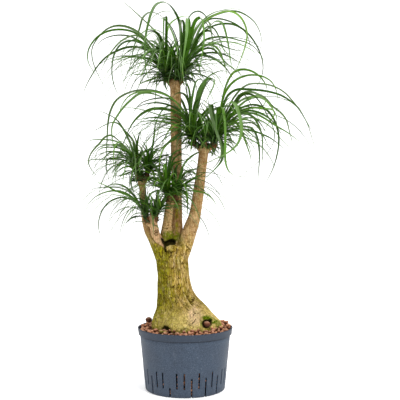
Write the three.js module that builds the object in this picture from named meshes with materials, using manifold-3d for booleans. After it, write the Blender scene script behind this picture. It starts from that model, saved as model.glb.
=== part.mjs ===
// Potted ponytail palm: a swollen caudex with five stems in a culture pot of clay granulate.
// Millimetres, +Z up. The origin is the middle of the pot's flat underside.
import * as THREE from 'three';
import { mergeVertices } from 'three/addons/utils/BufferGeometryUtils.js';
import Module from 'manifold-3d';

const wasm = await Module();
wasm.setup();

// ---- driving dimensions -------------------------------------------------
const RIM_R = 140;            // rim radius of the pot, 280 across
const POT_H = 180;            // rim height
const COLLAR_H = 19.5;        // height of the collar under the rim
const COLLAR_R = 136.2;       // collar radius at its lower edge
const BODY_TOP_R = 132.4;     // wall radius just under the collar
const BASE_R = 116.5;         // wall radius at the foot
const FOOT_ROUND = 4;         // rounding between wall and underside
const WALL = 3;               // wall thickness
const FLOOR = 3.5;            // floor thickness
const SLOT_W = 4.4;           // drainage slot width
const SLOT_STEP = 10;         // degrees between slots
const UPPER_SLOT = [25, 70];  // height range of the upper slots
const LOWER_SLOT_TOP = 55;    // the lower slots run from here down through the foot
const SHORT_SLOT_TOP = 28;    // top of the one short lower slot
const LOWER_SLOT_IN = 101;    // and under the pot as far in as this radius
// slots in order round the pot from the middle of its back: upper, lower, short lower
const SLOT_ROW = 'ULULULULULULULUUSUULULULUUULULULULUL';
const GAP = 0.35;             // clearance between touching pieces
const BED_TOP = 176;          // mean level of the granulate
const LEAF_T = 1.7;           // leaf thickness with its keel
const TUFT_HALF = 9;          // half height of the ring of leaf feet

// caudex: height, left and right edge, front and back edge
const CAUDEX = [
  [124, -36, 50, -46, 42],
  [140, -66, 80, -68, 64],
  [160, -86, 98, -84, 80],
  [177, -92.5, 106.5, -90, 86],
  [192, -97.5, 108.5, -86, 84],
  [203, -93.5, 97.5, -79, 78],
  [222, -86, 79, -69, 68],
  [240, -83, 61.5, -60, 60],
  [258, -81, 43.5, -54, 54],
  [277, -80, 27.6, -48, 50],
  [295, -79.4, 19.2, -45, 48],
  [317, -79.4, 13.6, -43, 46],
  [340, -80.3, 10, -42, 44],
  [370, -83.5, 8.2, -42, 44],
  [388, -85.4, 7.8, -42, 43],
  [402, -84, 9, -38, 40],
  [413, -76, 4, -30, 33],
];

// stems: x, y, z, radius up the axis, from inside the caudex to the top
const STEMS = {
  tall: [[-37.6, 6.0, 369.1, 32.4], [-31.0, 12.0, 404.1, 26.6], [-29.5, 18.0, 433.3, 23.1], [-27.8, 21.0, 459.9, 19.9], [-26.7, 23.0, 498.5, 16.7], [-25.5, 24.0, 537.1, 15.2], [-27.1, 26.0, 700.9, 15.6], [-28.3, 28.0, 826.2, 15.6], [-30.4, 28.0, 885.8, 14.8], [-32.5, 28.0, 906.7, 14.3]],
  right: [[-30.0, 0.0, 363.8, 29.4], [-9.4, 0.0, 399.1, 23.5], [3.2, -1.0, 431.5, 21.5], [14.1, -2.0, 463.8, 20.4], [24.4, -3.0, 493.3, 18.1], [31.5, -4.0, 525.6, 15.9], [40.0, -5.0, 581.3, 15.3], [48.2, -6.0, 645.8, 13.6], [55.8, -7.0, 701.5, 13.6]],
  front: [[-47.6, -2.0, 369.8, 26.4], [-54.0, -3.0, 399.3, 22.8], [-55.7, -5.0, 425.8, 19.1], [-54.9, -9.0, 455.4, 16.4], [-51.2, -13.0, 487.7, 12.6], [-46.0, -18.0, 531.6, 11.5], [-40.9, -21.0, 554.9, 10.2]],
  thin: [[-50.5, -2.0, 358.1, 23.5], [-72.6, -1.0, 393.3, 19.1], [-85.3, 0.0, 416.7, 14.1], [-97.7, 1.0, 440.2, 12.1], [-110.8, 2.0, 466.6, 11.0], [-118.3, 4.0, 507.8, 10.8], [-123.7, 6.0, 563.8, 9.0], [-128.8, 6.0, 608.0, 9.7]],
  short: [[-50.1, -12.0, 364.8, 24.9], [-69.4, -22.0, 400.7, 20.4], [-75.4, -29.0, 425.8, 17.4], [-83.6, -33.0, 444.9, 13.9], [-88.3, -36.0, 468.2, 12.0], [-90.9, -37.0, 487.0, 10.7], [-92.5, -38.0, 495.7, 9.5]],
};

// the two short growths that every stem ends in
const GROWTHS = {
  tall_stem_left: [[-34.0, 28.0, 891.8, 12.7], [-45.9, 28.0, 905.2, 12.2], [-57.8, 28.0, 915.7, 9.6]],
  tall_stem_right: [[-29.5, 28.0, 891.8, 12.7], [-19.7, 29.0, 902.4, 11.9], [-13.2, 30.0, 913.1, 9.6]],
  right_stem_left: [[50.8, -7.0, 695.6, 11.7], [38.8, -6.5, 708.9, 11.7], [24.4, -6.0, 722.1, 9.6]],
  right_stem_right: [[59.6, -7.0, 695.6, 12.0], [72.8, -7.5, 707.3, 12.0], [86.0, -8.0, 716.0, 9.6]],
  thin_stem_left: [[-129.6, 6.0, 602.1, 8.8], [-137.3, 6.0, 616.3, 10.0], [-143.8, 6.0, 628.7, 8.2]],
  thin_stem_right: [[-125.8, 6.0, 599.2, 8.8], [-116.9, 5.0, 613.9, 9.7], [-111.2, 4.0, 625.7, 8.2]],
  front_stem_left: [[-43.3, -20.0, 543.3, 9.6], [-48.2, -22.0, 553.2, 9.9], [-52.5, -23.0, 562.1, 8.2]],
  front_stem_right: [[-40.4, -20.0, 543.3, 9.6], [-30.4, -23.0, 554.0, 10.2], [-23.3, -25.0, 563.5, 8.2]],
  short_stem_left: [[-93.5, -37.0, 476.9, 9.2], [-102.6, -38.0, 483.8, 9.0], [-113.9, -38.0, 499.8, 8.2]],
  short_stem_right: [[-90.5, -37.5, 485.6, 9.5], [-85.9, -38.0, 491.4, 9.2], [-82.1, -38.0, 504.2, 8.2]],
};

// leaf tufts: middle of the ring of leaf feet, bud radius, ring radius
const TUFTS = {
  tall_stem_left: { at: [-57.83, 28.00, 926.04], bud: 7.3, ring: 17.5 },
  tall_stem_right: { at: [-13.18, 30.00, 923.41], bud: 7.3, ring: 17.5 },
  right_stem_left: { at: [24.44, -6.00, 732.37], bud: 7.3, ring: 17.5 },
  right_stem_right: { at: [85.98, -8.00, 726.33], bud: 7.3, ring: 17.5 },
  thin_stem_left: { at: [-143.80, 6.00, 639.01], bud: 5.9, ring: 13.8 },
  thin_stem_right: { at: [-111.21, 4.00, 635.98], bud: 5.9, ring: 13.8 },
  front_stem_left: { at: [-52.50, -23.00, 572.36], bud: 5.9, ring: 13.8 },
  front_stem_right: { at: [-23.34, -25.00, 573.80], bud: 5.9, ring: 13.8 },
  short_stem_left: { at: [-113.89, -38.00, 510.12], bud: 5.9, ring: 13.8 },
  short_stem_right: { at: [-82.13, -38.00, 514.46], bud: 5.9, ring: 13.8 },
};

// leaf fans: name, tuft, first and last bearing of the sector (radians), leaves.
// A leaf is: full width, twist (radians), bearing of its foot, midline points from foot to tip.
const FANS = [
  ['leaves_tall_stem_left_1', 'tall_stem_left', -0.2581, 1.6562, [
    [8.4, 0.459, 1.289, [[-54.2,40.5,928.0],[-57.9,39.8,970.8],[-59.3,52.0,1012.1],[-57.8,71.2,1050.8],[-51.7,92.3,1087.7],[-30.0,118.0,1114.5],[-0.4,144.8,1130.0],[30.8,166.0,1116.9]]],
    [9.1, -0.269, 1.454, [[-56.3,40.9,928.0],[-56.6,46.5,959.6],[-55.3,67.3,985.0],[-52.2,92.4,1006.0],[-47.8,117.7,1026.6],[-41.4,142.3,1047.5],[-29.7,166.2,1066.8],[-7.8,188.0,1067.9]]],
    [10.0, -0.875, 0.925, [[-50.0,38.4,928.0],[-48.0,40.8,967.7],[-34.4,57.3,1001.3],[-12.6,83.0,1022.8],[13.2,112.1,1031.9],[40.2,141.3,1027.7],[65.4,167.3,1010.7],[85.9,187.4,982.9]]],
    [8.9, 0.809, 0.859, [[-49.3,37.8,928.0],[-46.0,41.9,968.6],[-31.8,59.9,1002.6],[-10.9,87.1,1025.3],[12.5,118.8,1037.1],[36.1,152.6,1037.4],[58.2,185.5,1026.5],[77.2,215.3,1005.3]]],
  ]],
  ['leaves_tall_stem_left_2', 'tall_stem_left', 1.6562, 2.8031, [
    [9.8, -1.066, 2.620, [[-69.1,34.5,928.0],[-87.2,38.4,994.1],[-129.6,53.4,1046.6],[-185.5,74.3,1080.8],[-248.6,96.7,1073.5],[-290.9,112.5,1021.8],[-279.5,117.0,954.9],[-246.9,118.0,893.7]]],
    [8.4, 0.846, 2.625, [[-69.1,34.4,928.0],[-86.2,40.1,970.7],[-111.2,55.0,1006.7],[-142.0,74.8,1035.3],[-177.1,95.8,1056.7],[-217.7,117.3,1063.1],[-258.8,136.6,1055.7],[-287.1,148.0,1022.7]]],
    [8.4, 0.738, 2.537, [[-68.5,35.4,928.0],[-96.1,49.1,978.8],[-128.9,74.5,1021.2],[-172.3,107.3,1044.0],[-216.4,141.2,1028.0],[-235.6,164.2,977.6],[-230.5,174.7,919.6],[-202.2,178.0,867.9]]],
    [10.5, 0.551, 2.093, [[-64.3,39.3,928.0],[-68.2,38.6,953.8],[-73.1,46.6,978.1],[-79.3,61.4,998.7],[-86.6,77.5,1018.0],[-94.7,92.6,1037.8],[-103.8,105.8,1058.5],[-121.1,118.0,1069.2]]],
    [9.4, -0.679, 2.162, [[-65.1,38.8,928.0],[-67.3,42.3,975.2],[-80.6,63.7,1015.1],[-101.4,98.3,1040.0],[-124.8,138.7,1048.0],[-147.2,179.2,1037.8],[-165.3,213.7,1010.8],[-176.9,236.6,970.9]]],
  ]],
  ['leaves_tall_stem_left_3', 'tall_stem_left', 2.8031, 4.0685, [
    [9.1, 0.933, 3.423, [[-70.3,24.4,928.0],[-92.9,19.5,985.7],[-131.5,7.7,1033.5],[-187.7,-9.6,1050.7],[-244.2,-27.1,1032.6],[-279.1,-38.5,983.1],[-265.1,-41.4,924.3],[-236.1,-42.0,869.1]]],
    [8.4, -0.963, 3.717, [[-68.7,20.9,928.0],[-86.6,15.0,969.2],[-109.8,-0.9,1004.8],[-139.4,-24.0,1029.7],[-173.5,-47.7,1014.6],[-200.5,-67.7,984.4],[-221.8,-82.8,947.3],[-239.1,-92.0,906.4]]],
    [9.8, 0.902, 3.299, [[-70.7,26.0,928.0],[-91.6,23.7,973.6],[-130.3,17.5,1002.3],[-179.0,9.2,1001.1],[-223.4,1.3,979.0],[-257.9,-4.9,943.4],[-283.0,-9.3,900.2],[-300.1,-12.0,853.2]]],
    [9.8, 0.768, 3.886, [[-67.4,19.2,928.0],[-87.9,7.0,968.2],[-111.8,-20.0,998.4],[-140.9,-54.4,1010.2],[-165.1,-84.6,985.6],[-175.7,-106.3,945.5],[-172.7,-118.0,900.1],[-164.8,-122.0,854.0]]],
  ]],
  ['leaves_tall_stem_left_4', 'tall_stem_left', 4.0685, 6.0251, [
    [9.8, 0.175, 4.769, [[-57.1,15.0,928.0],[-56.1,-3.4,973.2],[-53.6,-42.2,1005.1],[-51.3,-85.4,1031.1],[-49.3,-128.8,1056.8],[-55.1,-163.2,1031.4],[-54.8,-189.6,988.5],[-57.5,-202.0,940.1]]],
    [9.1, 0.562, 4.283, [[-63.2,16.2,928.0],[-62.8,17.5,965.9],[-64.9,6.4,1001.9],[-73.0,-17.2,1030.0],[-94.3,-46.6,1038.0],[-110.9,-70.4,1017.3],[-110.3,-81.7,981.3],[-113.0,-87.0,943.9]]],
    [8.4, -0.156, 4.696, [[-58.0,15.0,928.0],[-60.0,16.9,915.4],[-59.7,8.4,904.8],[-59.1,-2.4,896.4],[-58.2,-13.2,888.0],[-56.0,-23.9,879.8],[-52.4,-34.0,871.2],[-46.7,-42.0,861.9]]],
    [10.5, -0.639, 5.259, [[-51.1,16.9,928.0],[-49.8,14.0,947.6],[-38.6,-1.9,947.3],[-29.9,-17.5,936.5],[-22.9,-32.4,923.8],[-17.5,-46.0,909.0],[-14.0,-56.9,891.6],[-12.2,-62.0,871.7]]],
  ]],
  ['leaves_tall_stem_right_1', 'tall_stem_right', -2.9369, -1.0278, [
    [9.1, -0.635, -2.356, [[-22.4,20.8,925.4],[-20.4,18.8,990.4],[-35.9,-0.8,1049.9],[-74.4,-36.4,1087.1],[-119.0,-71.8,1069.4],[-133.6,-93.3,1009.6],[-147.2,-109.3,947.9],[-163.7,-120.0,886.2]]],
    [13.1, -0.450, -2.071, [[-19.4,18.6,925.4],[-13.2,15.6,1001.5],[-18.0,-9.5,1073.2],[-53.5,-59.5,1115.6],[-91.9,-105.6,1075.6],[-105.1,-136.5,1006.9],[-106.0,-154.4,932.6],[-88.3,-160.0,859.0]]],
    [10.5, -0.244, -1.464, [[-11.8,17.1,925.4],[-6.2,5.1,969.9],[-3.3,-25.7,1005.7],[-2.3,-61.6,1036.7],[-9.0,-96.4,1058.2],[-11.3,-121.8,1018.3],[-10.2,-141.6,975.3],[-7.0,-150.0,928.9]]],
    [13.1, -0.281, -1.371, [[-10.6,17.3,925.4],[1.0,-3.3,975.0],[8.9,-44.6,1012.4],[12.6,-90.2,1045.3],[7.3,-130.3,1037.7],[6.2,-162.5,991.6],[0.4,-188.6,942.0],[-3.1,-200.0,887.3]]],
    [13.1, -0.515, -1.257, [[-9.2,17.6,925.4],[3.8,-4.6,981.4],[16.1,-50.4,1022.5],[30.1,-104.0,1052.3],[50.9,-152.6,1033.2],[53.9,-189.7,982.5],[47.0,-217.8,926.7],[35.6,-230.0,866.3]]],
  ]],
  ['leaves_tall_stem_right_2', 'tall_stem_right', -1.0278, -0.1788, [
    [9.8, -0.566, -0.362, [[-1.0,25.4,925.4],[11.5,23.4,973.7],[43.4,13.7,1010.5],[85.3,-0.8,1029.8],[132.1,-16.6,1024.2],[177.2,-31.4,1008.5],[213.1,-42.9,976.6],[240.2,-50.0,935.3]]],
    [9.8, 0.953, -0.481, [[-1.6,24.0,925.4],[16.2,18.2,993.1],[43.1,2.2,1055.8],[94.0,-25.9,1092.6],[152.8,-56.2,1081.6],[177.1,-73.3,1019.8],[159.3,-78.4,952.3],[122.7,-80.0,892.9]]],
    [9.8, 0.810, -0.737, [[-3.6,21.3,925.4],[16.8,10.9,974.8],[41.5,-13.3,1017.0],[70.3,-45.5,1050.5],[105.8,-78.6,1053.5],[119.2,-100.1,1005.1],[126.8,-113.8,952.7],[131.7,-120.0,898.6]]],
    [9.1, 0.769, -0.593, [[-2.4,22.7,925.4],[7.2,20.9,965.4],[18.8,12.9,1004.2],[33.7,-0.3,1040.3],[55.3,-17.1,1070.7],[74.6,-30.6,1049.4],[81.3,-37.1,1009.2],[75.2,-39.0,969.1]]],
    [10.5, -0.776, -0.835, [[-4.5,20.4,925.4],[10.8,10.3,970.8],[29.2,-15.9,1008.3],[52.3,-50.6,1034.3],[81.3,-83.9,1019.4],[97.1,-110.0,980.7],[108.9,-129.8,937.0],[117.6,-140.0,889.6]]],
  ]],
  ['leaves_tall_stem_right_3', 'tall_stem_right', -0.1788, 0.6890, [
    [9.1, -0.821, 0.516, [[-1.9,36.4,925.4],[-0.9,35.7,969.6],[1.5,39.3,1013.7],[3.1,45.0,1057.6],[9.7,53.2,1100.3],[39.7,68.8,1125.4],[68.9,83.5,1099.4],[83.4,90.0,1058.1]]],
    [10.5, -0.841, 0.014, [[-0.2,30.2,925.4],[14.1,28.1,984.4],[34.3,24.9,1041.4],[68.0,20.1,1090.5],[124.7,12.9,1109.7],[181.6,5.7,1095.6],[218.6,1.0,1049.2],[217.9,0.0,990.2]]],
    [9.8, 0.729, 0.506, [[-1.8,36.3,925.4],[5.1,38.8,977.4],[16.6,48.8,1027.8],[35.5,64.0,1074.3],[66.0,82.7,1112.7],[107.7,103.6,1136.1],[154.6,124.2,1147.2],[200.4,140.0,1130.8]]],
    [8.4, -0.927, 0.225, [[-0.5,32.9,925.4],[21.6,36.5,992.9],[53.9,44.9,1055.5],[115.4,59.4,1085.1],[180.7,74.8,1067.4],[223.0,85.3,1012.0],[235.7,89.5,943.4],[204.5,90.0,880.2]]],
    [8.4, -0.719, 0.526, [[-1.9,36.5,925.4],[14.7,42.9,983.9],[33.0,58.4,1040.2],[58.3,81.0,1090.9],[104.4,110.8,1112.8],[156.2,141.5,1104.0],[196.6,164.4,1066.5],[200.2,170.0,1006.6]]],
  ]],
  ['leaves_tall_stem_right_4', 'tall_stem_right', 0.6890, 1.5979, [
    [10.5, -0.335, 0.986, [[-6.0,40.8,925.4],[0.7,42.9,964.4],[8.1,55.1,1001.5],[16.4,72.2,1036.5],[26.0,89.8,1071.0],[41.5,108.8,1102.0],[68.8,130.2,1096.3],[81.2,140.0,1060.2]]],
    [10.5, 0.436, 1.285, [[-9.5,42.5,925.4],[-1.7,53.5,963.7],[4.0,80.7,994.6],[10.6,111.9,1021.4],[19.9,143.4,1047.1],[32.5,174.0,1072.3],[52.0,203.8,1093.6],[82.7,230.0,1097.0]]],
    [9.8, -0.276, 1.415, [[-11.2,42.8,925.4],[-6.2,50.9,962.0],[-3.9,75.0,992.2],[-2.4,103.1,1018.8],[-0.5,130.9,1045.8],[2.0,157.1,1074.3],[6.7,179.9,1105.2],[24.2,200.0,1125.4]]],
    [8.9, -0.353, 1.428, [[-11.3,42.9,925.4],[-10.1,56.5,967.6],[-6.9,88.7,998.2],[-2.9,130.1,1014.8],[1.2,174.5,1019.0],[5.0,218.4,1011.0],[8.2,258.8,991.9],[10.8,293.1,963.3]]],
  ]],
  ['leaves_tall_stem_right_5', 'tall_stem_right', 1.5979, 3.3463, [
    [7.7, -0.895, 2.762, [[-25.2,34.8,925.4],[-37.5,38.1,969.8],[-56.2,46.1,1011.3],[-80.8,57.0,1048.8],[-110.2,68.9,1082.4],[-141.8,80.6,1114.1],[-174.0,91.4,1145.4],[-207.6,100.0,1176.0]]],
    [8.4, 0.455, 1.971, [[-18.2,42.0,925.4],[-10.8,42.6,975.6],[-8.3,55.3,1024.8],[-14.4,75.1,1071.3],[-26.1,99.1,1114.7],[-55.8,128.9,1141.4],[-94.8,160.5,1139.5],[-122.5,180.0,1104.4]]],
    [7.7, -0.445, 2.021, [[-18.8,41.7,925.4],[-20.9,43.5,966.8],[-25.5,57.2,1005.9],[-33.2,77.8,1041.4],[-44.8,99.7,1074.9],[-60.6,121.9,1106.5],[-88.4,146.0,1122.8],[-103.7,160.0,1093.3]]],
    [10.5, -0.264, 1.791, [[-16.0,42.7,925.4],[-16.8,58.7,959.2],[-19.8,89.0,983.7],[-23.7,121.6,1004.9],[-27.6,153.9,1026.7],[-31.7,185.1,1050.0],[-37.6,213.7,1075.9],[-54.7,238.0,1089.0]]],
  ]],
  ['leaves_right_stem_left_1', 'right_stem_left', -0.1580, 1.6893, [
    [10.5, -0.908, 0.587, [[35.3,1.2,734.4],[28.9,-1.8,774.4],[26.4,-0.4,814.9],[32.1,6.0,854.5],[45.6,15.5,891.5],[70.8,28.0,920.6],[103.8,42.1,939.0],[138.5,54.0,928.2]]],
    [8.4, 0.540, 1.049, [[30.9,5.3,734.4],[31.1,5.0,776.9],[34.5,16.2,817.8],[43.5,34.1,855.6],[56.0,53.5,891.4],[77.4,75.4,920.5],[104.8,97.1,901.7],[111.4,104.0,860.7]]],
    [9.1, -0.275, 1.423, [[26.4,6.9,734.4],[23.3,9.8,771.2],[22.7,28.9,803.6],[25.6,53.3,832.4],[32.4,78.4,859.7],[47.1,104.5,882.4],[71.2,131.6,891.8],[100.3,154.0,885.0]]],
    [9.1, -0.237, 1.474, [[25.7,6.9,734.4],[27.1,19.8,764.8],[29.2,47.0,786.4],[32.0,76.2,805.1],[35.3,105.2,824.2],[40.4,133.1,844.3],[51.8,160.4,862.4],[72.3,184.0,855.9]]],
  ]],
  ['leaves_right_stem_left_2', 'right_stem_left', 1.6893, 3.5772, [
    [10.5, -0.923, 3.362, [[11.8,-8.8,734.4],[-5.2,-12.3,808.2],[-57.9,-24.1,859.7],[-130.6,-40.9,868.2],[-196.7,-56.2,836.8],[-219.4,-63.2,765.8],[-222.9,-65.3,689.9],[-216.3,-66.0,614.7]]],
    [9.8, -1.027, 3.394, [[11.8,-9.2,734.4],[4.2,-13.0,781.6],[-16.5,-23.7,823.2],[-50.7,-39.7,852.1],[-93.5,-58.3,862.3],[-137.5,-76.5,856.4],[-171.4,-90.3,827.2],[-185.8,-96.0,782.1]]],
    [9.1, 0.321, 1.862, [[20.7,6.5,734.4],[16.6,5.1,764.2],[14.0,15.4,792.7],[12.3,30.2,819.3],[9.7,45.1,845.7],[4.3,59.6,872.0],[-2.7,72.3,898.8],[-17.7,84.0,922.1]]],
    [9.8, -0.556, 2.085, [[18.0,5.3,734.4],[12.5,8.9,771.7],[5.4,25.8,805.2],[-4.0,48.0,835.0],[-17.5,71.5,862.0],[-40.7,96.9,875.7],[-61.3,119.6,854.5],[-81.7,134.0,825.8]]],
  ]],
  ['leaves_right_stem_left_3', 'right_stem_left', 3.5772, 4.4192, [
    [10.5, -0.976, 3.770, [[13.9,-13.6,734.4],[-4.2,-20.9,795.6],[-45.5,-44.1,838.0],[-99.3,-75.5,854.6],[-149.0,-105.5,831.6],[-185.0,-129.2,783.7],[-197.4,-141.9,723.9],[-186.6,-144.0,660.2]]],
    [13.1, 0.828, 3.807, [[14.2,-14.0,734.4],[-3.2,-23.1,788.0],[-47.4,-50.9,810.0],[-94.4,-83.9,807.6],[-133.3,-114.0,777.9],[-157.8,-137.0,731.1],[-176.7,-154.3,679.1],[-197.6,-166.0,626.5]]],
    [10.5, 0.467, 3.888, [[14.9,-14.8,734.4],[16.9,-12.4,772.9],[15.1,-17.5,811.0],[6.5,-29.5,846.6],[-20.7,-48.8,859.1],[-43.3,-65.6,833.2],[-57.5,-76.7,799.1],[-63.1,-81.0,761.2]]],
    [9.8, 0.312, 4.236, [[18.5,-17.6,734.4],[17.4,-13.4,765.5],[16.3,-16.4,796.7],[15.3,-24.4,827.1],[13.9,-33.0,857.3],[6.0,-45.0,884.7],[-11.7,-59.1,871.7],[-20.6,-66.0,842.6]]],
  ]],
  ['leaves_right_stem_left_4', 'right_stem_left', 4.4192, 6.1252, [
    [10.5, -0.317, 4.886, [[26.7,-18.8,734.4],[19.6,-16.0,763.8],[15.6,-20.2,793.8],[17.0,-27.9,823.3],[21.5,-35.6,852.5],[27.7,-42.0,881.8],[45.2,-55.0,898.7],[60.6,-66.0,876.8]]],
    [13.1, -0.299, 4.974, [[27.8,-18.6,734.4],[24.8,-22.7,780.5],[29.6,-44.6,821.1],[40.7,-77.7,852.3],[55.5,-113.5,878.6],[80.6,-149.4,882.3],[71.5,-169.5,843.0],[51.6,-176.0,801.3]]],
    [9.1, 0.367, 4.963, [[27.7,-18.6,734.4],[25.6,-16.6,762.9],[24.6,-26.4,790.0],[26.2,-41.7,814.6],[34.2,-60.4,834.6],[52.4,-81.8,834.6],[67.9,-99.9,818.5],[77.0,-109.5,793.1]]],
    [9.8, -0.730, 5.397, [[32.7,-16.1,734.4],[32.9,-14.3,754.1],[36.4,-20.6,772.7],[43.6,-31.2,788.1],[53.0,-42.7,801.5],[65.6,-54.5,811.6],[80.6,-65.9,818.0],[97.4,-75.0,812.9]]],
  ]],
  ['leaves_right_stem_right_1', 'right_stem_right', -2.8280, -1.1393, [
    [13.1, -0.266, -1.396, [[88.2,-20.8,728.3],[94.5,-31.9,789.8],[107.8,-67.6,811.6],[112.6,-103.9,759.7],[112.3,-137.0,705.5],[113.0,-167.6,649.9],[141.8,-208.1,614.9],[188.6,-249.5,619.4]]],
    [13.1, -0.205, -1.620, [[85.3,-21.0,728.3],[80.4,-30.2,780.7],[75.8,-61.5,824.4],[74.8,-95.7,794.0],[84.8,-127.5,751.1],[97.1,-162.2,711.4],[98.5,-189.0,665.5],[63.5,-198.0,626.6]]],
    [9.8, 0.437, -1.404, [[88.1,-20.8,728.3],[105.7,-48.0,722.5],[108.5,-78.5,701.0],[107.9,-109.9,680.7],[103.3,-141.4,661.0],[91.5,-172.2,643.3],[74.1,-200.0,625.3],[51.4,-218.0,602.1]]],
    [10.5, -0.519, -2.058, [[79.9,-19.5,728.3],[73.6,-23.5,748.6],[66.5,-39.7,762.3],[58.2,-58.7,771.2],[49.0,-77.8,778.7],[38.4,-96.5,785.4],[25.5,-114.1,790.8],[9.0,-128.0,786.8]]],
  ]],
  ['leaves_right_stem_right_2', 'right_stem_right', -1.1393, -0.3681, [
    [13.1, 0.523, -0.910, [[94.0,-18.3,728.3],[105.8,-34.5,784.4],[124.0,-72.2,827.0],[148.0,-113.6,802.5],[156.8,-147.5,753.6],[143.9,-173.1,701.6],[98.3,-191.2,667.7],[43.5,-198.0,643.9]]],
    [9.8, 0.757, -0.741, [[95.6,-16.8,728.3],[106.8,-23.7,760.4],[125.8,-43.2,781.7],[148.2,-65.5,770.6],[161.1,-84.3,744.0],[171.4,-100.2,714.5],[181.0,-112.9,683.2],[184.0,-118.0,649.2]]],
    [13.9, -0.820, -0.658, [[96.3,-15.9,728.3],[124.1,-32.6,796.9],[163.1,-68.2,851.2],[211.3,-109.8,821.5],[239.5,-143.6,759.3],[233.4,-164.2,689.8],[179.2,-174.4,637.6],[125.6,-178.0,584.3]]],
    [10.5, 0.960, -0.561, [[97.0,-14.9,728.3],[116.8,-21.5,783.3],[141.7,-37.5,834.0],[183.2,-63.0,860.4],[229.0,-89.7,836.1],[266.0,-112.6,797.0],[289.1,-128.0,746.8],[300.9,-134.5,689.6]]],
    [9.8, 0.650, -0.687, [[96.0,-16.2,728.3],[112.9,-24.5,771.6],[133.3,-43.7,809.9],[161.3,-69.8,837.0],[197.7,-99.2,842.1],[230.1,-125.2,822.0],[252.3,-143.4,784.5],[249.9,-148.0,737.9]]],
  ]],
  ['leaves_right_stem_right_3', 'right_stem_right', -0.3681, 0.4007, [
    [13.1, -0.770, 0.171, [[98.8,-5.8,728.3],[100.4,-4.5,781.3],[106.7,0.1,833.7],[119.6,7.3,884.5],[143.6,17.9,930.1],[191.5,33.5,939.4],[233.4,46.9,911.6],[246.3,52.0,862.4]]],
    [10.5, -0.928, -0.175, [[98.8,-10.3,728.3],[101.1,-10.3,782.1],[108.0,-12.5,835.3],[129.0,-18.0,884.0],[173.0,-27.7,911.6],[224.8,-38.6,908.4],[261.3,-46.2,872.1],[264.8,-48.0,819.3]]],
    [10.5, -0.997, -0.172, [[98.8,-10.2,728.3],[105.9,-10.6,793.2],[124.1,-14.3,855.4],[182.1,-24.3,873.1],[245.7,-35.7,864.3],[303.3,-45.9,836.7],[343.2,-53.1,786.6],[376.7,-58.0,730.8]]],
    [10.5, 0.894, 0.127, [[98.9,-6.4,728.3],[118.3,-4.7,802.0],[155.3,0.3,868.1],[222.0,9.2,895.0],[292.7,18.4,871.7],[342.7,25.3,814.8],[374.5,29.6,746.2],[395.2,32.0,672.9]]],
    [9.1, -0.931, 0.228, [[98.7,-5.1,728.3],[128.4,1.9,786.7],[175.6,15.8,829.1],[236.6,33.3,825.7],[273.7,45.5,774.3],[279.4,49.9,709.3],[262.8,51.5,645.7],[233.4,52.0,586.7]]],
  ]],
  ['leaves_right_stem_right_4', 'right_stem_right', 0.4007, 1.5279, [
    [9.1, 0.777, 0.574, [[96.9,-0.9,728.3],[114.3,5.3,776.5],[137.6,21.1,819.8],[171.1,43.1,852.2],[214.7,67.9,863.1],[256.9,91.1,846.2],[289.1,107.7,810.6],[294.4,112.0,759.6]]],
    [9.1, -1.033, 0.574, [[96.9,-0.9,728.3],[125.4,12.5,760.6],[162.1,36.2,772.2],[199.3,61.9,769.3],[220.5,82.0,735.5],[226.2,93.8,692.0],[224.6,99.9,646.9],[223.6,102.0,601.3]]],
    [9.1, -0.761, 0.574, [[96.9,-0.9,728.3],[119.7,8.2,768.2],[149.3,27.1,798.8],[187.1,51.2,810.2],[218.8,73.3,785.7],[234.2,87.6,743.9],[235.8,93.7,697.4],[234.8,95.5,650.4]]],
    [9.8, -0.551, 0.980, [[93.2,2.8,728.3],[100.5,5.3,760.0],[108.5,19.3,788.6],[118.6,38.6,813.2],[130.3,58.2,837.0],[144.9,77.3,859.4],[165.1,95.9,877.4],[192.2,112.0,875.8]]],
    [9.8, 0.404, 1.317, [[89.2,4.6,728.3],[95.4,13.5,760.5],[100.4,37.4,785.7],[105.5,64.2,807.8],[111.6,90.8,829.9],[120.4,116.5,852.2],[134.9,141.1,872.4],[157.6,162.0,865.6]]],
  ]],
  ['leaves_right_stem_right_5', 'right_stem_right', 1.5279, 3.4552, [
    [9.8, -0.254, 1.766, [[83.5,4.8,728.3],[84.3,5.7,754.8],[83.2,20.2,777.4],[79.7,39.1,796.5],[73.8,58.3,814.7],[65.3,77.1,832.3],[52.6,95.1,848.0],[32.7,111.0,850.8]]],
    [8.9, -0.374, 1.698, [[84.3,4.9,728.3],[84.1,10.5,770.8],[81.7,32.9,807.2],[77.2,67.7,832.0],[71.3,108.4,844.0],[64.3,150.7,841.9],[57.2,189.7,825.4],[50.9,220.7,796.4]]],
    [9.8, -0.173, 1.711, [[84.2,4.9,728.3],[84.3,11.0,768.4],[82.8,33.0,802.3],[79.9,66.2,825.6],[76.2,104.7,837.9],[71.9,145.1,837.9],[67.6,183.6,825.7],[63.6,216.6,802.2]]],
    [10.0, -0.472, 2.569, [[75.1,-0.9,728.3],[69.7,2.7,771.6],[46.5,18.4,805.2],[13.4,41.3,822.9],[-22.4,66.9,824.5],[-56.0,91.5,810.2],[-83.1,111.9,782.1],[-100.5,125.3,744.0]]],
  ]],
  ['leaves_thin_stem_left_1', 'thin_stem_left', -0.3273, 1.9648, [
    [8.4, 0.228, 1.657, [[-144.7,16.3,641.0],[-142.9,13.9,661.3],[-142.1,19.5,681.1],[-143.1,29.9,698.9],[-145.8,40.4,716.5],[-150.4,51.0,733.6],[-158.2,61.7,749.5],[-167.7,70.0,765.7]]],
    [8.4, 0.453, 1.758, [[-145.7,16.1,641.0],[-151.1,31.2,671.4],[-156.8,59.7,692.4],[-163.5,90.0,710.4],[-172.8,120.2,727.5],[-185.3,149.6,743.8],[-204.2,178.1,753.7],[-227.2,201.0,742.1]]],
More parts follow.
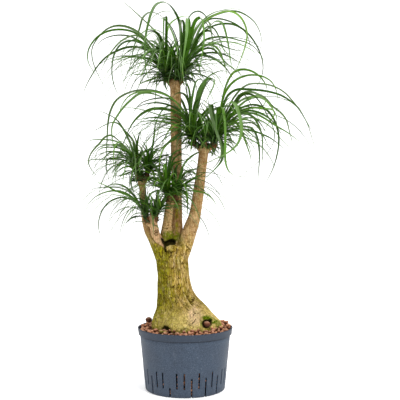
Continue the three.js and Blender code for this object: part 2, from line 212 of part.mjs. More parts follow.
    [10.7, 0.670, 0.869, [[-137.2,13.9,641.0],[-136.5,14.5,666.9],[-127.4,24.6,688.8],[-112.3,41.1,701.8],[-94.7,59.8,705.6],[-77.0,77.8,699.6],[-62.1,92.7,684.6],[-52.1,102.3,662.6]]],
    [8.8, -0.511, 1.751, [[-145.7,16.1,641.0],[-146.6,19.9,670.2],[-151.1,38.2,693.0],[-158.1,64.3,705.4],[-166.4,92.7,708.5],[-175.3,120.5,702.5],[-184.0,145.2,688.3],[-191.5,164.8,667.2]]],
  ]],
  ['leaves_thin_stem_left_2', 'thin_stem_left', 1.9648, 2.8275, [
    [7.7, -0.804, 2.634, [[-152.8,11.0,641.0],[-161.9,14.0,677.0],[-183.5,24.7,704.5],[-215.4,39.9,716.1],[-249.1,55.5,715.5],[-277.7,68.6,697.0],[-294.7,77.3,665.2],[-323.9,86.0,643.9]]],
    [7.7, -0.755, 2.464, [[-151.8,12.4,641.0],[-146.8,11.5,680.4],[-151.3,18.7,718.8],[-172.4,34.5,748.3],[-194.4,50.5,777.1],[-219.6,66.3,803.1],[-251.8,82.6,819.8],[-287.1,96.0,831.9]]],
    [7.7, -1.083, 2.634, [[-152.8,11.0,641.0],[-154.5,11.0,678.7],[-161.5,15.6,715.3],[-176.8,24.4,748.6],[-197.7,35.1,777.9],[-231.1,48.2,782.9],[-263.6,60.4,768.2],[-296.9,70.0,753.5]]],
    [7.0, -0.672, 2.342, [[-151.0,13.4,641.0],[-164.0,20.4,629.8],[-165.7,26.8,609.8],[-166.5,34.5,590.2],[-168.0,42.1,570.7],[-169.9,49.0,550.9],[-171.6,53.8,530.6],[-173.0,56.0,509.7]]],
  ]],
  ['leaves_thin_stem_left_3', 'thin_stem_left', 2.8275, 3.9241, [
    [8.4, -0.952, 3.544, [[-153.3,2.0,641.0],[-157.0,0.2,683.7],[-183.0,-10.2,715.4],[-215.1,-24.5,739.9],[-245.1,-38.0,716.8],[-270.4,-49.0,684.0],[-270.6,-53.4,643.7],[-243.1,-54.0,610.7]]],
    [8.4, 0.939, 3.075, [[-154.1,6.7,641.0],[-156.2,6.7,669.9],[-167.7,7.5,696.1],[-188.7,9.0,716.0],[-214.8,10.7,728.0],[-243.6,12.6,730.6],[-272.6,14.5,731.0],[-298.8,16.0,719.4]]],
    [8.4, 0.757, 3.718, [[-152.4,0.4,641.0],[-158.9,-4.0,672.1],[-175.4,-18.0,695.3],[-199.8,-37.2,702.9],[-225.1,-57.1,702.2],[-248.4,-74.7,690.6],[-252.7,-82.3,660.0],[-247.9,-84.0,628.2]]],
    [7.7, -0.779, 3.690, [[-152.6,0.6,641.0],[-155.7,-0.8,629.9],[-157.5,-5.2,619.1],[-158.3,-9.8,608.3],[-157.4,-13.7,597.2],[-154.4,-16.7,586.2],[-149.9,-18.8,575.5],[-144.4,-19.5,565.1]]],
  ]],
  ['leaves_thin_stem_left_4', 'thin_stem_left', 3.9241, 5.9559, [
    [9.1, 0.270, 4.843, [[-142.5,-4.2,641.0],[-142.3,-8.6,666.7],[-141.1,-25.7,687.2],[-138.0,-46.3,704.0],[-133.5,-67.3,720.0],[-128.0,-88.4,735.5],[-121.1,-107.1,738.8],[-122.6,-114.0,713.3]]],
    [9.1, 0.239, 4.876, [[-142.1,-4.2,641.0],[-154.7,-7.2,631.4],[-149.3,-15.8,617.3],[-141.2,-26.8,606.2],[-134.4,-39.4,596.0],[-129.3,-51.2,583.9],[-126.5,-60.1,569.0],[-124.7,-64.0,552.0]]],
    [8.4, -0.404, 4.303, [[-147.9,-3.5,641.0],[-153.3,-10.3,670.9],[-159.6,-29.6,695.0],[-169.3,-54.4,712.2],[-184.2,-81.0,716.9],[-195.0,-104.2,699.1],[-196.9,-119.1,671.5],[-193.1,-124.0,640.6]]],
    [8.4, 0.545, 4.153, [[-149.3,-2.7,641.0],[-153.6,-8.4,669.0],[-163.8,-27.2,688.4],[-179.6,-51.1,692.1],[-190.9,-73.0,676.8],[-194.2,-89.7,653.0],[-193.8,-100.2,625.7],[-191.3,-104.0,596.7]]],
  ]],
  ['leaves_thin_stem_right_1', 'thin_stem_right', -2.9864, -0.8498, [
    [9.8, 0.427, -1.266, [[-108.1,-5.8,638.0],[-102.7,-13.7,666.4],[-96.9,-33.2,689.1],[-91.2,-56.0,708.7],[-86.5,-78.7,728.8],[-82.9,-99.6,750.9],[-77.6,-117.7,771.6],[-74.0,-126.0,742.8]]],
    [8.4, -0.285, -1.730, [[-112.8,-6.2,638.0],[-111.7,-3.2,653.5],[-110.0,-7.3,668.6],[-109.6,-15.8,682.1],[-113.2,-25.1,694.5],[-119.2,-36.1,704.4],[-126.7,-46.6,713.7],[-138.3,-56.0,716.6]]],
    [9.8, 0.500, -1.105, [[-106.6,-5.2,638.0],[-100.1,-15.6,651.2],[-90.8,-32.6,650.2],[-83.3,-49.8,644.4],[-77.6,-66.8,636.2],[-72.8,-83.2,626.4],[-69.0,-97.9,614.0],[-66.8,-106.0,596.7]]],
    [8.4, 0.216, -1.473, [[-110.2,-6.2,638.0],[-111.3,-13.8,658.4],[-110.0,-33.1,671.5],[-107.2,-54.0,681.8],[-103.0,-75.1,691.1],[-96.3,-96.1,699.0],[-87.2,-115.6,693.8],[-85.1,-126.0,673.6]]],
  ]],
  ['leaves_thin_stem_right_2', 'thin_stem_right', -0.8498, 1.2987, [
    [8.4, 0.638, -0.541, [[-102.4,-1.3,638.0],[-107.0,0.9,662.4],[-109.5,0.9,687.2],[-112.7,-0.7,712.0],[-113.6,-2.4,736.8],[-101.2,-6.7,757.3],[-79.1,-14.8,764.4],[-55.5,-22.0,761.5]]],
    [8.4, -0.841, 0.796, [[-104.0,11.4,638.0],[-105.8,8.7,654.3],[-105.4,10.7,670.8],[-101.9,16.0,686.2],[-96.2,22.3,700.6],[-86.5,29.6,711.9],[-73.5,37.4,718.7],[-58.6,44.0,721.7]]],
    [8.4, -0.798, -0.545, [[-102.4,-1.3,638.0],[-103.8,0.2,654.1],[-102.1,-1.6,670.0],[-96.1,-6.2,684.4],[-87.0,-11.9,696.5],[-74.2,-18.4,704.0],[-59.6,-24.8,706.9],[-44.9,-30.0,702.8]]],
    [8.4, -0.511, 1.063, [[-106.2,13.0,638.0],[-103.5,13.3,654.4],[-100.5,22.7,668.3],[-95.0,35.4,678.4],[-86.9,48.7,685.4],[-76.9,61.9,689.6],[-65.2,74.3,691.2],[-51.3,84.0,690.6]]],
  ]],
  ['leaves_thin_stem_right_3', 'thin_stem_right', 1.2987, 3.2968, [
    [8.4, 0.280, 1.787, [[-113.4,14.1,638.0],[-111.3,11.5,654.8],[-109.6,15.7,671.4],[-110.0,23.4,686.8],[-114.3,30.8,701.9],[-120.9,38.0,716.1],[-129.2,46.8,728.4],[-139.0,54.0,740.5]]],
    [8.4, 0.183, 1.518, [[-110.7,14.3,638.0],[-108.5,23.9,659.0],[-108.0,44.0,673.4],[-107.7,65.3,685.9],[-106.8,86.5,698.6],[-104.7,107.2,712.1],[-99.5,126.7,726.4],[-85.4,144.0,729.6]]],
    [8.4, -0.397, 1.867, [[-114.2,13.8,638.0],[-117.4,18.2,658.5],[-121.3,33.3,673.9],[-125.6,50.7,686.7],[-130.7,68.0,699.3],[-137.5,84.8,711.9],[-148.0,100.8,722.4],[-162.7,114.0,716.3]]],
    [9.6, 0.662, 2.030, [[-115.8,13.2,638.0],[-116.8,15.2,663.1],[-123.4,27.2,684.2],[-134.1,46.1,697.3],[-146.7,67.6,702.3],[-159.9,88.9,698.5],[-171.9,107.5,686.2],[-181.2,121.2,667.0]]],
  ]],
  ['leaves_front_stem_left_1', 'front_stem_left', 0.3526, 2.3984, [
    [7.0, -0.267, 1.745, [[-54.3,-12.9,574.4],[-53.7,-17.3,592.9],[-53.7,-17.5,612.0],[-54.2,-13.7,630.7],[-54.6,-9.4,649.3],[-54.4,-6.0,668.1],[-54.0,-3.8,687.1],[-53.4,-3.0,706.2]]],
    [9.1, -0.412, 1.872, [[-55.5,-13.2,574.4],[-56.8,-12.6,591.3],[-59.3,-3.6,605.9],[-62.1,7.6,619.0],[-64.7,18.6,632.2],[-65.9,27.9,646.8],[-58.9,34.3,661.0],[-43.3,37.0,667.8]]],
    [8.4, 0.346, 1.436, [[-51.1,-12.8,574.4],[-49.0,-2.0,593.5],[-47.2,18.1,605.8],[-44.7,39.1,616.5],[-41.1,60.1,626.9],[-35.9,80.6,637.5],[-27.2,100.4,647.1],[-12.4,117.0,645.1]]],
    [8.4, -0.469, 1.894, [[-55.8,-13.2,574.4],[-60.7,-7.0,592.2],[-64.9,8.7,604.9],[-69.1,25.6,616.1],[-74.4,42.4,627.0],[-82.1,58.9,636.7],[-93.8,74.9,642.0],[-106.6,87.0,633.2]]],
  ]],
  ['leaves_front_stem_left_2', 'front_stem_left', 2.3984, 4.4933, [
    [8.4, -0.874, 2.981, [[-62.7,-21.4,574.4],[-63.3,-21.6,585.5],[-67.1,-20.9,596.0],[-74.6,-19.6,604.2],[-84.4,-17.9,609.4],[-94.7,-16.1,613.7],[-105.2,-14.4,617.2],[-115.8,-13.0,620.7]]],
    [7.7, 0.453, 4.227, [[-57.3,-32.1,574.4],[-66.3,-42.8,579.0],[-72.5,-57.1,579.9],[-76.6,-71.3,574.9],[-75.4,-84.5,566.5],[-72.2,-96.9,557.4],[-68.2,-107.7,546.7],[-65.0,-113.0,532.5]]],
    [8.4, -0.999, 2.649, [[-61.6,-18.1,574.4],[-64.2,-17.4,592.2],[-68.8,-13.8,609.4],[-73.1,-9.5,626.5],[-75.6,-6.3,644.1],[-75.7,-4.4,662.1],[-72.7,-3.4,680.0],[-62.2,-3.0,694.4]]],
    [8.4, -0.497, 4.287, [[-56.8,-32.4,574.4],[-59.2,-36.0,588.5],[-62.9,-47.8,598.1],[-67.9,-61.1,604.8],[-74.7,-74.8,608.0],[-81.8,-88.0,604.2],[-85.6,-98.6,593.4],[-86.6,-103.0,578.6]]],
  ]],
  ['leaves_front_stem_left_3', 'front_stem_left', 4.4933, 6.6358, [
    [8.4, 0.447, 5.081, [[-48.8,-32.6,574.4],[-49.0,-28.7,593.1],[-48.7,-30.8,612.1],[-47.5,-37.1,630.2],[-44.5,-44.7,647.6],[-40.1,-52.3,664.8],[-35.6,-58.7,682.3],[-30.7,-63.0,700.4]]],
    [9.1, -0.744, 5.445, [[-45.6,-30.7,574.4],[-47.4,-28.1,595.9],[-47.7,-30.8,617.5],[-44.1,-38.6,637.5],[-35.0,-48.9,654.3],[-18.8,-61.2,661.2],[-1.1,-73.2,665.6],[18.1,-83.0,668.4]]],
    [8.4, -0.885, 5.668, [[-44.1,-28.9,574.4],[-46.5,-26.5,599.4],[-47.9,-27.5,624.6],[-47.3,-30.6,649.6],[-42.6,-35.0,673.9],[-27.1,-43.7,691.1],[-5.4,-54.0,699.1],[17.8,-63.0,701.2]]],
    [8.4, -0.604, 5.328, [[-46.5,-31.4,574.4],[-45.8,-29.2,598.4],[-44.6,-33.9,622.0],[-41.4,-43.5,644.0],[-34.3,-55.0,664.1],[-20.7,-68.4,678.3],[-1.7,-82.6,680.4],[15.4,-93.0,667.2]]],
  ]],
  ['leaves_front_stem_right_1', 'front_stem_right', -3.1154, -1.1210, [
    [9.1, -0.360, -1.340, [[-21.0,-35.0,575.8],[-19.2,-48.0,567.7],[-13.2,-63.6,563.3],[-6.8,-79.2,559.4],[-0.8,-94.7,554.5],[5.2,-109.8,548.8],[11.9,-124.1,541.7],[20.7,-135.0,531.9]]],
    [8.4, 0.205, -1.503, [[-22.6,-35.3,575.8],[-25.2,-35.3,595.8],[-27.3,-45.2,613.5],[-27.9,-59.3,628.3],[-24.7,-73.0,643.2],[-13.9,-86.3,653.9],[-1.1,-101.7,657.8],[14.3,-115.0,659.0]]],
    [8.4, 0.279, -1.360, [[-21.2,-35.1,575.8],[-18.7,-40.9,595.3],[-15.5,-57.9,607.9],[-11.9,-77.1,616.8],[-8.0,-96.5,625.3],[-3.4,-115.7,633.8],[4.7,-134.1,632.5],[7.9,-145.0,615.0]]],
    [8.4, 0.266, -1.769, [[-25.4,-35.1,575.8],[-27.9,-40.7,589.3],[-30.2,-55.0,596.7],[-32.7,-70.3,601.7],[-35.5,-85.7,606.3],[-40.1,-101.1,608.3],[-44.6,-115.7,603.4],[-46.4,-125.0,590.7]]],
  ]],
  ['leaves_front_stem_right_2', 'front_stem_right', -1.1210, -0.1500, [
    [9.1, -0.752, -0.902, [[-16.9,-33.1,575.8],[-7.7,-40.2,590.7],[2.7,-54.5,599.4],[13.2,-69.9,605.6],[23.8,-85.3,611.6],[35.2,-100.3,617.2],[48.0,-114.3,622.8],[62.9,-125.0,629.5]]],
    [8.4, 0.812, -0.711, [[-15.5,-31.7,575.8],[-13.7,-31.4,593.9],[-7.4,-37.4,609.7],[3.1,-47.2,621.0],[14.1,-57.4,631.4],[26.7,-67.5,639.9],[41.7,-77.3,642.7],[57.6,-85.0,638.6]]],
    [8.4, 0.885, -0.646, [[-15.1,-31.2,575.8],[3.2,-41.0,581.3],[20.3,-55.3,578.0],[37.3,-70.0,576.4],[54.0,-84.7,572.6],[69.6,-98.2,563.7],[82.9,-109.1,549.3],[92.2,-115.0,529.8]]],
    [8.4, 0.670, -0.820, [[-16.3,-32.5,575.8],[-11.2,-33.4,594.9],[-4.7,-39.7,612.5],[2.3,-49.3,628.5],[8.8,-58.8,644.6],[15.4,-67.9,661.0],[29.2,-78.1,659.7],[40.7,-85.0,645.1]]],
  ]],
  ['leaves_front_stem_right_3', 'front_stem_right', -0.1500, 1.0626, [
    [8.4, -0.810, 0.773, [[-16.0,-17.8,575.8],[-14.8,-19.6,592.2],[-12.2,-18.0,608.4],[-9.0,-13.8,624.1],[-6.8,-9.6,639.9],[-3.2,-5.3,655.5],[2.7,-0.7,670.2],[15.5,5.0,677.3]]],
    [7.7, -0.813, 0.784, [[-16.1,-17.7,575.8],[-19.0,-20.4,592.8],[-19.9,-19.4,610.2],[-15.9,-13.8,626.1],[-7.4,-5.9,638.9],[6.7,3.5,637.3],[17.8,10.8,626.2],[25.7,15.0,611.2]]],
    [7.7, -0.686, 0.829, [[-16.4,-17.4,575.8],[-5.0,-8.8,576.0],[1.7,2.1,568.5],[5.1,12.1,558.0],[6.5,21.0,546.0],[6.8,28.3,533.0],[5.9,33.2,518.9],[4.6,35.0,504.2]]],
    [7.7, 0.975, 0.439, [[-14.0,-20.6,575.8],[-14.6,-20.5,611.7],[-7.4,-15.6,646.4],[12.4,-5.7,674.3],[40.5,6.6,692.5],[73.7,19.5,692.2],[104.9,30.8,678.6],[133.4,39.0,658.4]]],
  ]],
  ['leaves_front_stem_right_4', 'front_stem_right', 1.0626, 3.1678, [
    [9.5, -0.370, 2.071, [[-28.3,-16.0,575.8],[-31.1,-11.1,596.5],[-39.8,3.4,609.9],[-51.0,21.5,614.5],[-62.7,39.6,612.0],[-73.8,56.0,603.0],[-83.2,69.3,588.5],[-89.9,78.5,570.0]]],
  ]],
  ['leaves_short_stem_left_1', 'short_stem_left', 0.0424, 2.3096, [
    [10.2, -0.662, 1.001, [[-108.3,-29.3,512.1],[-109.3,-30.6,527.4],[-105.9,-24.5,540.9],[-99.8,-12.8,548.9],[-93.1,0.8,551.8],[-86.8,14.6,549.0],[-81.7,26.7,541.0],[-78.4,35.4,528.7]]],
    [9.4, 0.338, 1.414, [[-112.3,-27.8,512.1],[-111.9,-24.6,533.3],[-110.2,-11.6,550.3],[-108.1,7.2,560.6],[-106.0,28.3,565.1],[-104.2,49.7,563.7],[-102.9,70.0,556.3],[-102.0,87.5,543.7]]],
  ]],
  ['leaves_short_stem_left_2', 'short_stem_left', 2.3096, 4.1815, [
    [9.1, 0.860, 3.350, [[-124.0,-40.1,512.1],[-138.7,-42.8,541.6],[-167.5,-49.1,556.7],[-199.2,-56.3,554.3],[-225.8,-62.5,535.7],[-241.3,-66.3,506.6],[-245.2,-67.8,473.6],[-234.0,-68.0,442.4]]],
    [9.1, 0.971, 3.567, [[-123.3,-42.2,512.1],[-131.8,-44.8,536.1],[-147.3,-52.1,555.1],[-167.5,-61.9,567.5],[-189.6,-72.3,575.5],[-210.9,-82.0,586.0],[-232.3,-90.9,597.2],[-255.1,-98.0,606.7]]],
    [8.4, -0.863, 2.941, [[-124.0,-35.9,512.1],[-132.7,-34.7,539.9],[-147.7,-31.4,564.7],[-167.7,-27.0,585.4],[-193.4,-21.8,597.4],[-221.7,-16.3,595.3],[-245.8,-11.7,579.6],[-270.0,-8.0,563.7]]],
    [8.4, 0.846, 2.769, [[-123.5,-34.2,512.1],[-134.3,-31.2,539.6],[-150.4,-24.1,563.4],[-172.7,-14.7,580.5],[-199.3,-4.4,588.7],[-227.2,5.6,589.2],[-255.5,14.8,588.9],[-283.4,22.0,581.7]]],
  ]],
  ['leaves_short_stem_left_3', 'short_stem_left', 4.1815, 6.3256, [
    [9.1, -0.386, 4.940, [[-111.6,-48.0,512.1],[-114.7,-44.9,504.0],[-113.7,-51.6,497.8],[-110.6,-60.2,494.6],[-107.1,-68.8,491.9],[-103.0,-77.2,489.6],[-98.0,-85.3,487.9],[-91.5,-92.0,485.9]]],
    [8.4, 0.741, 5.367, [[-107.6,-46.2,512.1],[-109.9,-42.1,525.4],[-110.7,-41.4,539.4],[-109.3,-43.9,553.2],[-107.8,-46.7,566.9],[-106.8,-49.1,580.8],[-101.5,-52.9,593.1],[-90.9,-58.0,600.6]]],
    [8.4, 0.359, 4.929, [[-111.7,-48.1,512.1],[-109.1,-53.2,522.2],[-106.9,-65.8,527.3],[-104.7,-78.8,531.3],[-102.0,-91.8,535.0],[-98.3,-104.7,538.1],[-93.1,-117.3,539.3],[-86.9,-128.0,534.0]]],
    [8.4, 0.362, 4.405, [[-117.0,-47.8,512.1],[-122.1,-57.0,524.0],[-126.1,-72.9,529.6],[-130.6,-89.6,531.6],[-135.3,-106.3,531.0],[-139.0,-122.7,526.7],[-141.7,-138.0,519.0],[-143.8,-148.0,505.5]]],
  ]],
  ['leaves_short_stem_right_1', 'short_stem_right', -2.8415, -1.0499, [
    [8.4, -0.283, -1.389, [[-80.3,-48.1,516.5],[-75.5,-53.6,528.6],[-71.7,-65.9,536.9],[-71.0,-78.9,544.7],[-75.0,-92.1,551.1],[-83.0,-104.8,553.6],[-91.9,-117.0,551.7],[-100.1,-128.0,545.6]]],
    [8.4, -0.380, -1.790, [[-84.4,-48.0,516.5],[-86.0,-48.8,526.1],[-87.4,-58.2,531.5],[-89.0,-68.5,535.1],[-91.2,-78.9,537.9],[-94.2,-89.2,540.1],[-98.0,-99.3,542.2],[-104.4,-108.0,543.6]]],
    [7.7, 0.315, -1.819, [[-84.7,-48.0,516.5],[-84.8,-44.3,522.3],[-85.2,-45.0,529.0],[-85.8,-49.8,533.9],[-86.4,-55.0,538.5],[-87.1,-59.9,543.4],[-88.6,-64.4,548.4],[-91.7,-68.0,553.4]]],
    [8.4, 0.180, -1.613, [[-82.6,-48.3,516.5],[-83.8,-49.0,513.5],[-83.7,-55.8,511.9],[-83.5,-62.6,510.5],[-83.2,-69.4,509.1],[-82.7,-76.1,507.4],[-82.3,-82.8,505.4],[-81.9,-88.0,501.3]]],
  ]],
  ['leaves_short_stem_right_2', 'short_stem_right', -1.0499, 1.1726, [
    [9.1, -0.634, -0.695, [[-74.2,-44.6,516.5],[-74.1,-43.5,523.8],[-70.5,-46.7,529.8],[-66.2,-50.9,534.6],[-62.4,-55.0,540.0],[-58.5,-58.6,545.6],[-54.6,-61.8,551.5],[-50.6,-64.0,557.7]]],
    [8.4, -0.598, -0.843, [[-75.3,-45.7,516.5],[-70.5,-49.5,526.9],[-64.2,-59.2,532.5],[-57.6,-69.8,535.7],[-50.5,-80.4,537.8],[-42.9,-90.8,537.6],[-35.2,-100.3,534.1],[-29.9,-106.0,524.1]]],
    [8.4, 0.613, -0.843, [[-75.3,-45.7,516.5],[-69.2,-53.9,524.0],[-63.4,-66.0,526.8],[-57.5,-78.4,528.4],[-51.5,-90.8,528.9],[-45.1,-103.0,528.2],[-38.2,-114.7,525.9],[-32.1,-123.0,517.4]]],
    [8.4, -0.479, 0.791, [[-74.9,-30.7,516.5],[-76.4,-33.0,523.9],[-75.9,-32.2,531.8],[-73.5,-29.0,538.8],[-71.6,-25.9,545.9],[-70.5,-23.6,553.5],[-70.6,-22.4,561.5],[-71.2,-22.0,569.5]]],
  ]],
  ['leaves_short_stem_right_3', 'short_stem_right', 1.1726, 3.4416, [
    [8.4, 0.354, 1.419, [[-80.6,-27.8,516.5],[-78.5,-18.9,530.2],[-76.8,-1.9,537.2],[-74.4,15.6,542.4],[-71.1,33.2,547.0],[-66.7,50.6,551.2],[-60.2,67.6,553.9],[-49.7,82.0,550.5]]],
    [9.8, -0.234, 1.608, [[-82.5,-27.7,516.5],[-82.4,-30.1,532.0],[-82.5,-25.0,546.8],[-82.7,-13.6,557.6],[-82.9,0.5,564.7],[-83.0,16.0,567.2],[-82.9,31.6,564.8],[-82.8,45.6,557.7]]],
    [9.9, -0.798, 2.419, [[-89.8,-31.2,516.5],[-87.5,-33.2,523.8],[-90.0,-30.9,530.5],[-95.7,-25.8,532.8],[-101.5,-20.4,532.5],[-107.0,-15.3,529.7],[-111.6,-11.0,524.8],[-115.0,-7.8,518.3]]],
  ]],
];

// ---- solids ---------------------------------------------------------------
function solid(geometry) {
  const g = geometry.clone();
  g.deleteAttribute('normal');
  g.deleteAttribute('uv');
  const m = mergeVertices(g, 1e-4);
  const s = new wasm.Manifold(new wasm.Mesh({
    numProp: 3,
    vertProperties: Float32Array.from(m.attributes.position.array),
    triVerts: Uint32Array.from(m.index.array),
  }));
  return s;
}

function geometryOf(s) {
  const m = s.getMesh();
  const g = new THREE.BufferGeometry();
  const v = new Float32Array(m.numVert * 3);
  for (let i = 0; i < m.numVert; i++) {
    for (let k = 0; k < 3; k++) v[3 * i + k] = m.vertProperties[m.numProp * i + k];
  }
  g.setAttribute('position', new THREE.BufferAttribute(v, 3));
  g.setIndex(new THREE.BufferAttribute(Uint32Array.from(m.triVerts), 1));
  g.computeVertexNormals();
  return g;
}

// Closed skin over a list of rings with equally many points. Each quad is split along the
// diagonal that lies farther out, so that a thin twisted blade stays thick everywhere.
function skin(rings) {
  const n = rings[0].length, pos = [], idx = [], all = rings.flat();
  for (const p of all) pos.push(p.x, p.y, p.z);
  for (let i = 0; i + 1 < rings.length; i++) {
    const middle = new THREE.Vector3();
    for (let j = 0; j < 2 * n; j++) middle.addScaledVector(all[i * n + j], 0.5 / n);
    for (let j = 0; j < n; j++) {
      const a = i * n + j, b = i * n + (j + 1) % n, c = a + n, d = b + n;
      const ad = all[a].clone().add(all[d]).multiplyScalar(0.5);
      const bc = all[b].clone().add(all[c]).multiplyScalar(0.5);
      const out = all[d].clone().sub(all[a]).cross(all[c].clone().sub(all[b]));
      if (out.dot(ad.clone().add(bc).multiplyScalar(0.5).sub(middle)) < 0) out.negate();
      if (ad.sub(bc).dot(out) >= 0) idx.push(a, b, d, a, d, c);
      else idx.push(a, b, c, b, d, c);
    }
  }
  const last = (rings.length - 1) * n;
  for (let j = 1; j + 1 < n; j++) {
    idx.push(0, j + 1, j);
    idx.push(last, last + j, last + j + 1);
  }
  const g = new THREE.BufferGeometry();
  g.setAttribute('position', new THREE.BufferAttribute(Float32Array.from(pos), 3));
  g.setIndex(idx);
  return g;
}

function signedVolume(g) {
  const p = g.attributes.position, ix = g.index.array;
  let v = 0;
  const a = new THREE.Vector3(), b = new THREE.Vector3(), c = new THREE.Vector3();
  for (let i = 0; i < ix.length; i += 3) {
    a.fromBufferAttribute(p, ix[i]); b.fromBufferAttribute(p, ix[i + 1]); c.fromBufferAttribute(p, ix[i + 2]);
    v += a.dot(b.clone().cross(c));
  }
  return v / 6;
}

function outward(g) {
  if (signedVolume(g) < 0) {
    const ix = Array.from(g.index.array);
    for (let i = 0; i < ix.length; i += 3) [ix[i + 1], ix[i + 2]] = [ix[i + 2], ix[i + 1]];
    g.setIndex(ix);
  }
  return g;
}

// round limb through points [x, y, z, radius]; its last ring can be held level
function limb(points, sides, levelEnd) {
  const rings = [], up = new THREE.Vector3(0, 0, 1);
  for (let i = 0; i < points.length; i++) {
    const a = points[Math.max(0, i - 1)], b = points[Math.min(points.length - 1, i + 1)];
    const t = new THREE.Vector3(b[0] - a[0], b[1] - a[1], b[2] - a[2]).normalize();
    if (levelEnd && i === points.length - 1) t.copy(up);
    const q = new THREE.Quaternion().setFromUnitVectors(up, t);
    const ring = [];
    for (let j = 0; j < sides; j++) {
      const w = (j / sides) * 2 * Math.PI;
      ring.push(new THREE.Vector3(Math.cos(w) * points[i][3], Math.sin(w) * points[i][3], 0)
        .applyQuaternion(q).add(new THREE.Vector3(points[i][0], points[i][1], points[i][2])));
    }
    rings.push(ring);
  }
  return solid(outward(skin(rings)));
}

// ---- pot ------------------------------------------------------------------
function lathe(profile, segments) {
  const g = new THREE.LatheGeometry(profile.map(([r, z]) => new THREE.Vector2(r, z)), segments, Math.PI / segments);
  g.rotateX(Math.PI / 2);                       // the lathe's axis becomes Z
  g.deleteAttribute('normal');
  g.deleteAttribute('uv');
  return outward(mergeVertices(g, 1e-4));
}

const wallR = (z) => BASE_R + (BODY_TOP_R - BASE_R) * (z / (POT_H - COLLAR_H));
const COLLAR_Z = POT_H - COLLAR_H;

function makePot() {
  const profile = [
    [0, 0], [BASE_R - FOOT_ROUND, 0], [BASE_R - 1.1, 1.3], [wallR(FOOT_ROUND), FOOT_ROUND],
    [BODY_TOP_R, COLLAR_Z - 0.4], [COLLAR_R, COLLAR_Z + 0.6],
    [RIM_R - 0.5, POT_H - 2.2], [RIM_R - 1.2, POT_H], [RIM_R - 3.4, POT_H],
    [COLLAR_R - WALL, COLLAR_Z + 2.5], [BODY_TOP_R - WALL, COLLAR_Z - 2],
    [wallR(FLOOR) - WALL, FLOOR], [0, FLOOR],
  ];
  let pot = solid(lathe(profile, 36));
  for (let k = 0; k < SLOT_ROW.length; k++) {
    const upper = SLOT_ROW[k] === 'U';
    const z0 = upper ? UPPER_SLOT[0] : -5;
    const z1 = upper ? UPPER_SLOT[1] : SLOT_ROW[k] === 'S' ? SHORT_SLOT_TOP : LOWER_SLOT_TOP;
    const r0 = upper ? 106 : LOWER_SLOT_IN;
    const r1 = 134;
    const box = new THREE.BoxGeometry(r1 - r0, SLOT_W, z1 - z0);
    box.translate((r0 + r1) / 2, 0, (z0 + z1) / 2);
    box.rotateZ(THREE.MathUtils.degToRad(90 + k * SLOT_STEP));
    pot = pot.subtract(solid(box));
  }
  return pot;
}

// ---- woody plant: caudex, stems and growths grown together ------------------
function ellipse(z, x0, x1, y0, y1, n, lobe, grow) {
  const ring = [], cx = (x0 + x1) / 2, rx = (x1 - x0) / 2 + grow;
  for (let j = 0; j < n; j++) {
    const w = (j / n) * 2 * Math.PI;
    const k = 1 - lobe * (0.5 + 0.5 * Math.cos(5 * w + 0.6)) - lobe * 0.6 * (0.5 + 0.5 * Math.cos(3 * w - 1.1));
    const ry = Math.sin(w) < 0 ? -y0 + grow : y1 + grow;
    ring.push(new THREE.Vector3(cx + rx * (Math.abs(Math.cos(w)) > 0.9 ? 1 : k) * Math.cos(w), ry * k * Math.sin(w), z));
  }
  return ring;
}

function caudexSkin(grow) {
  return solid(outward(skin(CAUDEX.map(([z, x0, x1, y0, y1], i) => {
    const zz = grow > 0 && i === 0 ? z - grow : z;
    return ellipse(zz, x0, x1, y0, y1, 20, z > 150 && z < 240 ? 0.05 : 0.02, grow);
  }))));
}

function makeWood() {
  let wood = caudexSkin(0);
  for (const points of Object.values(STEMS)) wood = wood.add(limb(points, 10, false));
  for (const points of Object.values(GROWTHS)) wood = wood.add(limb(points, 8, true));
  for (const { at, bud } of Object.values(TUFTS)) {
    wood = wood.add(limb([
      [at[0], at[1], at[2] - 22, bud], [at[0], at[1], at[2] + 8, bud],
      [at[0], at[1], at[2] + 15, bud * 0.45],
    ], 6, true));
  }
  return wood;
}

// ---- clay granulate ---------------------------------------------------------
function bedHeight(r, w) {
  const lump = 1.6 * Math.sin(7 * w + r * 0.11) + 1.3 * Math.sin(11 * w - r * 0.17 + 1.3) + 1.0 * Math.sin(4 * w + 2.1);
  return BED_TOP + lump * Math.min(1, r / 60) + 2.2 * Math.max(0, Math.cos(w)) * Math.max(0, (r - 60) / 75);
}

function makeBed() {
  const n = 36, rings = [];
  const ringAt = (r, z) => {
    const ring = [];
    for (let j = 0; j < n; j++) {
      const w = ((j + 0.5) / n) * 2 * Math.PI;
      ring.push(new THREE.Vector3(r * Math.cos(w), r * Math.sin(w), typeof z === 'function' ? z(r, w) : z));
    }
    return ring;
  };
  const low = FLOOR + GAP, inTop = RIM_R - 4.3 - GAP;
  rings.push(ringAt(12, low));
  rings.push(ringAt(wallR(FLOOR) - WALL - GAP - 0.5, low));
  rings.push(ringAt(BODY_TOP_R - WALL - GAP - 0.9, COLLAR_Z - 2));
  rings.push(ringAt(COLLAR_R - WALL - GAP - 0.9, COLLAR_Z + 3));
  rings.push(ringAt(inTop - 1.1, POT_H - 7));
  rings.push(ringAt(inTop - 6, bedHeight));
  rings.push(ringAt(110, bedHeight));
  rings.push(ringAt(84, bedHeight));
  rings.push(ringAt(50, bedHeight));
  rings.push(ringAt(12, BED_TOP));
  const bed = solid(outward(skin(rings)));
  return bed.subtract(caudexSkin(0.45));
}

// ---- leaves -----------------------------------------------------------------
function leafWidth(s, w) {
  return w * (0.36 + 0.64 * Math.min(1, s / 0.18)) * Math.max(0.10, 1 - Math.max(0, (s - 0.12) / 0.88) ** 1.7);
}

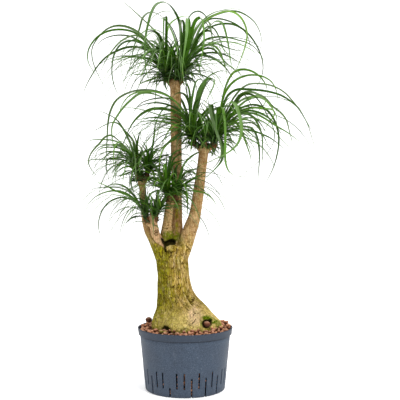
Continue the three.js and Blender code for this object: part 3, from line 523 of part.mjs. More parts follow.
// strap leaf: a shallow keel under a flat top, turned about its midline by the twist
function makeLeaf([width, twist, bearing, points]) {
  const P = points.map((p) => new THREE.Vector3(p[0], p[1], p[2])), n = P.length;
  let across = new THREE.Vector3(-Math.sin(bearing), Math.cos(bearing), 0);
  const rings = [];
  for (let i = 0; i < n; i++) {
    const t = P[Math.min(n - 1, i + 1)].clone().sub(P[Math.max(0, i - 1)]).normalize();
    across = across.clone().addScaledVector(t, -across.dot(t)).normalize();
    const s = i / (n - 1);
    const w = across.clone().applyAxisAngle(t, twist * Math.min(1, s / 0.45));
    const normal = t.clone().cross(w);
    const half = leafWidth(s, width) / 2, thick = LEAF_T * (1 - 0.55 * s);
    rings.push([
      P[i].clone().addScaledVector(w, -half).addScaledVector(normal, thick * 0.35),
      P[i].clone().addScaledVector(w, half).addScaledVector(normal, thick * 0.35),
      P[i].clone().addScaledVector(normal, -thick * 0.65),
    ]);
  }
  return solid(outward(skin(rings)));
}

// ring sector of clasping leaf feet round the bud
function makeFoot(tuft, lo, hi) {
  const { at, bud, ring } = TUFTS[tuft];
  const n = Math.max(2, Math.ceil((hi - lo) / THREE.MathUtils.degToRad(22)));
  const arc = (r) => {
    const trim = Math.asin(Math.min(0.9, GAP / 2 / r)), out = [];
    for (let i = 0; i <= n; i++) {
      const w = lo + trim + ((hi - lo - 2 * trim) * i) / n;
      out.push(new THREE.Vector2(r * Math.cos(w), r * Math.sin(w)));
    }
    return out;
  };
  const shape = new THREE.Shape([...arc(ring), ...arc(bud + 0.55).reverse()]);
  const g = new THREE.ExtrudeGeometry(shape, { depth: 2 * TUFT_HALF, bevelEnabled: false, curveSegments: 1 });
  g.translate(at[0], at[1], at[2] - TUFT_HALF);
  return solid(g);
}

function makeFan([, tuft, lo, hi, leaves]) {
  let fan = makeFoot(tuft, lo, hi);
  for (const leaf of leaves) fan = fan.add(makeLeaf(leaf));
  // pockets closed in between crowded leaf feet are filled
  return fan.decompose().reduce((a, b) => (b.volume() > a.volume() ? b : a));
}

// ---- scene graph ------------------------------------------------------------
const material = (color, roughness) => new THREE.MeshStandardMaterial({ color, roughness, metalness: 0 });
const potPlastic = material(0x4f5c6d, 0.55);
const clay = material(0x8d5f42, 0.95);
const bark = material(0xb39566, 0.9);

const plant = new THREE.Group();
function place(name, s, mat) {
  const mesh = new THREE.Mesh(geometryOf(s), mat);
  mesh.name = name;
  plant.add(mesh);
}
place('pot', makePot(), potPlastic);
place('clay_granulate', makeBed(), clay);
place('caudex_and_stems', makeWood(), bark);
FANS.forEach((fan, i) => place(fan[0], makeFan(fan), material([0x3f6b1e, 0x35601f, 0x4a7a24][i % 3], 0.5)));

export default plant;
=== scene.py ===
import math
import random

import bpy
import numpy as np
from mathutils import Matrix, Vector


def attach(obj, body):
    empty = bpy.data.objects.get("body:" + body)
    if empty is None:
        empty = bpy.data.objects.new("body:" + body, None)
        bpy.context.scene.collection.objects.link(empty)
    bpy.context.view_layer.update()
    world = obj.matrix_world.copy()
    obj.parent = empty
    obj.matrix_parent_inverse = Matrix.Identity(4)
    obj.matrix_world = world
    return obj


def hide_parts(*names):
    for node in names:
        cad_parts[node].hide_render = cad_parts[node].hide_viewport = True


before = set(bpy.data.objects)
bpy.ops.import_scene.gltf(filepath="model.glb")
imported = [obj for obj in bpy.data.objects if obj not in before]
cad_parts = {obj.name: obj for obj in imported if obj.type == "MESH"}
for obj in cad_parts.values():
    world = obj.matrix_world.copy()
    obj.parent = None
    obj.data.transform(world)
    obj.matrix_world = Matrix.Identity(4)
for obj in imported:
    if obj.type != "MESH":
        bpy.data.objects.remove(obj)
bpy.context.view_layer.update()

MM = 0.001
random.seed(7)
rng = np.random.default_rng(7)

# ---------------------------------------------------------------- leaf table
# node: [[width, twist, bearing, [midline points, mm, foot to tip]], ...]
LEAVES = {
    "leaves_tall_stem_left_1": [
        (8.4, 0.459, 1.289, [(-54.2, 40.5, 928.0), (-56.3, 38.2, 949.4), (-57.9, 39.8, 970.8), (-59.0, 44.6, 991.8), (-59.3, 52.0, 1012.1), (-58.7, 61.4, 1031.6), (-57.8, 71.2, 1050.8), (-56.1, 81.3, 1069.8), (-51.7, 92.4, 1087.7), (-42.1, 104.8, 1102.5), (-30.0, 118.0, 1114.5), (-16.3, 131.4, 1124.3), (-0.4, 144.8, 1130.1), (16.9, 157.5, 1130.2), (30.8, 166.0, 1116.9)]),
        (9.1, -0.269, 1.454, [(-56.3, 40.9, 928.0), (-56.6, 40.6, 944.3), (-56.6, 46.5, 959.6), (-56.2, 55.9, 973.1), (-55.3, 67.3, 985.0), (-53.9, 79.7, 995.6), (-52.2, 92.4, 1006.0), (-50.2, 105.1, 1016.3), (-47.8, 117.7, 1026.6), (-45.0, 130.1, 1037.1), (-41.4, 142.3, 1047.5), (-36.5, 154.3, 1057.7), (-29.7, 166.2, 1066.8), (-19.9, 178.1, 1072.0), (-7.8, 188.0, 1067.9)]),
        (10.0, -0.875, 0.925, [(-50.0, 38.4, 928.0), (-50.4, 37.8, 948.1), (-48.0, 40.8, 967.7), (-42.5, 47.5, 985.8), (-34.4, 57.3, 1001.3), (-24.2, 69.5, 1013.5), (-12.6, 83.0, 1022.8), (-0.0, 97.3, 1029.0), (13.2, 112.1, 1031.9), (26.8, 126.9, 1031.5), (40.2, 141.3, 1027.7), (53.3, 154.9, 1020.7), (65.4, 167.3, 1010.7), (76.4, 178.2, 998.0), (85.9, 187.5, 982.9)]),
        (8.9, 0.809, 0.859, [(-49.3, 37.8, 928.0), (-49.2, 38.0, 948.6), (-46.0, 41.9, 968.6), (-40.1, 49.4, 986.9), (-31.8, 59.9, 1002.6), (-21.8, 72.7, 1015.2), (-10.9, 87.1, 1025.3), (0.6, 102.6, 1032.6), (12.5, 118.9, 1037.1), (24.4, 135.6, 1038.7), (36.1, 152.6, 1037.4), (47.5, 169.3, 1033.3), (58.2, 185.5, 1026.5), (68.2, 201.0, 1017.1), (77.2, 215.3, 1005.3)]),
        (10.0, 0.425, 1.235, [(-53.5, 40.3, 928.0), (-54.2, 38.5, 943.6), (-53.4, 40.4, 959.1), (-51.1, 46.2, 973.4), (-47.3, 55.6, 985.3), (-42.3, 67.5, 994.1), (-36.7, 80.7, 1000.2), (-30.5, 94.7, 1003.4), (-24.0, 109.0, 1003.5), (-17.4, 122.9, 1000.6), (-11.1, 135.9, 994.7), (-5.2, 147.6, 986.0), (-0.2, 157.4, 974.9), (3.9, 165.1, 961.9), (6.7, 170.2, 947.4)]),
        (8.8, 0.287, 1.431, [(-56.0, 40.9, 928.0), (-55.5, 44.4, 947.3), (-54.4, 52.5, 965.1), (-52.6, 64.6, 980.4), (-50.4, 79.7, 992.7), (-47.9, 96.8, 1002.0), (-45.2, 115.0, 1008.7), (-42.4, 134.0, 1012.9), (-39.4, 153.3, 1014.5), (-36.5, 172.7, 1013.5), (-33.6, 191.8, 1010.1), (-30.7, 210.2, 1004.1), (-28.0, 227.8, 995.9), (-25.4, 244.3, 985.5), (-23.0, 259.3, 973.2)]),
    ],
    "leaves_tall_stem_left_2": [
        (9.8, -1.066, 2.620, [(-69.1, 34.5, 928.0), (-73.9, 34.7, 962.4), (-87.2, 38.4, 994.1), (-106.6, 45.0, 1022.0), (-129.6, 53.4, 1046.6), (-155.8, 63.3, 1067.1), (-185.5, 74.3, 1080.8), (-217.8, 85.8, 1084.3), (-248.6, 96.7, 1073.5), (-272.9, 106.0, 1050.7), (-290.9, 112.5, 1021.8), (-289.9, 115.7, 987.9), (-279.5, 117.0, 954.9), (-264.1, 117.7, 923.9), (-247.0, 118.0, 893.7)]),
        (8.4, 0.846, 2.625, [(-69.1, 34.4, 928.0), (-77.1, 35.6, 949.8), (-86.2, 40.1, 970.7), (-97.9, 46.6, 989.6), (-111.3, 55.0, 1006.7), (-126.2, 64.6, 1021.6), (-142.0, 74.8, 1035.3), (-158.6, 85.1, 1047.8), (-177.1, 95.8, 1056.6), (-197.1, 106.7, 1061.3), (-217.7, 117.3, 1063.1), (-238.5, 127.4, 1061.7), (-258.8, 136.6, 1055.7), (-276.5, 144.0, 1042.8), (-287.1, 148.0, 1022.7)]),
        (8.4, 0.738, 2.537, [(-68.5, 35.4, 928.0), (-82.3, 39.9, 954.0), (-96.1, 49.1, 978.8), (-111.3, 60.6, 1001.6), (-128.9, 74.5, 1021.2), (-149.3, 90.3, 1036.0), (-172.3, 107.3, 1044.0), (-196.0, 124.8, 1041.7), (-216.4, 141.2, 1028.0), (-229.7, 154.7, 1005.1), (-235.5, 164.2, 977.6), (-236.1, 170.5, 948.5), (-230.5, 174.7, 919.6), (-219.1, 177.2, 892.2), (-202.2, 178.0, 867.9)]),
        (8.4, -1.036, 2.660, [(-69.4, 34.0, 928.0), (-77.4, 35.0, 931.1), (-85.2, 38.2, 933.4), (-92.8, 42.3, 935.1), (-100.2, 46.9, 936.0), (-107.4, 51.9, 936.2), (-114.7, 56.8, 935.9), (-121.9, 61.8, 935.6), (-129.2, 66.6, 935.1), (-136.6, 71.3, 934.6), (-144.2, 75.8, 934.5), (-151.8, 80.0, 934.9), (-159.4, 83.8, 937.0), (-165.7, 86.6, 942.3), (-168.6, 88.0, 950.4)]),
        (7.7, 0.468, 1.976, [(-63.0, 39.9, 928.0), (-63.9, 37.3, 924.3), (-65.4, 37.8, 920.1), (-66.9, 41.4, 917.5), (-68.2, 45.8, 916.3), (-69.3, 50.3, 915.6), (-70.5, 54.8, 914.9), (-71.7, 59.3, 914.3), (-73.0, 63.7, 913.7), (-74.5, 68.2, 913.1), (-76.0, 72.6, 912.5), (-77.8, 76.9, 911.9), (-79.8, 81.1, 911.2), (-82.2, 85.0, 910.2), (-85.2, 88.0, 908.4)]),
        (10.5, 0.551, 2.093, [(-64.3, 39.3, 928.0), (-66.2, 37.7, 940.9), (-68.2, 38.6, 953.8), (-70.5, 41.6, 966.3), (-73.1, 46.6, 978.1), (-76.0, 53.5, 988.8), (-79.3, 61.4, 998.7), (-82.8, 69.5, 1008.4), (-86.6, 77.5, 1018.0), (-90.6, 85.2, 1027.8), (-94.7, 92.6, 1037.8), (-99.0, 99.5, 1048.1), (-103.8, 105.8, 1058.5), (-110.3, 112.2, 1067.9), (-121.1, 118.0, 1069.2)]),
        (10.5, -0.536, 2.087, [(-64.2, 39.3, 928.0), (-64.2, 37.0, 939.3), (-64.3, 36.0, 950.9), (-64.7, 36.3, 962.4), (-65.6, 38.2, 973.8), (-67.1, 41.9, 984.6), (-69.3, 47.0, 994.7), (-71.8, 52.4, 1004.6), (-74.5, 57.8, 1014.4), (-77.6, 63.1, 1024.3), (-81.0, 68.2, 1034.1), (-85.0, 73.1, 1043.7), (-90.0, 78.0, 1052.9), (-96.6, 83.2, 1060.8), (-106.7, 88.0, 1060.7)]),
        (10.1, 0.425, 1.858, [(-61.5, 40.5, 928.0), (-62.1, 42.4, 950.3), (-64.1, 49.4, 971.4), (-67.5, 61.1, 990.2), (-72.0, 76.7, 1005.5), (-77.4, 95.2, 1017.0), (-83.1, 115.3, 1025.0), (-89.1, 136.4, 1029.4), (-95.2, 157.9, 1030.0), (-101.2, 179.2, 1026.8), (-107.0, 199.8, 1020.0), (-112.3, 218.9, 1009.8), (-117.1, 236.2, 996.4), (-121.2, 251.1, 980.2), (-124.5, 263.2, 961.7)]),
        (9.4, -0.679, 2.162, [(-65.1, 38.8, 928.0), (-64.7, 38.3, 951.8), (-67.3, 42.3, 975.2), (-72.7, 50.9, 996.7), (-80.6, 63.7, 1015.1), (-90.5, 79.9, 1029.5), (-101.4, 98.3, 1040.0), (-113.0, 118.1, 1046.2), (-124.8, 138.7, 1048.0), (-136.3, 159.4, 1045.2), (-147.2, 179.2, 1037.8), (-156.9, 197.6, 1026.2), (-165.3, 213.7, 1010.8), (-172.0, 226.9, 992.1), (-176.9, 236.6, 970.9)]),
        (9.6, 0.745, 2.503, [(-68.3, 35.7, 928.0), (-67.1, 34.8, 943.9), (-68.6, 35.8, 959.7), (-73.2, 38.8, 974.6), (-80.7, 43.6, 987.8), (-90.5, 49.8, 998.6), (-101.9, 56.8, 1007.3), (-114.5, 64.2, 1013.6), (-128.0, 71.8, 1017.4), (-141.9, 79.4, 1018.6), (-155.9, 86.7, 1017.0), (-169.6, 93.6, 1012.7), (-182.5, 99.9, 1005.9), (-194.3, 105.3, 996.6), (-204.4, 109.8, 985.2)]),
    ],
    "leaves_tall_stem_left_3": [
        (9.1, 0.933, 3.423, [(-70.3, 24.4, 928.0), (-78.2, 23.2, 958.3), (-92.9, 19.5, 985.7), (-110.8, 14.3, 1011.0), (-131.5, 7.7, 1033.5), (-157.9, -0.5, 1047.5), (-187.7, -9.6, 1050.7), (-217.2, -18.7, 1045.8), (-244.2, -27.0, 1032.6), (-265.5, -33.9, 1010.7), (-279.1, -38.5, 983.1), (-279.3, -40.6, 952.1), (-265.0, -41.4, 924.3), (-248.2, -41.8, 897.9), (-236.1, -42.0, 869.1)]),
        (8.4, -0.963, 3.717, [(-68.7, 20.9, 928.0), (-77.3, 19.6, 949.0), (-86.6, 15.0, 969.2), (-97.5, 8.1, 987.9), (-109.8, -0.9, 1004.8), (-123.5, -11.8, 1019.2), (-139.4, -24.0, 1029.7), (-157.1, -36.1, 1025.3), (-173.5, -47.7, 1014.6), (-188.2, -58.3, 1001.0), (-200.5, -67.7, 984.4), (-211.7, -75.8, 966.4), (-221.8, -82.9, 947.3), (-230.8, -88.5, 927.2), (-239.1, -92.0, 906.4)]),
        (9.8, 0.902, 3.299, [(-70.7, 26.0, 928.0), (-80.3, 25.4, 951.2), (-91.6, 23.7, 973.6), (-107.8, 21.1, 992.3), (-130.3, 17.5, 1002.3), (-154.9, 13.3, 1005.1), (-179.0, 9.2, 1001.1), (-201.5, 5.1, 990.7), (-223.4, 1.3, 979.0), (-242.2, -2.0, 962.8), (-257.8, -4.9, 943.4), (-270.9, -7.3, 922.0), (-283.0, -9.4, 900.2), (-293.4, -11.0, 877.3), (-300.1, -12.0, 853.2)]),
        (9.8, 0.768, 3.886, [(-67.4, 19.2, 928.0), (-77.5, 15.8, 949.0), (-87.9, 7.0, 968.2), (-99.4, -5.2, 984.9), (-111.8, -20.0, 998.4), (-125.6, -36.9, 1007.3), (-140.9, -54.4, 1010.2), (-155.4, -70.5, 1001.8), (-165.1, -84.6, 985.6), (-172.3, -96.7, 966.7), (-175.7, -106.4, 945.5), (-175.7, -113.3, 923.0), (-172.7, -118.0, 900.1), (-166.9, -121.0, 877.4), (-164.8, -122.0, 854.0)]),
        (8.4, 0.847, -2.445, [(-67.8, 19.7, 928.0), (-72.5, 19.8, 937.4), (-77.6, 17.3, 946.3), (-83.2, 12.8, 953.9), (-89.6, 6.6, 959.5), (-96.2, -0.8, 962.9), (-103.2, -8.5, 964.7), (-110.3, -16.2, 964.9), (-117.6, -23.8, 964.1), (-124.8, -31.1, 961.9), (-131.6, -37.8, 957.3), (-137.0, -43.5, 950.4), (-141.7, -48.2, 942.3), (-144.0, -51.0, 932.5), (-144.7, -52.0, 922.0)]),
        (8.4, 0.934, 2.812, [(-70.1, 32.2, 928.0), (-77.4, 32.7, 940.6), (-85.2, 34.8, 952.8), (-94.4, 37.8, 963.6), (-105.6, 41.8, 971.9), (-118.2, 46.7, 977.4), (-131.4, 51.9, 980.7), (-144.5, 57.0, 984.2), (-157.8, 62.1, 987.3), (-171.4, 67.2, 988.3), (-185.0, 72.0, 986.6), (-198.5, 76.6, 983.3), (-212.0, 80.9, 980.1), (-225.7, 85.0, 977.5), (-240.0, 88.0, 977.0)]),
        (8.4, -0.636, -2.377, [(-67.2, 19.0, 928.0), (-71.7, 19.8, 925.4), (-76.0, 17.4, 923.2), (-79.7, 13.6, 921.8), (-82.9, 9.2, 921.2), (-85.8, 4.7, 920.8), (-88.7, 0.1, 920.5), (-91.6, -4.5, 920.0), (-94.6, -9.1, 919.6), (-97.6, -13.6, 919.3), (-100.9, -18.0, 918.8), (-104.3, -22.2, 918.1), (-107.8, -26.0, 916.8), (-111.5, -29.5, 914.8), (-115.8, -32.0, 912.6)]),
        (7.7, 1.085, 2.824, [(-70.2, 32.1, 928.0), (-75.1, 32.2, 924.0), (-80.4, 33.7, 920.9), (-86.0, 35.6, 918.4), (-91.6, 37.9, 916.4), (-97.3, 40.2, 914.7), (-103.1, 42.5, 913.3), (-109.0, 44.8, 912.2), (-114.8, 47.1, 910.8), (-120.5, 49.3, 909.1), (-126.3, 51.4, 907.2), (-132.0, 53.3, 905.1), (-137.6, 55.2, 902.7), (-143.0, 56.9, 899.7), (-148.4, 58.0, 896.6)]),
        (7.7, 0.812, -2.372, [(-67.2, 19.0, 928.0), (-68.9, 20.8, 924.4), (-70.9, 20.9, 920.3), (-72.9, 19.5, 916.6), (-74.7, 17.0, 913.3), (-76.3, 13.9, 910.5), (-77.9, 10.6, 907.7), (-79.4, 7.4, 905.0), (-81.0, 4.2, 902.3), (-82.7, 1.1, 899.6), (-84.6, -2.0, 896.9), (-86.6, -5.0, 894.1), (-88.8, -7.8, 891.4), (-91.2, -10.2, 888.5), (-93.9, -12.0, 885.4)]),
        (10.8, -0.822, 2.958, [(-70.6, 30.4, 928.0), (-71.6, 30.6, 943.1), (-76.7, 31.6, 957.3), (-85.7, 33.4, 969.2), (-97.6, 35.8, 978.2), (-111.2, 38.5, 984.1), (-125.7, 41.5, 987.5), (-140.5, 44.6, 988.2), (-155.1, 47.8, 986.2), (-169.2, 50.9, 981.7), (-182.4, 53.8, 974.8), (-194.1, 56.4, 965.7), (-204.2, 58.8, 954.6), (-212.3, 60.6, 942.0), (-218.2, 62.0, 928.1)]),
    ],
    "leaves_tall_stem_left_4": [
        (9.8, 0.175, 4.769, [(-57.1, 15.0, 928.0), (-57.2, 10.9, 952.5), (-56.1, -3.4, 973.2), (-54.8, -21.8, 990.3), (-53.6, -42.2, 1005.1), (-52.4, -63.7, 1018.4), (-51.3, -85.4, 1031.1), (-50.1, -107.2, 1043.7), (-49.3, -128.8, 1056.8), (-54.3, -147.7, 1051.3), (-55.1, -163.2, 1031.4), (-54.8, -177.4, 1010.6), (-54.8, -189.6, 988.5), (-55.6, -198.5, 965.0), (-57.5, -202.0, 940.1)]),
        (9.1, 0.562, 4.283, [(-63.2, 16.2, 928.0), (-63.0, 18.2, 946.9), (-62.8, 17.5, 965.9), (-63.2, 13.6, 984.4), (-64.9, 6.4, 1001.9), (-67.8, -4.2, 1017.3), (-73.0, -17.2, 1030.0), (-82.7, -31.8, 1037.2), (-94.3, -46.6, 1038.0), (-106.1, -60.1, 1032.2), (-110.9, -70.4, 1017.3), (-110.0, -76.9, 999.6), (-110.3, -81.7, 981.3), (-112.5, -85.5, 962.8), (-113.0, -87.0, 943.9)]),
        (8.4, -0.156, 4.696, [(-58.0, 15.0, 928.0), (-59.4, 17.9, 922.1), (-60.0, 16.9, 915.4), (-60.0, 13.2, 909.7), (-59.7, 8.4, 904.8), (-59.3, 3.0, 900.6), (-59.1, -2.4, 896.4), (-58.8, -7.8, 892.2), (-58.2, -13.2, 888.0), (-57.2, -18.6, 883.9), (-56.0, -23.9, 879.7), (-54.4, -29.1, 875.6), (-52.4, -34.0, 871.2), (-49.9, -38.6, 866.8), (-46.7, -42.0, 861.9)]),
        (9.1, -0.211, -1.439, [(-56.1, 15.1, 928.0), (-56.8, 17.0, 921.3), (-56.6, 13.1, 915.1), (-55.9, 7.3, 910.5), (-54.9, 0.8, 906.9), (-53.8, -5.8, 903.9), (-52.8, -12.5, 900.9), (-51.7, -19.2, 897.9), (-50.6, -25.9, 894.9), (-49.4, -32.6, 891.8), (-48.2, -39.2, 888.6), (-47.0, -45.7, 885.3), (-45.6, -52.0, 881.6), (-44.1, -57.8, 877.3), (-42.1, -62.0, 871.7)]),
        (8.4, -0.565, -2.015, [(-63.4, 16.3, 928.0), (-67.4, 17.0, 937.4), (-71.2, 13.0, 946.0), (-74.6, 5.6, 952.4), (-77.5, -3.4, 956.6), (-80.2, -13.0, 959.1), (-83.1, -22.8, 960.9), (-86.6, -32.5, 961.6), (-90.5, -41.8, 959.7), (-93.9, -50.7, 955.6), (-96.6, -59.0, 950.2), (-98.8, -66.9, 943.8), (-100.7, -73.9, 936.5), (-102.1, -79.4, 927.9), (-102.9, -82.0, 918.0)]),
        (9.8, 0.300, -1.808, [(-60.9, 15.4, 928.0), (-61.4, 17.2, 941.2), (-61.8, 13.5, 954.0), (-62.8, 5.2, 964.3), (-64.6, -5.9, 971.6), (-67.0, -17.9, 977.0), (-69.9, -30.2, 981.6), (-73.6, -42.5, 985.1), (-78.2, -54.8, 987.6), (-83.4, -67.1, 989.2), (-89.5, -78.8, 987.6), (-95.1, -89.5, 981.8), (-100.5, -99.3, 974.4), (-105.1, -107.3, 964.8), (-108.8, -112.0, 952.9)]),
        (10.5, -0.639, 5.259, [(-51.1, 16.9, 928.0), (-51.5, 17.9, 938.3), (-49.8, 14.0, 947.6), (-44.0, 6.2, 950.6), (-38.6, -1.9, 947.3), (-34.0, -9.8, 942.2), (-29.9, -17.5, 936.5), (-26.1, -25.0, 930.4), (-22.9, -32.4, 923.8), (-20.0, -39.4, 916.7), (-17.5, -46.0, 909.0), (-15.6, -51.9, 900.7), (-14.0, -56.9, 891.6), (-12.8, -60.5, 882.0), (-12.2, -62.0, 871.7)]),
        (9.8, -0.290, -1.384, [(-55.4, 15.2, 928.0), (-53.8, 10.5, 943.2), (-51.5, -3.0, 952.7), (-48.8, -18.3, 958.9), (-46.0, -34.2, 963.3), (-43.1, -50.4, 966.8), (-40.1, -66.5, 969.9), (-36.9, -82.7, 972.9), (-33.4, -98.9, 975.6), (-29.4, -115.0, 977.9), (-23.6, -130.6, 978.3), (-19.7, -144.5, 970.1), (-18.0, -156.9, 959.1), (-17.6, -167.2, 945.9), (-18.6, -172.0, 930.0)]),
    ],
    "leaves_tall_stem_right_1": [
        (9.1, -0.635, -2.356, [(-22.4, 20.8, 925.4), (-20.2, 21.8, 957.9), (-20.4, 18.8, 990.4), (-25.0, 11.4, 1021.8), (-35.9, -0.8, 1049.9), (-52.7, -17.3, 1072.3), (-74.4, -36.4, 1087.1), (-100.0, -55.9, 1089.0), (-119.0, -71.8, 1069.4), (-126.1, -83.5, 1039.8), (-133.6, -93.3, 1009.6), (-141.2, -102.2, 979.2), (-147.2, -109.3, 947.9), (-152.5, -115.2, 916.2), (-163.7, -120.0, 886.2)]),
        (13.1, -0.450, -2.071, [(-19.4, 18.6, 925.4), (-15.5, 19.7, 963.5), (-13.2, 15.6, 1001.5), (-13.6, 6.2, 1038.7), (-18.0, -9.5, 1073.2), (-32.3, -32.2, 1100.2), (-53.5, -59.4, 1115.6), (-78.5, -84.6, 1104.6), (-91.9, -105.6, 1075.6), (-99.3, -122.7, 1042.2), (-105.1, -136.5, 1006.9), (-106.9, -147.1, 970.1), (-106.0, -154.4, 932.6), (-101.1, -158.6, 894.9), (-88.3, -160.0, 859.0)]),
        (8.4, -0.659, -2.308, [(-21.9, 20.4, 925.4), (-21.6, 21.9, 945.2), (-21.8, 20.4, 964.9), (-23.9, 15.9, 984.1), (-28.8, 8.3, 1001.7), (-36.6, -2.1, 1016.5), (-48.6, -14.1, 1026.8), (-61.4, -26.8, 1034.9), (-75.6, -39.7, 1039.8), (-90.7, -52.5, 1041.3), (-105.8, -64.6, 1037.5), (-118.9, -75.0, 1027.1), (-128.6, -83.1, 1011.9), (-134.8, -88.3, 993.9), (-135.3, -90.0, 974.3)]),
        (10.5, -0.244, -1.464, [(-11.8, 17.1, 925.4), (-8.9, 15.2, 948.6), (-6.3, 5.1, 969.9), (-4.5, -9.2, 988.7), (-3.3, -25.7, 1005.7), (-2.6, -43.5, 1021.4), (-2.3, -61.6, 1036.7), (-2.6, -79.6, 1052.2), (-9.0, -96.4, 1058.2), (-10.9, -109.5, 1038.6), (-11.3, -121.8, 1018.3), (-11.0, -132.7, 997.2), (-10.2, -141.6, 975.3), (-8.9, -147.8, 952.4), (-7.0, -150.0, 928.9)]),
        (13.1, -0.281, -1.371, [(-10.6, 17.3, 925.4), (-4.4, 11.9, 952.0), (1.0, -3.3, 975.0), (5.4, -22.8, 994.8), (8.9, -44.6, 1012.4), (11.3, -67.4, 1028.8), (12.6, -90.2, 1045.3), (9.3, -112.7, 1058.6), (7.3, -130.3, 1037.7), (7.8, -146.9, 1014.9), (6.2, -162.5, 991.6), (3.5, -176.7, 967.4), (0.4, -188.6, 942.0), (-2.1, -196.9, 915.2), (-3.1, -200.0, 887.3)]),
        (13.1, -0.515, -1.257, [(-9.2, 17.6, 925.4), (-2.7, 11.9, 955.4), (3.8, -4.6, 981.3), (10.0, -26.1, 1003.4), (16.1, -50.4, 1022.5), (22.2, -76.5, 1039.2), (30.1, -104.0, 1052.3), (44.8, -130.6, 1054.8), (50.9, -152.5, 1033.2), (53.3, -172.2, 1008.7), (53.9, -189.7, 982.5), (51.7, -205.1, 955.1), (47.0, -217.9, 926.7), (42.0, -226.7, 896.9), (35.6, -230.0, 866.3)]),
        (9.8, -0.360, -1.928, [(-17.7, 17.8, 925.4), (-20.7, 18.1, 936.9), (-23.8, 12.8, 947.2), (-26.8, 4.7, 955.6), (-29.7, -4.8, 962.3), (-32.5, -15.1, 967.9), (-35.4, -25.4, 973.3), (-38.4, -35.8, 978.5), (-41.5, -46.2, 983.8), (-44.9, -56.4, 989.2), (-48.8, -66.4, 994.7), (-53.3, -76.0, 1000.4), (-58.3, -85.0, 1006.7), (-64.4, -93.4, 1012.7), (-74.1, -100.0, 1014.2)]),
        (9.8, -0.592, -2.044, [(-19.1, 18.4, 925.4), (-20.9, 19.9, 934.6), (-23.0, 16.6, 943.3), (-25.6, 10.4, 950.1), (-28.6, 2.7, 954.8), (-32.0, -5.5, 958.5), (-35.7, -13.8, 961.6), (-39.7, -22.1, 964.2), (-44.2, -30.4, 966.1), (-49.2, -38.5, 966.8), (-54.6, -46.4, 966.2), (-60.3, -53.8, 963.9), (-65.9, -60.6, 960.1), (-71.1, -66.3, 954.6), (-75.9, -70.0, 947.2)]),
    ],
    "leaves_tall_stem_right_2": [
        (9.8, 0.928, -0.651, [(-2.8, 22.1, 925.4), (1.7, 22.0, 944.5), (7.0, 18.3, 962.9), (15.8, 11.3, 978.9), (27.5, 1.5, 991.1), (40.7, -10.1, 999.8), (55.7, -22.1, 1002.6), (71.0, -34.2, 1000.9), (85.5, -45.6, 994.4), (96.7, -55.4, 981.8), (104.2, -63.4, 965.6), (110.0, -69.9, 948.1), (115.6, -75.1, 930.0), (118.6, -78.6, 911.0), (120.5, -80.0, 891.5)]),
        (9.8, -0.566, -0.362, [(-1.0, 25.4, 925.4), (4.5, 25.4, 949.8), (11.5, 23.4, 973.7), (26.2, 19.4, 993.3), (43.4, 13.7, 1010.5), (62.2, 6.9, 1025.2), (85.3, -0.8, 1029.8), (109.0, -8.8, 1029.4), (132.1, -16.6, 1024.2), (154.6, -24.1, 1016.4), (177.2, -31.4, 1008.5), (197.5, -37.8, 995.4), (213.1, -42.9, 976.6), (225.6, -47.1, 955.4), (240.2, -50.0, 935.3)]),
        (9.8, 0.953, -0.481, [(-1.7, 24.0, 925.4), (6.7, 22.6, 959.5), (16.2, 18.2, 993.1), (27.6, 11.6, 1025.8), (43.1, 2.2, 1055.8), (65.4, -10.6, 1079.1), (94.0, -25.9, 1092.6), (125.0, -41.9, 1096.1), (152.8, -56.2, 1081.6), (170.5, -66.9, 1053.4), (177.1, -73.3, 1019.8), (171.0, -76.5, 985.4), (159.3, -78.4, 952.3), (144.7, -79.6, 920.3), (122.7, -80.0, 892.9)]),
        (9.8, 0.810, -0.737, [(-3.6, 21.3, 925.4), (6.3, 18.6, 950.7), (16.8, 10.9, 974.8), (28.6, 0.0, 996.9), (41.5, -13.4, 1017.0), (55.1, -28.8, 1035.1), (70.3, -45.5, 1050.5), (88.0, -63.2, 1061.5), (105.8, -78.6, 1053.5), (113.9, -90.7, 1030.3), (119.2, -100.1, 1005.2), (123.4, -107.8, 979.2), (126.8, -113.8, 952.7), (129.9, -118.1, 925.9), (131.7, -120.0, 898.6)]),
        (9.1, 0.769, -0.593, [(-2.4, 22.7, 925.4), (2.3, 22.9, 945.5), (7.2, 20.9, 965.4), (12.7, 17.6, 985.1), (18.8, 12.9, 1004.2), (25.8, 6.7, 1022.6), (33.7, -0.3, 1040.3), (42.8, -8.1, 1057.1), (55.3, -17.1, 1070.7), (70.2, -25.2, 1068.7), (74.6, -30.6, 1049.4), (77.4, -34.2, 1029.3), (81.3, -37.1, 1009.2), (81.5, -38.6, 988.8), (75.3, -39.0, 969.1)]),
        (10.5, -0.776, -0.835, [(-4.5, 20.4, 925.4), (3.0, 18.2, 948.8), (10.8, 10.3, 970.8), (19.7, -1.4, 990.7), (29.2, -15.9, 1008.3), (39.7, -32.5, 1023.3), (52.3, -50.6, 1034.3), (68.6, -68.2, 1033.4), (81.3, -83.9, 1019.4), (90.4, -97.8, 1001.1), (97.1, -110.0, 980.7), (103.2, -120.7, 959.2), (108.9, -129.8, 937.0), (114.6, -136.7, 913.9), (117.6, -140.0, 889.6)]),
        (9.1, 0.571, -0.864, [(-4.7, 20.1, 925.4), (0.7, 20.2, 932.2), (5.9, 15.8, 937.8), (10.7, 9.4, 941.7), (15.4, 2.2, 944.1), (20.0, -5.2, 945.6), (24.8, -12.7, 946.2), (29.7, -20.1, 946.0), (34.7, -27.4, 944.9), (39.7, -34.4, 942.8), (44.6, -41.1, 939.4), (49.0, -47.2, 934.7), (53.2, -52.7, 929.1), (56.8, -57.2, 922.4), (60.6, -60.0, 914.9)]),
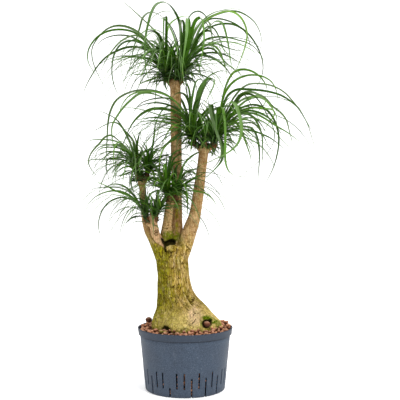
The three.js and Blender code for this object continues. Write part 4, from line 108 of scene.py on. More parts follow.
        (9.8, -0.724, -0.806, [(-4.2, 20.6, 925.4), (-0.6, 20.4, 920.6), (3.2, 16.7, 916.9), (7.0, 12.2, 914.4), (10.7, 7.4, 912.4), (14.3, 2.5, 910.2), (17.7, -2.4, 907.8), (21.1, -7.2, 905.2), (24.1, -11.8, 901.9), (26.7, -16.2, 897.9), (29.0, -20.2, 893.4), (31.0, -23.8, 888.5), (32.7, -26.9, 883.1), (33.8, -29.0, 877.2), (34.8, -30.0, 870.9)]),
    ],
    "leaves_tall_stem_right_3": [
        (9.1, -0.821, 0.516, [(-1.9, 36.4, 925.4), (-1.7, 35.3, 947.5), (-0.9, 35.7, 969.6), (0.2, 37.1, 991.7), (1.5, 39.3, 1013.7), (2.6, 42.1, 1035.6), (3.1, 45.1, 1057.6), (4.5, 48.4, 1079.4), (9.7, 53.2, 1100.3), (21.2, 60.1, 1117.6), (39.7, 68.8, 1125.4), (57.6, 77.4, 1117.3), (68.9, 83.5, 1099.4), (76.0, 87.6, 1078.8), (83.4, 90.0, 1058.1)]),
        (10.5, -0.841, 0.014, [(-0.2, 30.2, 925.4), (6.6, 29.3, 955.0), (14.1, 28.1, 984.3), (23.2, 26.6, 1013.2), (34.3, 24.9, 1041.4), (47.9, 22.9, 1068.4), (68.0, 20.2, 1090.6), (95.3, 16.7, 1103.0), (124.7, 12.9, 1109.7), (154.5, 9.1, 1108.5), (181.6, 5.7, 1095.6), (204.1, 2.9, 1075.6), (218.6, 1.0, 1049.2), (224.3, 0.2, 1019.6), (217.9, 0.0, 990.2)]),
        (9.8, 0.729, 0.506, [(-1.8, 36.3, 925.4), (1.4, 36.4, 951.5), (5.1, 38.8, 977.4), (9.9, 43.0, 1003.0), (16.6, 48.8, 1027.8), (25.0, 55.9, 1051.6), (35.5, 64.0, 1074.3), (49.6, 73.0, 1094.6), (66.0, 82.7, 1112.7), (85.5, 93.0, 1127.0), (107.7, 103.6, 1136.1), (130.7, 114.1, 1143.6), (154.6, 124.2, 1147.2), (178.9, 133.6, 1144.1), (200.4, 140.0, 1130.8)]),
        (8.4, -0.927, 0.225, [(-0.5, 32.9, 925.4), (10.1, 34.0, 959.3), (21.6, 36.5, 992.9), (35.9, 39.9, 1025.3), (53.9, 44.9, 1055.5), (82.2, 51.6, 1075.6), (115.4, 59.4, 1085.1), (149.8, 67.4, 1083.2), (180.7, 74.8, 1067.4), (204.8, 80.8, 1042.2), (223.0, 85.3, 1012.0), (234.9, 88.3, 978.7), (235.7, 89.5, 943.3), (223.4, 89.9, 910.3), (204.5, 90.0, 880.2)]),
        (8.4, -0.719, 0.526, [(-1.9, 36.5, 925.4), (6.4, 38.1, 954.8), (14.7, 42.9, 983.9), (23.3, 49.7, 1012.5), (33.0, 58.4, 1040.2), (44.3, 68.9, 1066.6), (58.3, 81.1, 1090.9), (78.6, 95.1, 1108.5), (104.4, 110.8, 1112.8), (130.5, 126.6, 1110.9), (156.2, 141.5, 1104.0), (179.9, 154.7, 1089.9), (196.6, 164.4, 1066.5), (202.7, 169.0, 1037.1), (200.2, 170.0, 1006.6)]),
        (8.4, -0.814, 0.275, [(-0.7, 33.5, 925.4), (5.1, 33.7, 945.9), (11.1, 34.9, 966.3), (17.8, 36.6, 986.4), (25.3, 38.9, 1006.2), (33.9, 41.8, 1025.5), (43.3, 45.1, 1044.3), (53.9, 48.7, 1062.4), (69.1, 53.2, 1076.1), (86.8, 57.8, 1069.0), (98.0, 61.4, 1051.3), (106.1, 64.0, 1031.8), (113.7, 66.3, 1012.1), (121.8, 68.5, 992.5), (130.1, 70.0, 972.9)]),
        (8.4, -0.916, 0.582, [(-2.3, 37.2, 925.4), (4.4, 37.9, 944.5), (11.1, 41.6, 963.2), (18.7, 47.4, 981.0), (28.7, 55.2, 996.7), (41.5, 64.7, 1009.2), (55.4, 75.0, 1019.6), (70.7, 85.6, 1027.5), (87.0, 96.4, 1032.6), (104.1, 107.1, 1032.7), (120.7, 117.4, 1027.4), (138.0, 127.1, 1023.6), (155.9, 136.2, 1021.1), (174.3, 144.4, 1022.8), (191.6, 150.0, 1031.0)]),
        (8.4, -1.028, -0.164, [(-0.4, 27.9, 925.4), (5.6, 27.7, 941.9), (12.1, 26.9, 958.3), (20.1, 25.5, 973.8), (31.7, 23.5, 986.8), (46.2, 20.8, 996.2), (62.5, 17.8, 1002.0), (79.4, 14.8, 1000.5), (92.9, 12.2, 989.9), (103.8, 10.0, 976.3), (114.7, 7.8, 962.6), (127.3, 5.6, 950.7), (140.5, 3.3, 939.3), (152.3, 1.3, 926.5), (162.6, 0.0, 912.3)]),
        (8.4, 0.763, 0.422, [(-1.3, 35.3, 925.4), (6.8, 36.1, 937.8), (14.7, 38.8, 950.1), (22.8, 42.5, 962.1), (31.6, 47.2, 973.0), (41.6, 52.9, 982.6), (52.4, 59.0, 990.7), (64.0, 65.4, 997.5), (76.6, 71.9, 1001.8), (89.8, 78.6, 1003.0), (102.8, 84.4, 999.5), (104.7, 87.9, 986.9), (96.2, 89.1, 974.8), (87.9, 89.8, 962.5), (81.2, 90.0, 949.2)]),
        (8.4, 0.814, 0.397, [(-1.2, 35.0, 925.4), (1.2, 34.5, 930.8), (3.8, 35.0, 936.2), (6.9, 36.2, 941.2), (10.6, 38.1, 945.4), (15.2, 40.7, 948.1), (20.3, 43.7, 948.8), (25.3, 46.7, 947.6), (29.8, 49.6, 944.8), (33.9, 52.2, 941.4), (37.7, 54.6, 937.4), (40.9, 56.6, 932.8), (43.6, 58.2, 927.7), (45.6, 59.3, 922.2), (47.4, 60.0, 916.5)]),
        (9.4, 0.962, -0.073, [(-0.2, 29.1, 925.4), (1.0, 29.0, 946.6), (7.9, 28.8, 966.7), (19.6, 28.5, 984.3), (35.3, 28.4, 998.7), (53.5, 28.5, 1009.6), (73.2, 28.9, 1017.5), (93.9, 29.6, 1022.4), (115.1, 30.7, 1024.2), (136.3, 32.2, 1023.0), (157.0, 34.0, 1018.8), (177.0, 36.0, 1011.8), (195.8, 38.2, 1002.2), (213.2, 40.6, 990.1), (228.8, 43.0, 975.9)]),
        (10.4, -0.919, 0.452, [(-1.5, 35.7, 925.4), (0.2, 36.5, 941.9), (6.0, 39.1, 957.3), (15.3, 43.1, 970.5), (27.1, 48.2, 981.0), (40.7, 53.9, 988.9), (55.2, 59.8, 994.6), (70.3, 65.8, 998.2), (85.8, 71.7, 999.7), (101.5, 77.5, 999.1), (117.0, 83.0, 996.6), (132.2, 88.2, 992.0), (146.8, 93.1, 985.6), (160.7, 97.5, 977.5), (173.6, 101.4, 967.7)]),
    ],
    "leaves_tall_stem_right_4": [
        (10.5, -0.335, 0.986, [(-6.0, 40.8, 925.4), (-2.7, 40.0, 945.0), (0.7, 42.9, 964.4), (4.3, 48.1, 983.3), (8.1, 55.1, 1001.5), (12.1, 63.5, 1019.1), (16.3, 72.2, 1036.5), (20.9, 81.0, 1053.8), (26.0, 89.8, 1070.9), (32.4, 98.8, 1087.5), (41.5, 108.7, 1102.0), (56.2, 119.7, 1107.1), (68.9, 130.2, 1096.3), (76.5, 136.9, 1079.3), (81.1, 140.0, 1060.2)]),
        (8.4, -0.661, 0.741, [(-3.6, 38.8, 925.4), (-1.0, 37.7, 929.2), (1.9, 39.6, 932.7), (4.9, 42.7, 935.0), (8.0, 46.4, 936.1), (10.9, 50.3, 936.5), (13.8, 54.2, 936.3), (16.6, 58.2, 935.3), (19.0, 62.1, 933.7), (21.4, 65.9, 931.6), (23.8, 69.5, 929.3), (26.3, 72.8, 926.7), (28.9, 75.8, 923.8), (31.5, 78.4, 920.5), (34.3, 80.0, 916.9)]),
        (10.5, 0.436, 1.285, [(-9.5, 42.5, 925.4), (-5.1, 44.3, 945.4), (-1.7, 53.5, 963.7), (1.2, 66.2, 980.0), (4.0, 80.7, 994.6), (6.9, 96.2, 1008.2), (10.6, 111.9, 1021.4), (14.8, 127.7, 1034.4), (19.9, 143.4, 1047.1), (25.6, 158.8, 1059.8), (32.5, 174.0, 1072.3), (41.1, 189.0, 1083.9), (52.0, 203.8, 1093.6), (65.8, 218.3, 1099.0), (82.7, 230.0, 1097.0)]),
        (9.8, -0.276, 1.415, [(-11.2, 42.8, 925.4), (-8.3, 43.2, 944.3), (-6.2, 50.9, 962.0), (-4.8, 62.0, 977.8), (-3.9, 75.0, 992.2), (-3.1, 88.9, 1005.6), (-2.4, 103.1, 1018.8), (-1.5, 117.1, 1032.2), (-0.5, 130.9, 1045.8), (0.6, 144.3, 1059.8), (2.0, 157.1, 1074.3), (3.9, 169.0, 1089.4), (6.7, 179.9, 1105.2), (11.6, 190.3, 1120.8), (24.2, 200.0, 1125.4)]),
        (10.1, -0.677, 0.792, [(-4.1, 39.3, 925.4), (-1.4, 41.8, 944.5), (5.2, 48.2, 961.7), (15.3, 57.5, 975.5), (27.6, 68.8, 985.5), (41.4, 81.1, 991.7), (56.0, 93.7, 994.8), (70.9, 106.3, 994.8), (85.8, 118.5, 991.6), (100.3, 130.1, 985.6), (114.0, 140.8, 976.8), (126.8, 150.4, 965.6), (138.1, 158.8, 952.1), (147.9, 165.8, 936.7), (155.9, 171.4, 919.8)]),
        (9.4, -0.474, 1.145, [(-7.8, 41.8, 925.4), (-7.4, 42.9, 942.9), (-5.4, 47.8, 959.6), (-1.9, 56.5, 974.5), (2.8, 68.5, 986.3), (8.2, 82.8, 995.0), (13.9, 98.4, 1000.7), (19.6, 114.9, 1003.2), (25.1, 131.5, 1002.5), (30.3, 147.8, 998.5), (34.9, 163.2, 991.3), (38.9, 177.0, 981.3), (42.2, 188.8, 968.7), (44.6, 198.0, 954.0), (46.1, 204.3, 937.7)]),
        (10.8, -0.187, 1.483, [(-12.0, 42.9, 925.4), (-12.0, 43.5, 944.5), (-11.3, 49.6, 962.6), (-9.9, 60.7, 978.1), (-8.0, 75.5, 990.1), (-5.7, 92.6, 998.4), (-3.0, 110.9, 1003.6), (-0.1, 129.7, 1005.6), (3.1, 148.6, 1004.4), (6.4, 167.0, 1000.2), (9.7, 184.5, 993.1), (12.9, 200.7, 983.3), (15.9, 215.2, 971.2), (18.6, 227.8, 956.9), (21.0, 238.1, 941.0)]),
        (8.9, -0.353, 1.428, [(-11.3, 42.9, 925.4), (-11.0, 46.8, 947.4), (-10.1, 56.5, 967.6), (-8.7, 70.9, 984.7), (-6.9, 88.7, 998.2), (-5.0, 108.8, 1008.1), (-2.9, 130.1, 1014.8), (-0.8, 152.1, 1018.4), (1.2, 174.5, 1019.0), (3.1, 196.7, 1016.4), (5.0, 218.4, 1011.0), (6.7, 239.2, 1002.7), (8.2, 258.8, 991.9), (9.6, 276.8, 978.6), (10.8, 293.1, 963.3)]),
    ],
    "leaves_tall_stem_right_5": [
        (7.7, -0.895, 2.762, [(-25.3, 34.8, 925.4), (-30.8, 35.6, 947.8), (-37.5, 38.1, 969.8), (-46.1, 41.7, 991.0), (-56.2, 46.1, 1011.3), (-67.9, 51.3, 1030.5), (-80.8, 57.0, 1048.8), (-95.1, 62.9, 1066.0), (-110.2, 68.9, 1082.4), (-125.9, 74.8, 1098.4), (-141.8, 80.6, 1114.1), (-157.8, 86.1, 1129.9), (-174.0, 91.4, 1145.4), (-190.6, 96.4, 1160.7), (-207.6, 100.0, 1175.9)]),
        (8.4, 0.455, 1.971, [(-18.3, 42.0, 925.4), (-14.3, 40.3, 950.5), (-10.8, 42.6, 975.6), (-8.5, 47.8, 1000.5), (-8.3, 55.3, 1024.8), (-10.6, 64.8, 1048.4), (-14.4, 75.1, 1071.3), (-19.2, 86.5, 1093.7), (-26.1, 99.1, 1114.7), (-38.2, 113.2, 1131.8), (-55.8, 128.9, 1141.4), (-75.2, 145.1, 1143.9), (-94.8, 160.5, 1139.5), (-112.6, 173.3, 1126.5), (-122.6, 180.0, 1104.4)]),
        (7.7, -0.445, 2.021, [(-18.8, 41.7, 925.4), (-19.6, 40.6, 946.2), (-20.9, 43.5, 966.8), (-22.8, 49.1, 986.8), (-25.5, 57.2, 1005.9), (-29.0, 67.1, 1023.9), (-33.2, 77.7, 1041.4), (-38.4, 88.7, 1058.4), (-44.8, 99.7, 1074.9), (-52.2, 110.8, 1091.0), (-60.6, 121.9, 1106.5), (-72.5, 133.6, 1118.9), (-88.4, 146.0, 1122.8), (-102.8, 156.6, 1113.4), (-103.7, 160.0, 1093.3)]),
        (10.5, -0.264, 1.791, [(-16.0, 42.7, 925.4), (-15.9, 46.6, 944.0), (-16.8, 58.7, 959.2), (-18.1, 73.3, 972.2), (-19.8, 89.0, 983.7), (-21.8, 105.3, 994.3), (-23.7, 121.6, 1004.9), (-25.7, 137.9, 1015.7), (-27.6, 153.9, 1026.7), (-29.5, 169.7, 1038.0), (-31.7, 185.1, 1050.0), (-34.2, 199.8, 1062.5), (-37.6, 213.7, 1075.9), (-43.1, 226.6, 1089.5), (-54.7, 238.0, 1089.0)]),
        (9.8, -0.675, 2.253, [(-21.4, 40.1, 925.4), (-22.3, 41.2, 946.4), (-25.7, 45.4, 966.8), (-31.8, 52.7, 985.5), (-40.2, 62.9, 1001.9), (-50.6, 75.3, 1015.3), (-62.3, 89.3, 1025.8), (-75.0, 104.3, 1033.3), (-88.3, 120.1, 1037.5), (-102.0, 136.1, 1038.2), (-115.5, 152.0, 1035.3), (-128.6, 167.2, 1028.9), (-140.8, 181.3, 1019.2), (-151.7, 193.8, 1006.3), (-161.0, 204.4, 990.7)]),
        (9.3, 1.026, 2.766, [(-25.3, 34.8, 925.4), (-26.7, 35.4, 942.6), (-31.7, 37.5, 959.0), (-40.4, 41.3, 973.4), (-52.1, 46.5, 985.0), (-65.8, 52.8, 993.4), (-80.6, 59.7, 999.0), (-96.0, 67.2, 1001.6), (-111.4, 74.8, 1001.1), (-126.5, 82.5, 997.5), (-140.6, 89.9, 990.8), (-153.3, 96.7, 981.3), (-164.2, 102.7, 969.2), (-172.8, 107.6, 955.1), (-178.9, 111.1, 939.3)]),
    ],
    "leaves_right_stem_left_1": [
        (10.5, -0.908, 0.587, [(35.3, 1.2, 734.4), (31.8, -0.8, 754.3), (28.9, -1.8, 774.4), (26.8, -1.7, 794.6), (26.4, -0.4, 814.9), (28.3, 2.3, 834.9), (32.1, 6.0, 854.5), (37.4, 10.3, 873.6), (45.6, 15.5, 891.5), (57.1, 21.5, 907.1), (70.7, 28.0, 920.6), (86.3, 34.9, 931.6), (103.8, 42.1, 939.0), (122.5, 49.1, 939.5), (138.5, 54.0, 928.2)]),
        (8.4, 0.540, 1.049, [(30.9, 5.3, 734.4), (30.8, 3.4, 755.6), (31.1, 5.0, 776.9), (32.2, 9.4, 797.7), (34.5, 16.2, 817.8), (38.5, 24.8, 837.0), (43.5, 34.1, 855.6), (49.2, 43.6, 873.8), (56.1, 53.5, 891.4), (65.2, 64.0, 907.6), (77.4, 75.4, 920.4), (94.0, 87.4, 917.1), (104.8, 97.1, 901.7), (110.4, 102.4, 881.9), (111.4, 104.0, 860.7)]),
        (9.1, -0.275, 1.423, [(26.4, 6.9, 734.4), (24.6, 5.2, 753.0), (23.3, 9.8, 771.2), (22.5, 18.2, 788.1), (22.7, 28.9, 803.6), (23.8, 40.9, 818.2), (25.6, 53.3, 832.4), (28.4, 65.8, 846.3), (32.4, 78.4, 859.7), (38.5, 91.3, 872.1), (47.1, 104.5, 882.4), (58.2, 118.1, 889.3), (71.2, 131.6, 891.7), (84.9, 144.4, 889.7), (100.3, 154.0, 885.0)]),
        (9.1, -0.237, 1.474, [(25.7, 6.9, 734.4), (26.3, 9.2, 751.1), (27.1, 19.8, 764.8), (28.1, 32.9, 776.3), (29.2, 47.0, 786.4), (30.5, 61.6, 795.8), (32.0, 76.2, 805.1), (33.5, 90.8, 814.6), (35.3, 105.2, 824.2), (37.5, 119.3, 834.2), (40.4, 133.1, 844.3), (44.7, 146.8, 854.2), (51.8, 160.4, 862.4), (62.1, 173.8, 864.9), (72.3, 184.0, 855.9)]),
        (10.0, 0.819, 0.486, [(35.9, 0.1, 734.4), (38.7, 1.5, 756.5), (45.6, 5.1, 777.5), (56.6, 10.8, 796.2), (71.2, 18.4, 811.4), (88.4, 27.2, 822.8), (107.2, 36.7, 830.4), (126.9, 46.7, 834.1), (146.9, 56.7, 833.8), (166.6, 66.5, 829.2), (185.1, 75.7, 820.5), (201.8, 83.9, 808.1), (216.1, 90.9, 792.3), (227.4, 96.4, 773.8), (235.2, 100.1, 753.1)]),
        (9.3, 0.724, 0.702, [(34.4, 2.4, 734.4), (32.7, 1.0, 749.4), (33.4, 1.7, 764.5), (36.7, 4.8, 778.9), (42.5, 10.2, 791.8), (50.4, 17.6, 802.4), (59.3, 26.2, 811.1), (69.0, 35.8, 817.7), (79.3, 46.1, 822.1), (89.7, 56.9, 824.0), (100.1, 67.9, 823.5), (110.2, 78.8, 820.5), (119.7, 89.3, 815.1), (128.4, 99.1, 807.5), (136.0, 108.0, 797.8)]),
        (9.2, 0.518, 1.155, [(29.7, 5.9, 734.4), (30.8, 8.4, 751.0), (34.0, 15.7, 766.0), (38.8, 26.7, 777.8), (44.6, 40.3, 786.1), (51.0, 55.1, 791.2), (57.6, 70.6, 793.4), (64.2, 86.2, 793.0), (70.7, 101.6, 790.0), (77.0, 116.4, 784.5), (82.8, 130.3, 776.7), (88.0, 143.0, 766.8), (92.7, 154.3, 755.0), (96.7, 164.0, 741.7), (99.9, 171.9, 727.0)]),
        (8.8, 0.168, 1.557, [(24.6, 7.0, 734.4), (24.7, 10.2, 753.7), (25.0, 19.1, 771.1), (25.5, 32.6, 785.2), (26.3, 49.4, 795.3), (27.3, 68.1, 801.4), (28.4, 87.5, 804.1), (29.8, 107.0, 803.5), (31.2, 126.2, 799.5), (32.8, 144.4, 792.3), (34.3, 161.2, 782.3), (35.8, 176.2, 769.7), (37.2, 189.0, 754.9), (38.4, 199.2, 738.2), (39.4, 206.8, 720.1)]),
    ],
    "leaves_right_stem_left_2": [
        (10.5, -0.923, 3.362, [(11.8, -8.8, 734.4), (5.3, -9.6, 771.8), (-5.2, -12.3, 808.2), (-27.7, -17.2, 838.3), (-57.9, -24.1, 859.7), (-93.7, -32.3, 869.0), (-130.6, -40.9, 868.2), (-166.2, -49.2, 857.8), (-196.7, -56.2, 836.7), (-213.0, -60.8, 803.2), (-219.4, -63.2, 765.8), (-221.0, -64.4, 727.9), (-222.9, -65.3, 689.9), (-223.9, -65.8, 651.9), (-216.3, -66.0, 614.7)]),
        (9.8, -1.027, 3.394, [(11.8, -9.3, 734.4), (8.7, -10.1, 758.2), (4.2, -13.0, 781.6), (-4.3, -17.5, 803.5), (-16.5, -23.7, 823.3), (-31.8, -31.1, 840.2), (-50.7, -39.7, 852.1), (-71.7, -48.9, 859.1), (-93.6, -58.3, 862.3), (-115.6, -67.6, 860.6), (-137.5, -76.5, 856.4), (-157.1, -84.3, 845.4), (-171.4, -90.3, 827.2), (-181.1, -94.2, 805.6), (-185.8, -96.0, 782.2)]),
        (9.1, -0.910, -2.857, [(12.0, -9.6, 734.4), (10.5, -9.3, 754.0), (8.3, -9.9, 773.5), (4.0, -11.4, 792.7), (-3.9, -14.0, 810.5), (-15.0, -17.7, 826.3), (-29.4, -22.1, 838.8), (-46.9, -27.1, 846.0), (-65.7, -32.5, 847.3), (-84.5, -37.7, 844.9), (-103.0, -42.9, 840.4), (-120.7, -47.5, 833.3), (-135.0, -51.4, 820.6), (-146.1, -54.3, 804.6), (-154.0, -56.0, 786.7)]),
        (8.4, -0.967, -2.795, [(12.2, -10.4, 734.4), (8.7, -10.4, 748.2), (3.6, -12.1, 761.5), (-5.0, -15.1, 772.4), (-16.4, -19.4, 779.8), (-29.5, -24.3, 782.8), (-42.8, -29.5, 784.4), (-56.0, -34.6, 786.6), (-69.3, -39.7, 788.1), (-82.7, -44.8, 788.7), (-96.1, -49.6, 788.2), (-109.5, -54.3, 786.6), (-122.8, -58.7, 783.4), (-136.2, -62.9, 781.0), (-150.2, -66.0, 780.8)]),
        (9.1, 0.321, 1.862, [(20.7, 6.5, 734.4), (18.5, 3.8, 749.2), (16.6, 5.1, 764.2), (15.2, 9.2, 778.8), (14.0, 15.4, 792.7), (13.2, 22.7, 806.0), (12.4, 30.2, 819.3), (11.3, 37.7, 832.5), (9.7, 45.1, 845.7), (7.3, 52.5, 858.8), (4.3, 59.6, 872.0), (1.2, 66.1, 885.4), (-2.7, 72.3, 898.8), (-8.5, 78.7, 911.3), (-17.7, 84.0, 922.1)]),
        (9.8, -0.556, 2.085, [(18.0, 5.3, 734.4), (15.3, 4.7, 753.2), (12.5, 8.9, 771.7), (9.2, 16.2, 789.1), (5.4, 25.8, 805.2), (1.0, 36.7, 820.4), (-4.0, 48.0, 835.0), (-10.0, 59.5, 849.1), (-17.5, 71.5, 862.0), (-27.4, 83.9, 872.6), (-40.7, 96.9, 875.7), (-52.8, 109.4, 868.2), (-61.3, 119.6, 854.5), (-70.1, 127.9, 839.7), (-81.7, 134.0, 825.8)]),
        (9.1, -0.590, 2.283, [(15.9, 3.8, 734.4), (10.7, 5.1, 746.8), (5.4, 11.0, 758.0), (-0.5, 19.0, 767.5), (-7.3, 28.3, 775.0), (-14.9, 38.2, 780.7), (-22.9, 48.3, 785.3), (-31.4, 58.6, 788.8), (-40.3, 68.8, 790.8), (-49.5, 79.0, 790.4), (-58.6, 88.8, 787.3), (-67.1, 97.9, 781.6), (-74.4, 105.7, 773.0), (-79.9, 111.3, 761.8), (-83.6, 114.0, 748.9)]),
        (9.0, 0.338, 1.821, [(21.2, 6.6, 734.4), (21.0, 7.3, 749.5), (20.0, 11.6, 764.0), (18.2, 19.2, 776.9), (15.7, 29.8, 787.5), (12.8, 42.3, 795.6), (9.8, 55.8, 801.6), (6.6, 70.1, 805.4), (3.4, 84.9, 807.0), (0.3, 99.7, 806.4), (-2.7, 114.3, 803.4), (-5.5, 128.3, 798.3), (-8.1, 141.4, 791.2), (-10.4, 153.3, 782.1), (-12.3, 163.7, 771.3)]),
        (9.0, 0.789, 2.264, [(16.1, 4.0, 734.4), (15.4, 5.0, 757.1), (11.5, 10.1, 779.0), (4.6, 19.3, 798.6), (-4.7, 32.2, 815.0), (-15.7, 47.7, 827.5), (-27.6, 65.1, 836.4), (-39.8, 83.6, 841.5), (-52.1, 102.8, 842.6), (-63.9, 122.1, 839.7), (-75.0, 140.8, 832.9), (-85.0, 158.4, 822.5), (-93.7, 174.3, 808.6), (-100.9, 187.9, 791.8), (-106.4, 198.8, 772.5)]),
        (10.1, -0.817, 2.430, [(14.6, 2.5, 734.4), (12.5, 4.3, 756.2), (5.1, 10.7, 775.9), (-6.5, 20.8, 791.8), (-20.9, 33.3, 802.9), (-36.9, 47.1, 809.4), (-53.4, 61.5, 811.9), (-70.1, 76.0, 810.4), (-86.3, 90.1, 805.1), (-101.5, 103.4, 796.3), (-115.5, 115.6, 784.3), (-127.8, 126.4, 769.5), (-138.2, 135.5, 752.2), (-146.5, 142.7, 733.0), (-152.4, 147.9, 712.4)]),
        (10.3, 0.914, 2.928, [(11.7, -3.2, 734.4), (13.5, -3.7, 751.7), (11.6, -3.4, 769.1), (5.8, -2.4, 785.5), (-3.5, -1.0, 800.1), (-15.8, 0.9, 812.4), (-30.0, 2.8, 822.5), (-45.5, 4.6, 830.3), (-62.0, 6.4, 835.7), (-79.1, 8.0, 838.6), (-96.5, 9.3, 838.8), (-113.8, 10.4, 836.4), (-130.5, 11.2, 831.4), (-146.3, 11.8, 824.0), (-160.9, 12.1, 814.3)]),
    ],
    "leaves_right_stem_left_3": [
        (10.5, -0.976, 3.770, [(13.9, -13.6, 734.4), (6.3, -15.0, 765.7), (-4.2, -20.9, 795.6), (-22.0, -30.8, 820.6), (-45.5, -44.1, 838.0), (-72.1, -59.4, 848.1), (-99.3, -75.5, 854.6), (-126.9, -91.3, 850.4), (-149.0, -105.5, 831.6), (-168.6, -118.1, 809.2), (-185.0, -129.2, 783.7), (-198.0, -137.5, 755.3), (-197.5, -141.9, 723.9), (-192.2, -143.5, 692.0), (-186.6, -144.0, 660.2)]),
        (9.1, -0.753, -2.684, [(12.8, -11.7, 734.4), (8.3, -12.1, 752.4), (2.2, -15.2, 769.6), (-9.7, -20.8, 782.3), (-25.2, -28.4, 789.2), (-41.6, -36.7, 791.6), (-58.0, -45.3, 793.0), (-74.2, -53.9, 795.6), (-90.2, -62.3, 799.6), (-106.3, -70.6, 803.8), (-122.5, -78.7, 807.8), (-139.2, -86.5, 810.5), (-156.1, -93.9, 811.3), (-173.3, -100.9, 811.4), (-191.1, -106.0, 813.1)]),
        (13.1, 0.828, 3.807, [(14.2, -14.0, 734.4), (7.8, -15.7, 762.5), (-3.3, -23.1, 788.0), (-23.7, -35.6, 803.5), (-47.4, -50.9, 810.0), (-71.1, -67.4, 811.6), (-94.4, -83.9, 807.6), (-115.4, -99.6, 795.4), (-133.3, -114.0, 777.9), (-147.2, -126.5, 755.8), (-157.8, -137.0, 731.1), (-167.0, -146.1, 705.2), (-176.7, -154.3, 679.1), (-187.7, -161.5, 653.3), (-197.6, -166.0, 626.5)]),
        (10.5, 0.467, 3.888, [(14.9, -14.8, 734.4), (16.1, -12.6, 753.5), (16.9, -12.4, 772.8), (16.8, -14.0, 792.1), (15.1, -17.5, 811.0), (11.9, -22.7, 829.4), (6.5, -29.5, 846.6), (-4.8, -38.6, 859.0), (-20.7, -48.7, 859.1), (-33.4, -57.9, 847.9), (-43.3, -65.6, 833.2), (-51.2, -71.8, 816.7), (-57.5, -76.7, 799.1), (-61.7, -79.8, 780.5), (-63.1, -81.0, 761.3)]),
        (8.4, 0.954, -2.526, [(13.8, -13.5, 734.4), (7.0, -14.8, 747.0), (-1.4, -20.0, 757.4), (-12.0, -27.4, 764.0), (-23.1, -35.8, 768.2), (-34.3, -44.6, 770.7), (-45.5, -53.6, 772.7), (-56.7, -62.7, 774.2), (-68.1, -71.6, 775.2), (-79.7, -80.4, 775.7), (-91.4, -88.8, 775.3), (-103.4, -96.9, 773.8), (-115.4, -104.4, 770.9), (-127.5, -111.2, 766.6), (-139.9, -116.0, 761.0)]),
        (8.4, -0.755, -2.483, [(14.2, -14.0, 734.4), (8.4, -14.3, 741.7), (2.5, -17.6, 748.0), (-3.9, -22.6, 752.6), (-10.7, -28.7, 755.0), (-17.4, -35.2, 755.8), (-24.0, -41.8, 756.3), (-30.7, -48.3, 756.4), (-37.4, -54.9, 756.2), (-44.3, -61.3, 756.0), (-51.3, -67.5, 755.8), (-58.5, -73.5, 756.4), (-65.5, -78.9, 759.3), (-71.4, -83.3, 765.0), (-76.9, -86.0, 772.0)]),
        (9.1, -0.670, -2.229, [(16.5, -16.3, 734.4), (6.1, -20.5, 742.7), (-4.2, -30.2, 744.5), (-13.1, -41.2, 742.0), (-20.5, -52.6, 737.3), (-26.9, -64.1, 731.5), (-33.1, -75.7, 725.6), (-39.1, -87.3, 719.5), (-45.1, -98.7, 713.2), (-51.2, -110.1, 706.7), (-57.4, -121.1, 699.8), (-63.6, -131.5, 692.1), (-70.1, -141.2, 683.7), (-77.1, -149.8, 674.5), (-85.8, -156.0, 665.0)]),
        (9.1, -0.729, -2.403, [(14.8, -14.7, 734.4), (3.2, -18.9, 732.6), (-6.6, -26.8, 732.2), (-15.6, -35.6, 731.2), (-23.6, -44.9, 728.3), (-31.1, -54.5, 724.4), (-38.1, -64.0, 720.0), (-44.8, -73.4, 714.8), (-50.9, -82.5, 708.4), (-56.1, -91.1, 700.7), (-60.9, -99.0, 692.2), (-64.9, -106.0, 682.4), (-67.2, -111.4, 671.2), (-68.4, -114.7, 659.0), (-69.0, -116.0, 646.5)]),
        (9.1, -0.635, -2.156, [(17.3, -16.8, 734.4), (15.7, -14.7, 732.3), (13.7, -15.5, 729.7), (12.4, -17.7, 727.5), (11.8, -20.4, 725.5), (11.5, -23.4, 723.8), (11.3, -26.4, 722.2), (11.2, -29.4, 720.5), (11.1, -32.3, 718.7), (11.1, -35.2, 716.9), (11.2, -38.0, 714.9), (11.5, -40.7, 712.8), (11.8, -43.1, 710.5), (12.2, -45.1, 707.7), (12.7, -46.0, 704.5)]),
        (9.8, 0.312, 4.236, [(18.5, -17.6, 734.4), (18.0, -14.5, 749.8), (17.4, -13.5, 765.4), (16.8, -14.1, 781.1), (16.3, -16.4, 796.7), (15.7, -20.2, 811.9), (15.3, -24.4, 827.1), (14.8, -28.7, 842.2), (13.9, -33.0, 857.3), (11.8, -38.0, 872.0), (6.0, -45.0, 884.7), (-5.2, -52.7, 884.5), (-11.7, -59.1, 871.7), (-17.1, -63.6, 857.7), (-20.6, -66.0, 842.6)]),
        (9.1, -0.705, -2.548, [(13.7, -13.3, 734.4), (10.4, -13.0, 737.9), (6.7, -15.5, 740.3), (2.9, -18.7, 741.4), (-0.9, -22.1, 741.4), (-4.6, -25.5, 740.7), (-8.2, -28.8, 739.3), (-11.5, -32.1, 737.3), (-14.5, -35.0, 734.5), (-16.9, -37.7, 730.9), (-19.0, -40.1, 727.0), (-20.9, -42.2, 722.8), (-22.5, -43.9, 718.2), (-24.0, -45.2, 713.6), (-25.5, -46.0, 708.8)]),
    ],
    "leaves_right_stem_left_4": [
        (10.5, -0.317, 4.886, [(26.7, -18.8, 734.4), (23.1, -16.1, 749.0), (19.6, -16.0, 763.8), (16.8, -17.5, 778.8), (15.6, -20.2, 793.8), (15.9, -24.0, 808.6), (17.0, -27.9, 823.3), (18.8, -31.9, 838.0), (21.5, -35.6, 852.5), (24.5, -39.0, 867.2), (27.7, -42.0, 881.8), (33.6, -47.2, 894.8), (45.2, -55.0, 898.7), (55.5, -62.1, 890.6), (60.6, -66.0, 876.8)]),
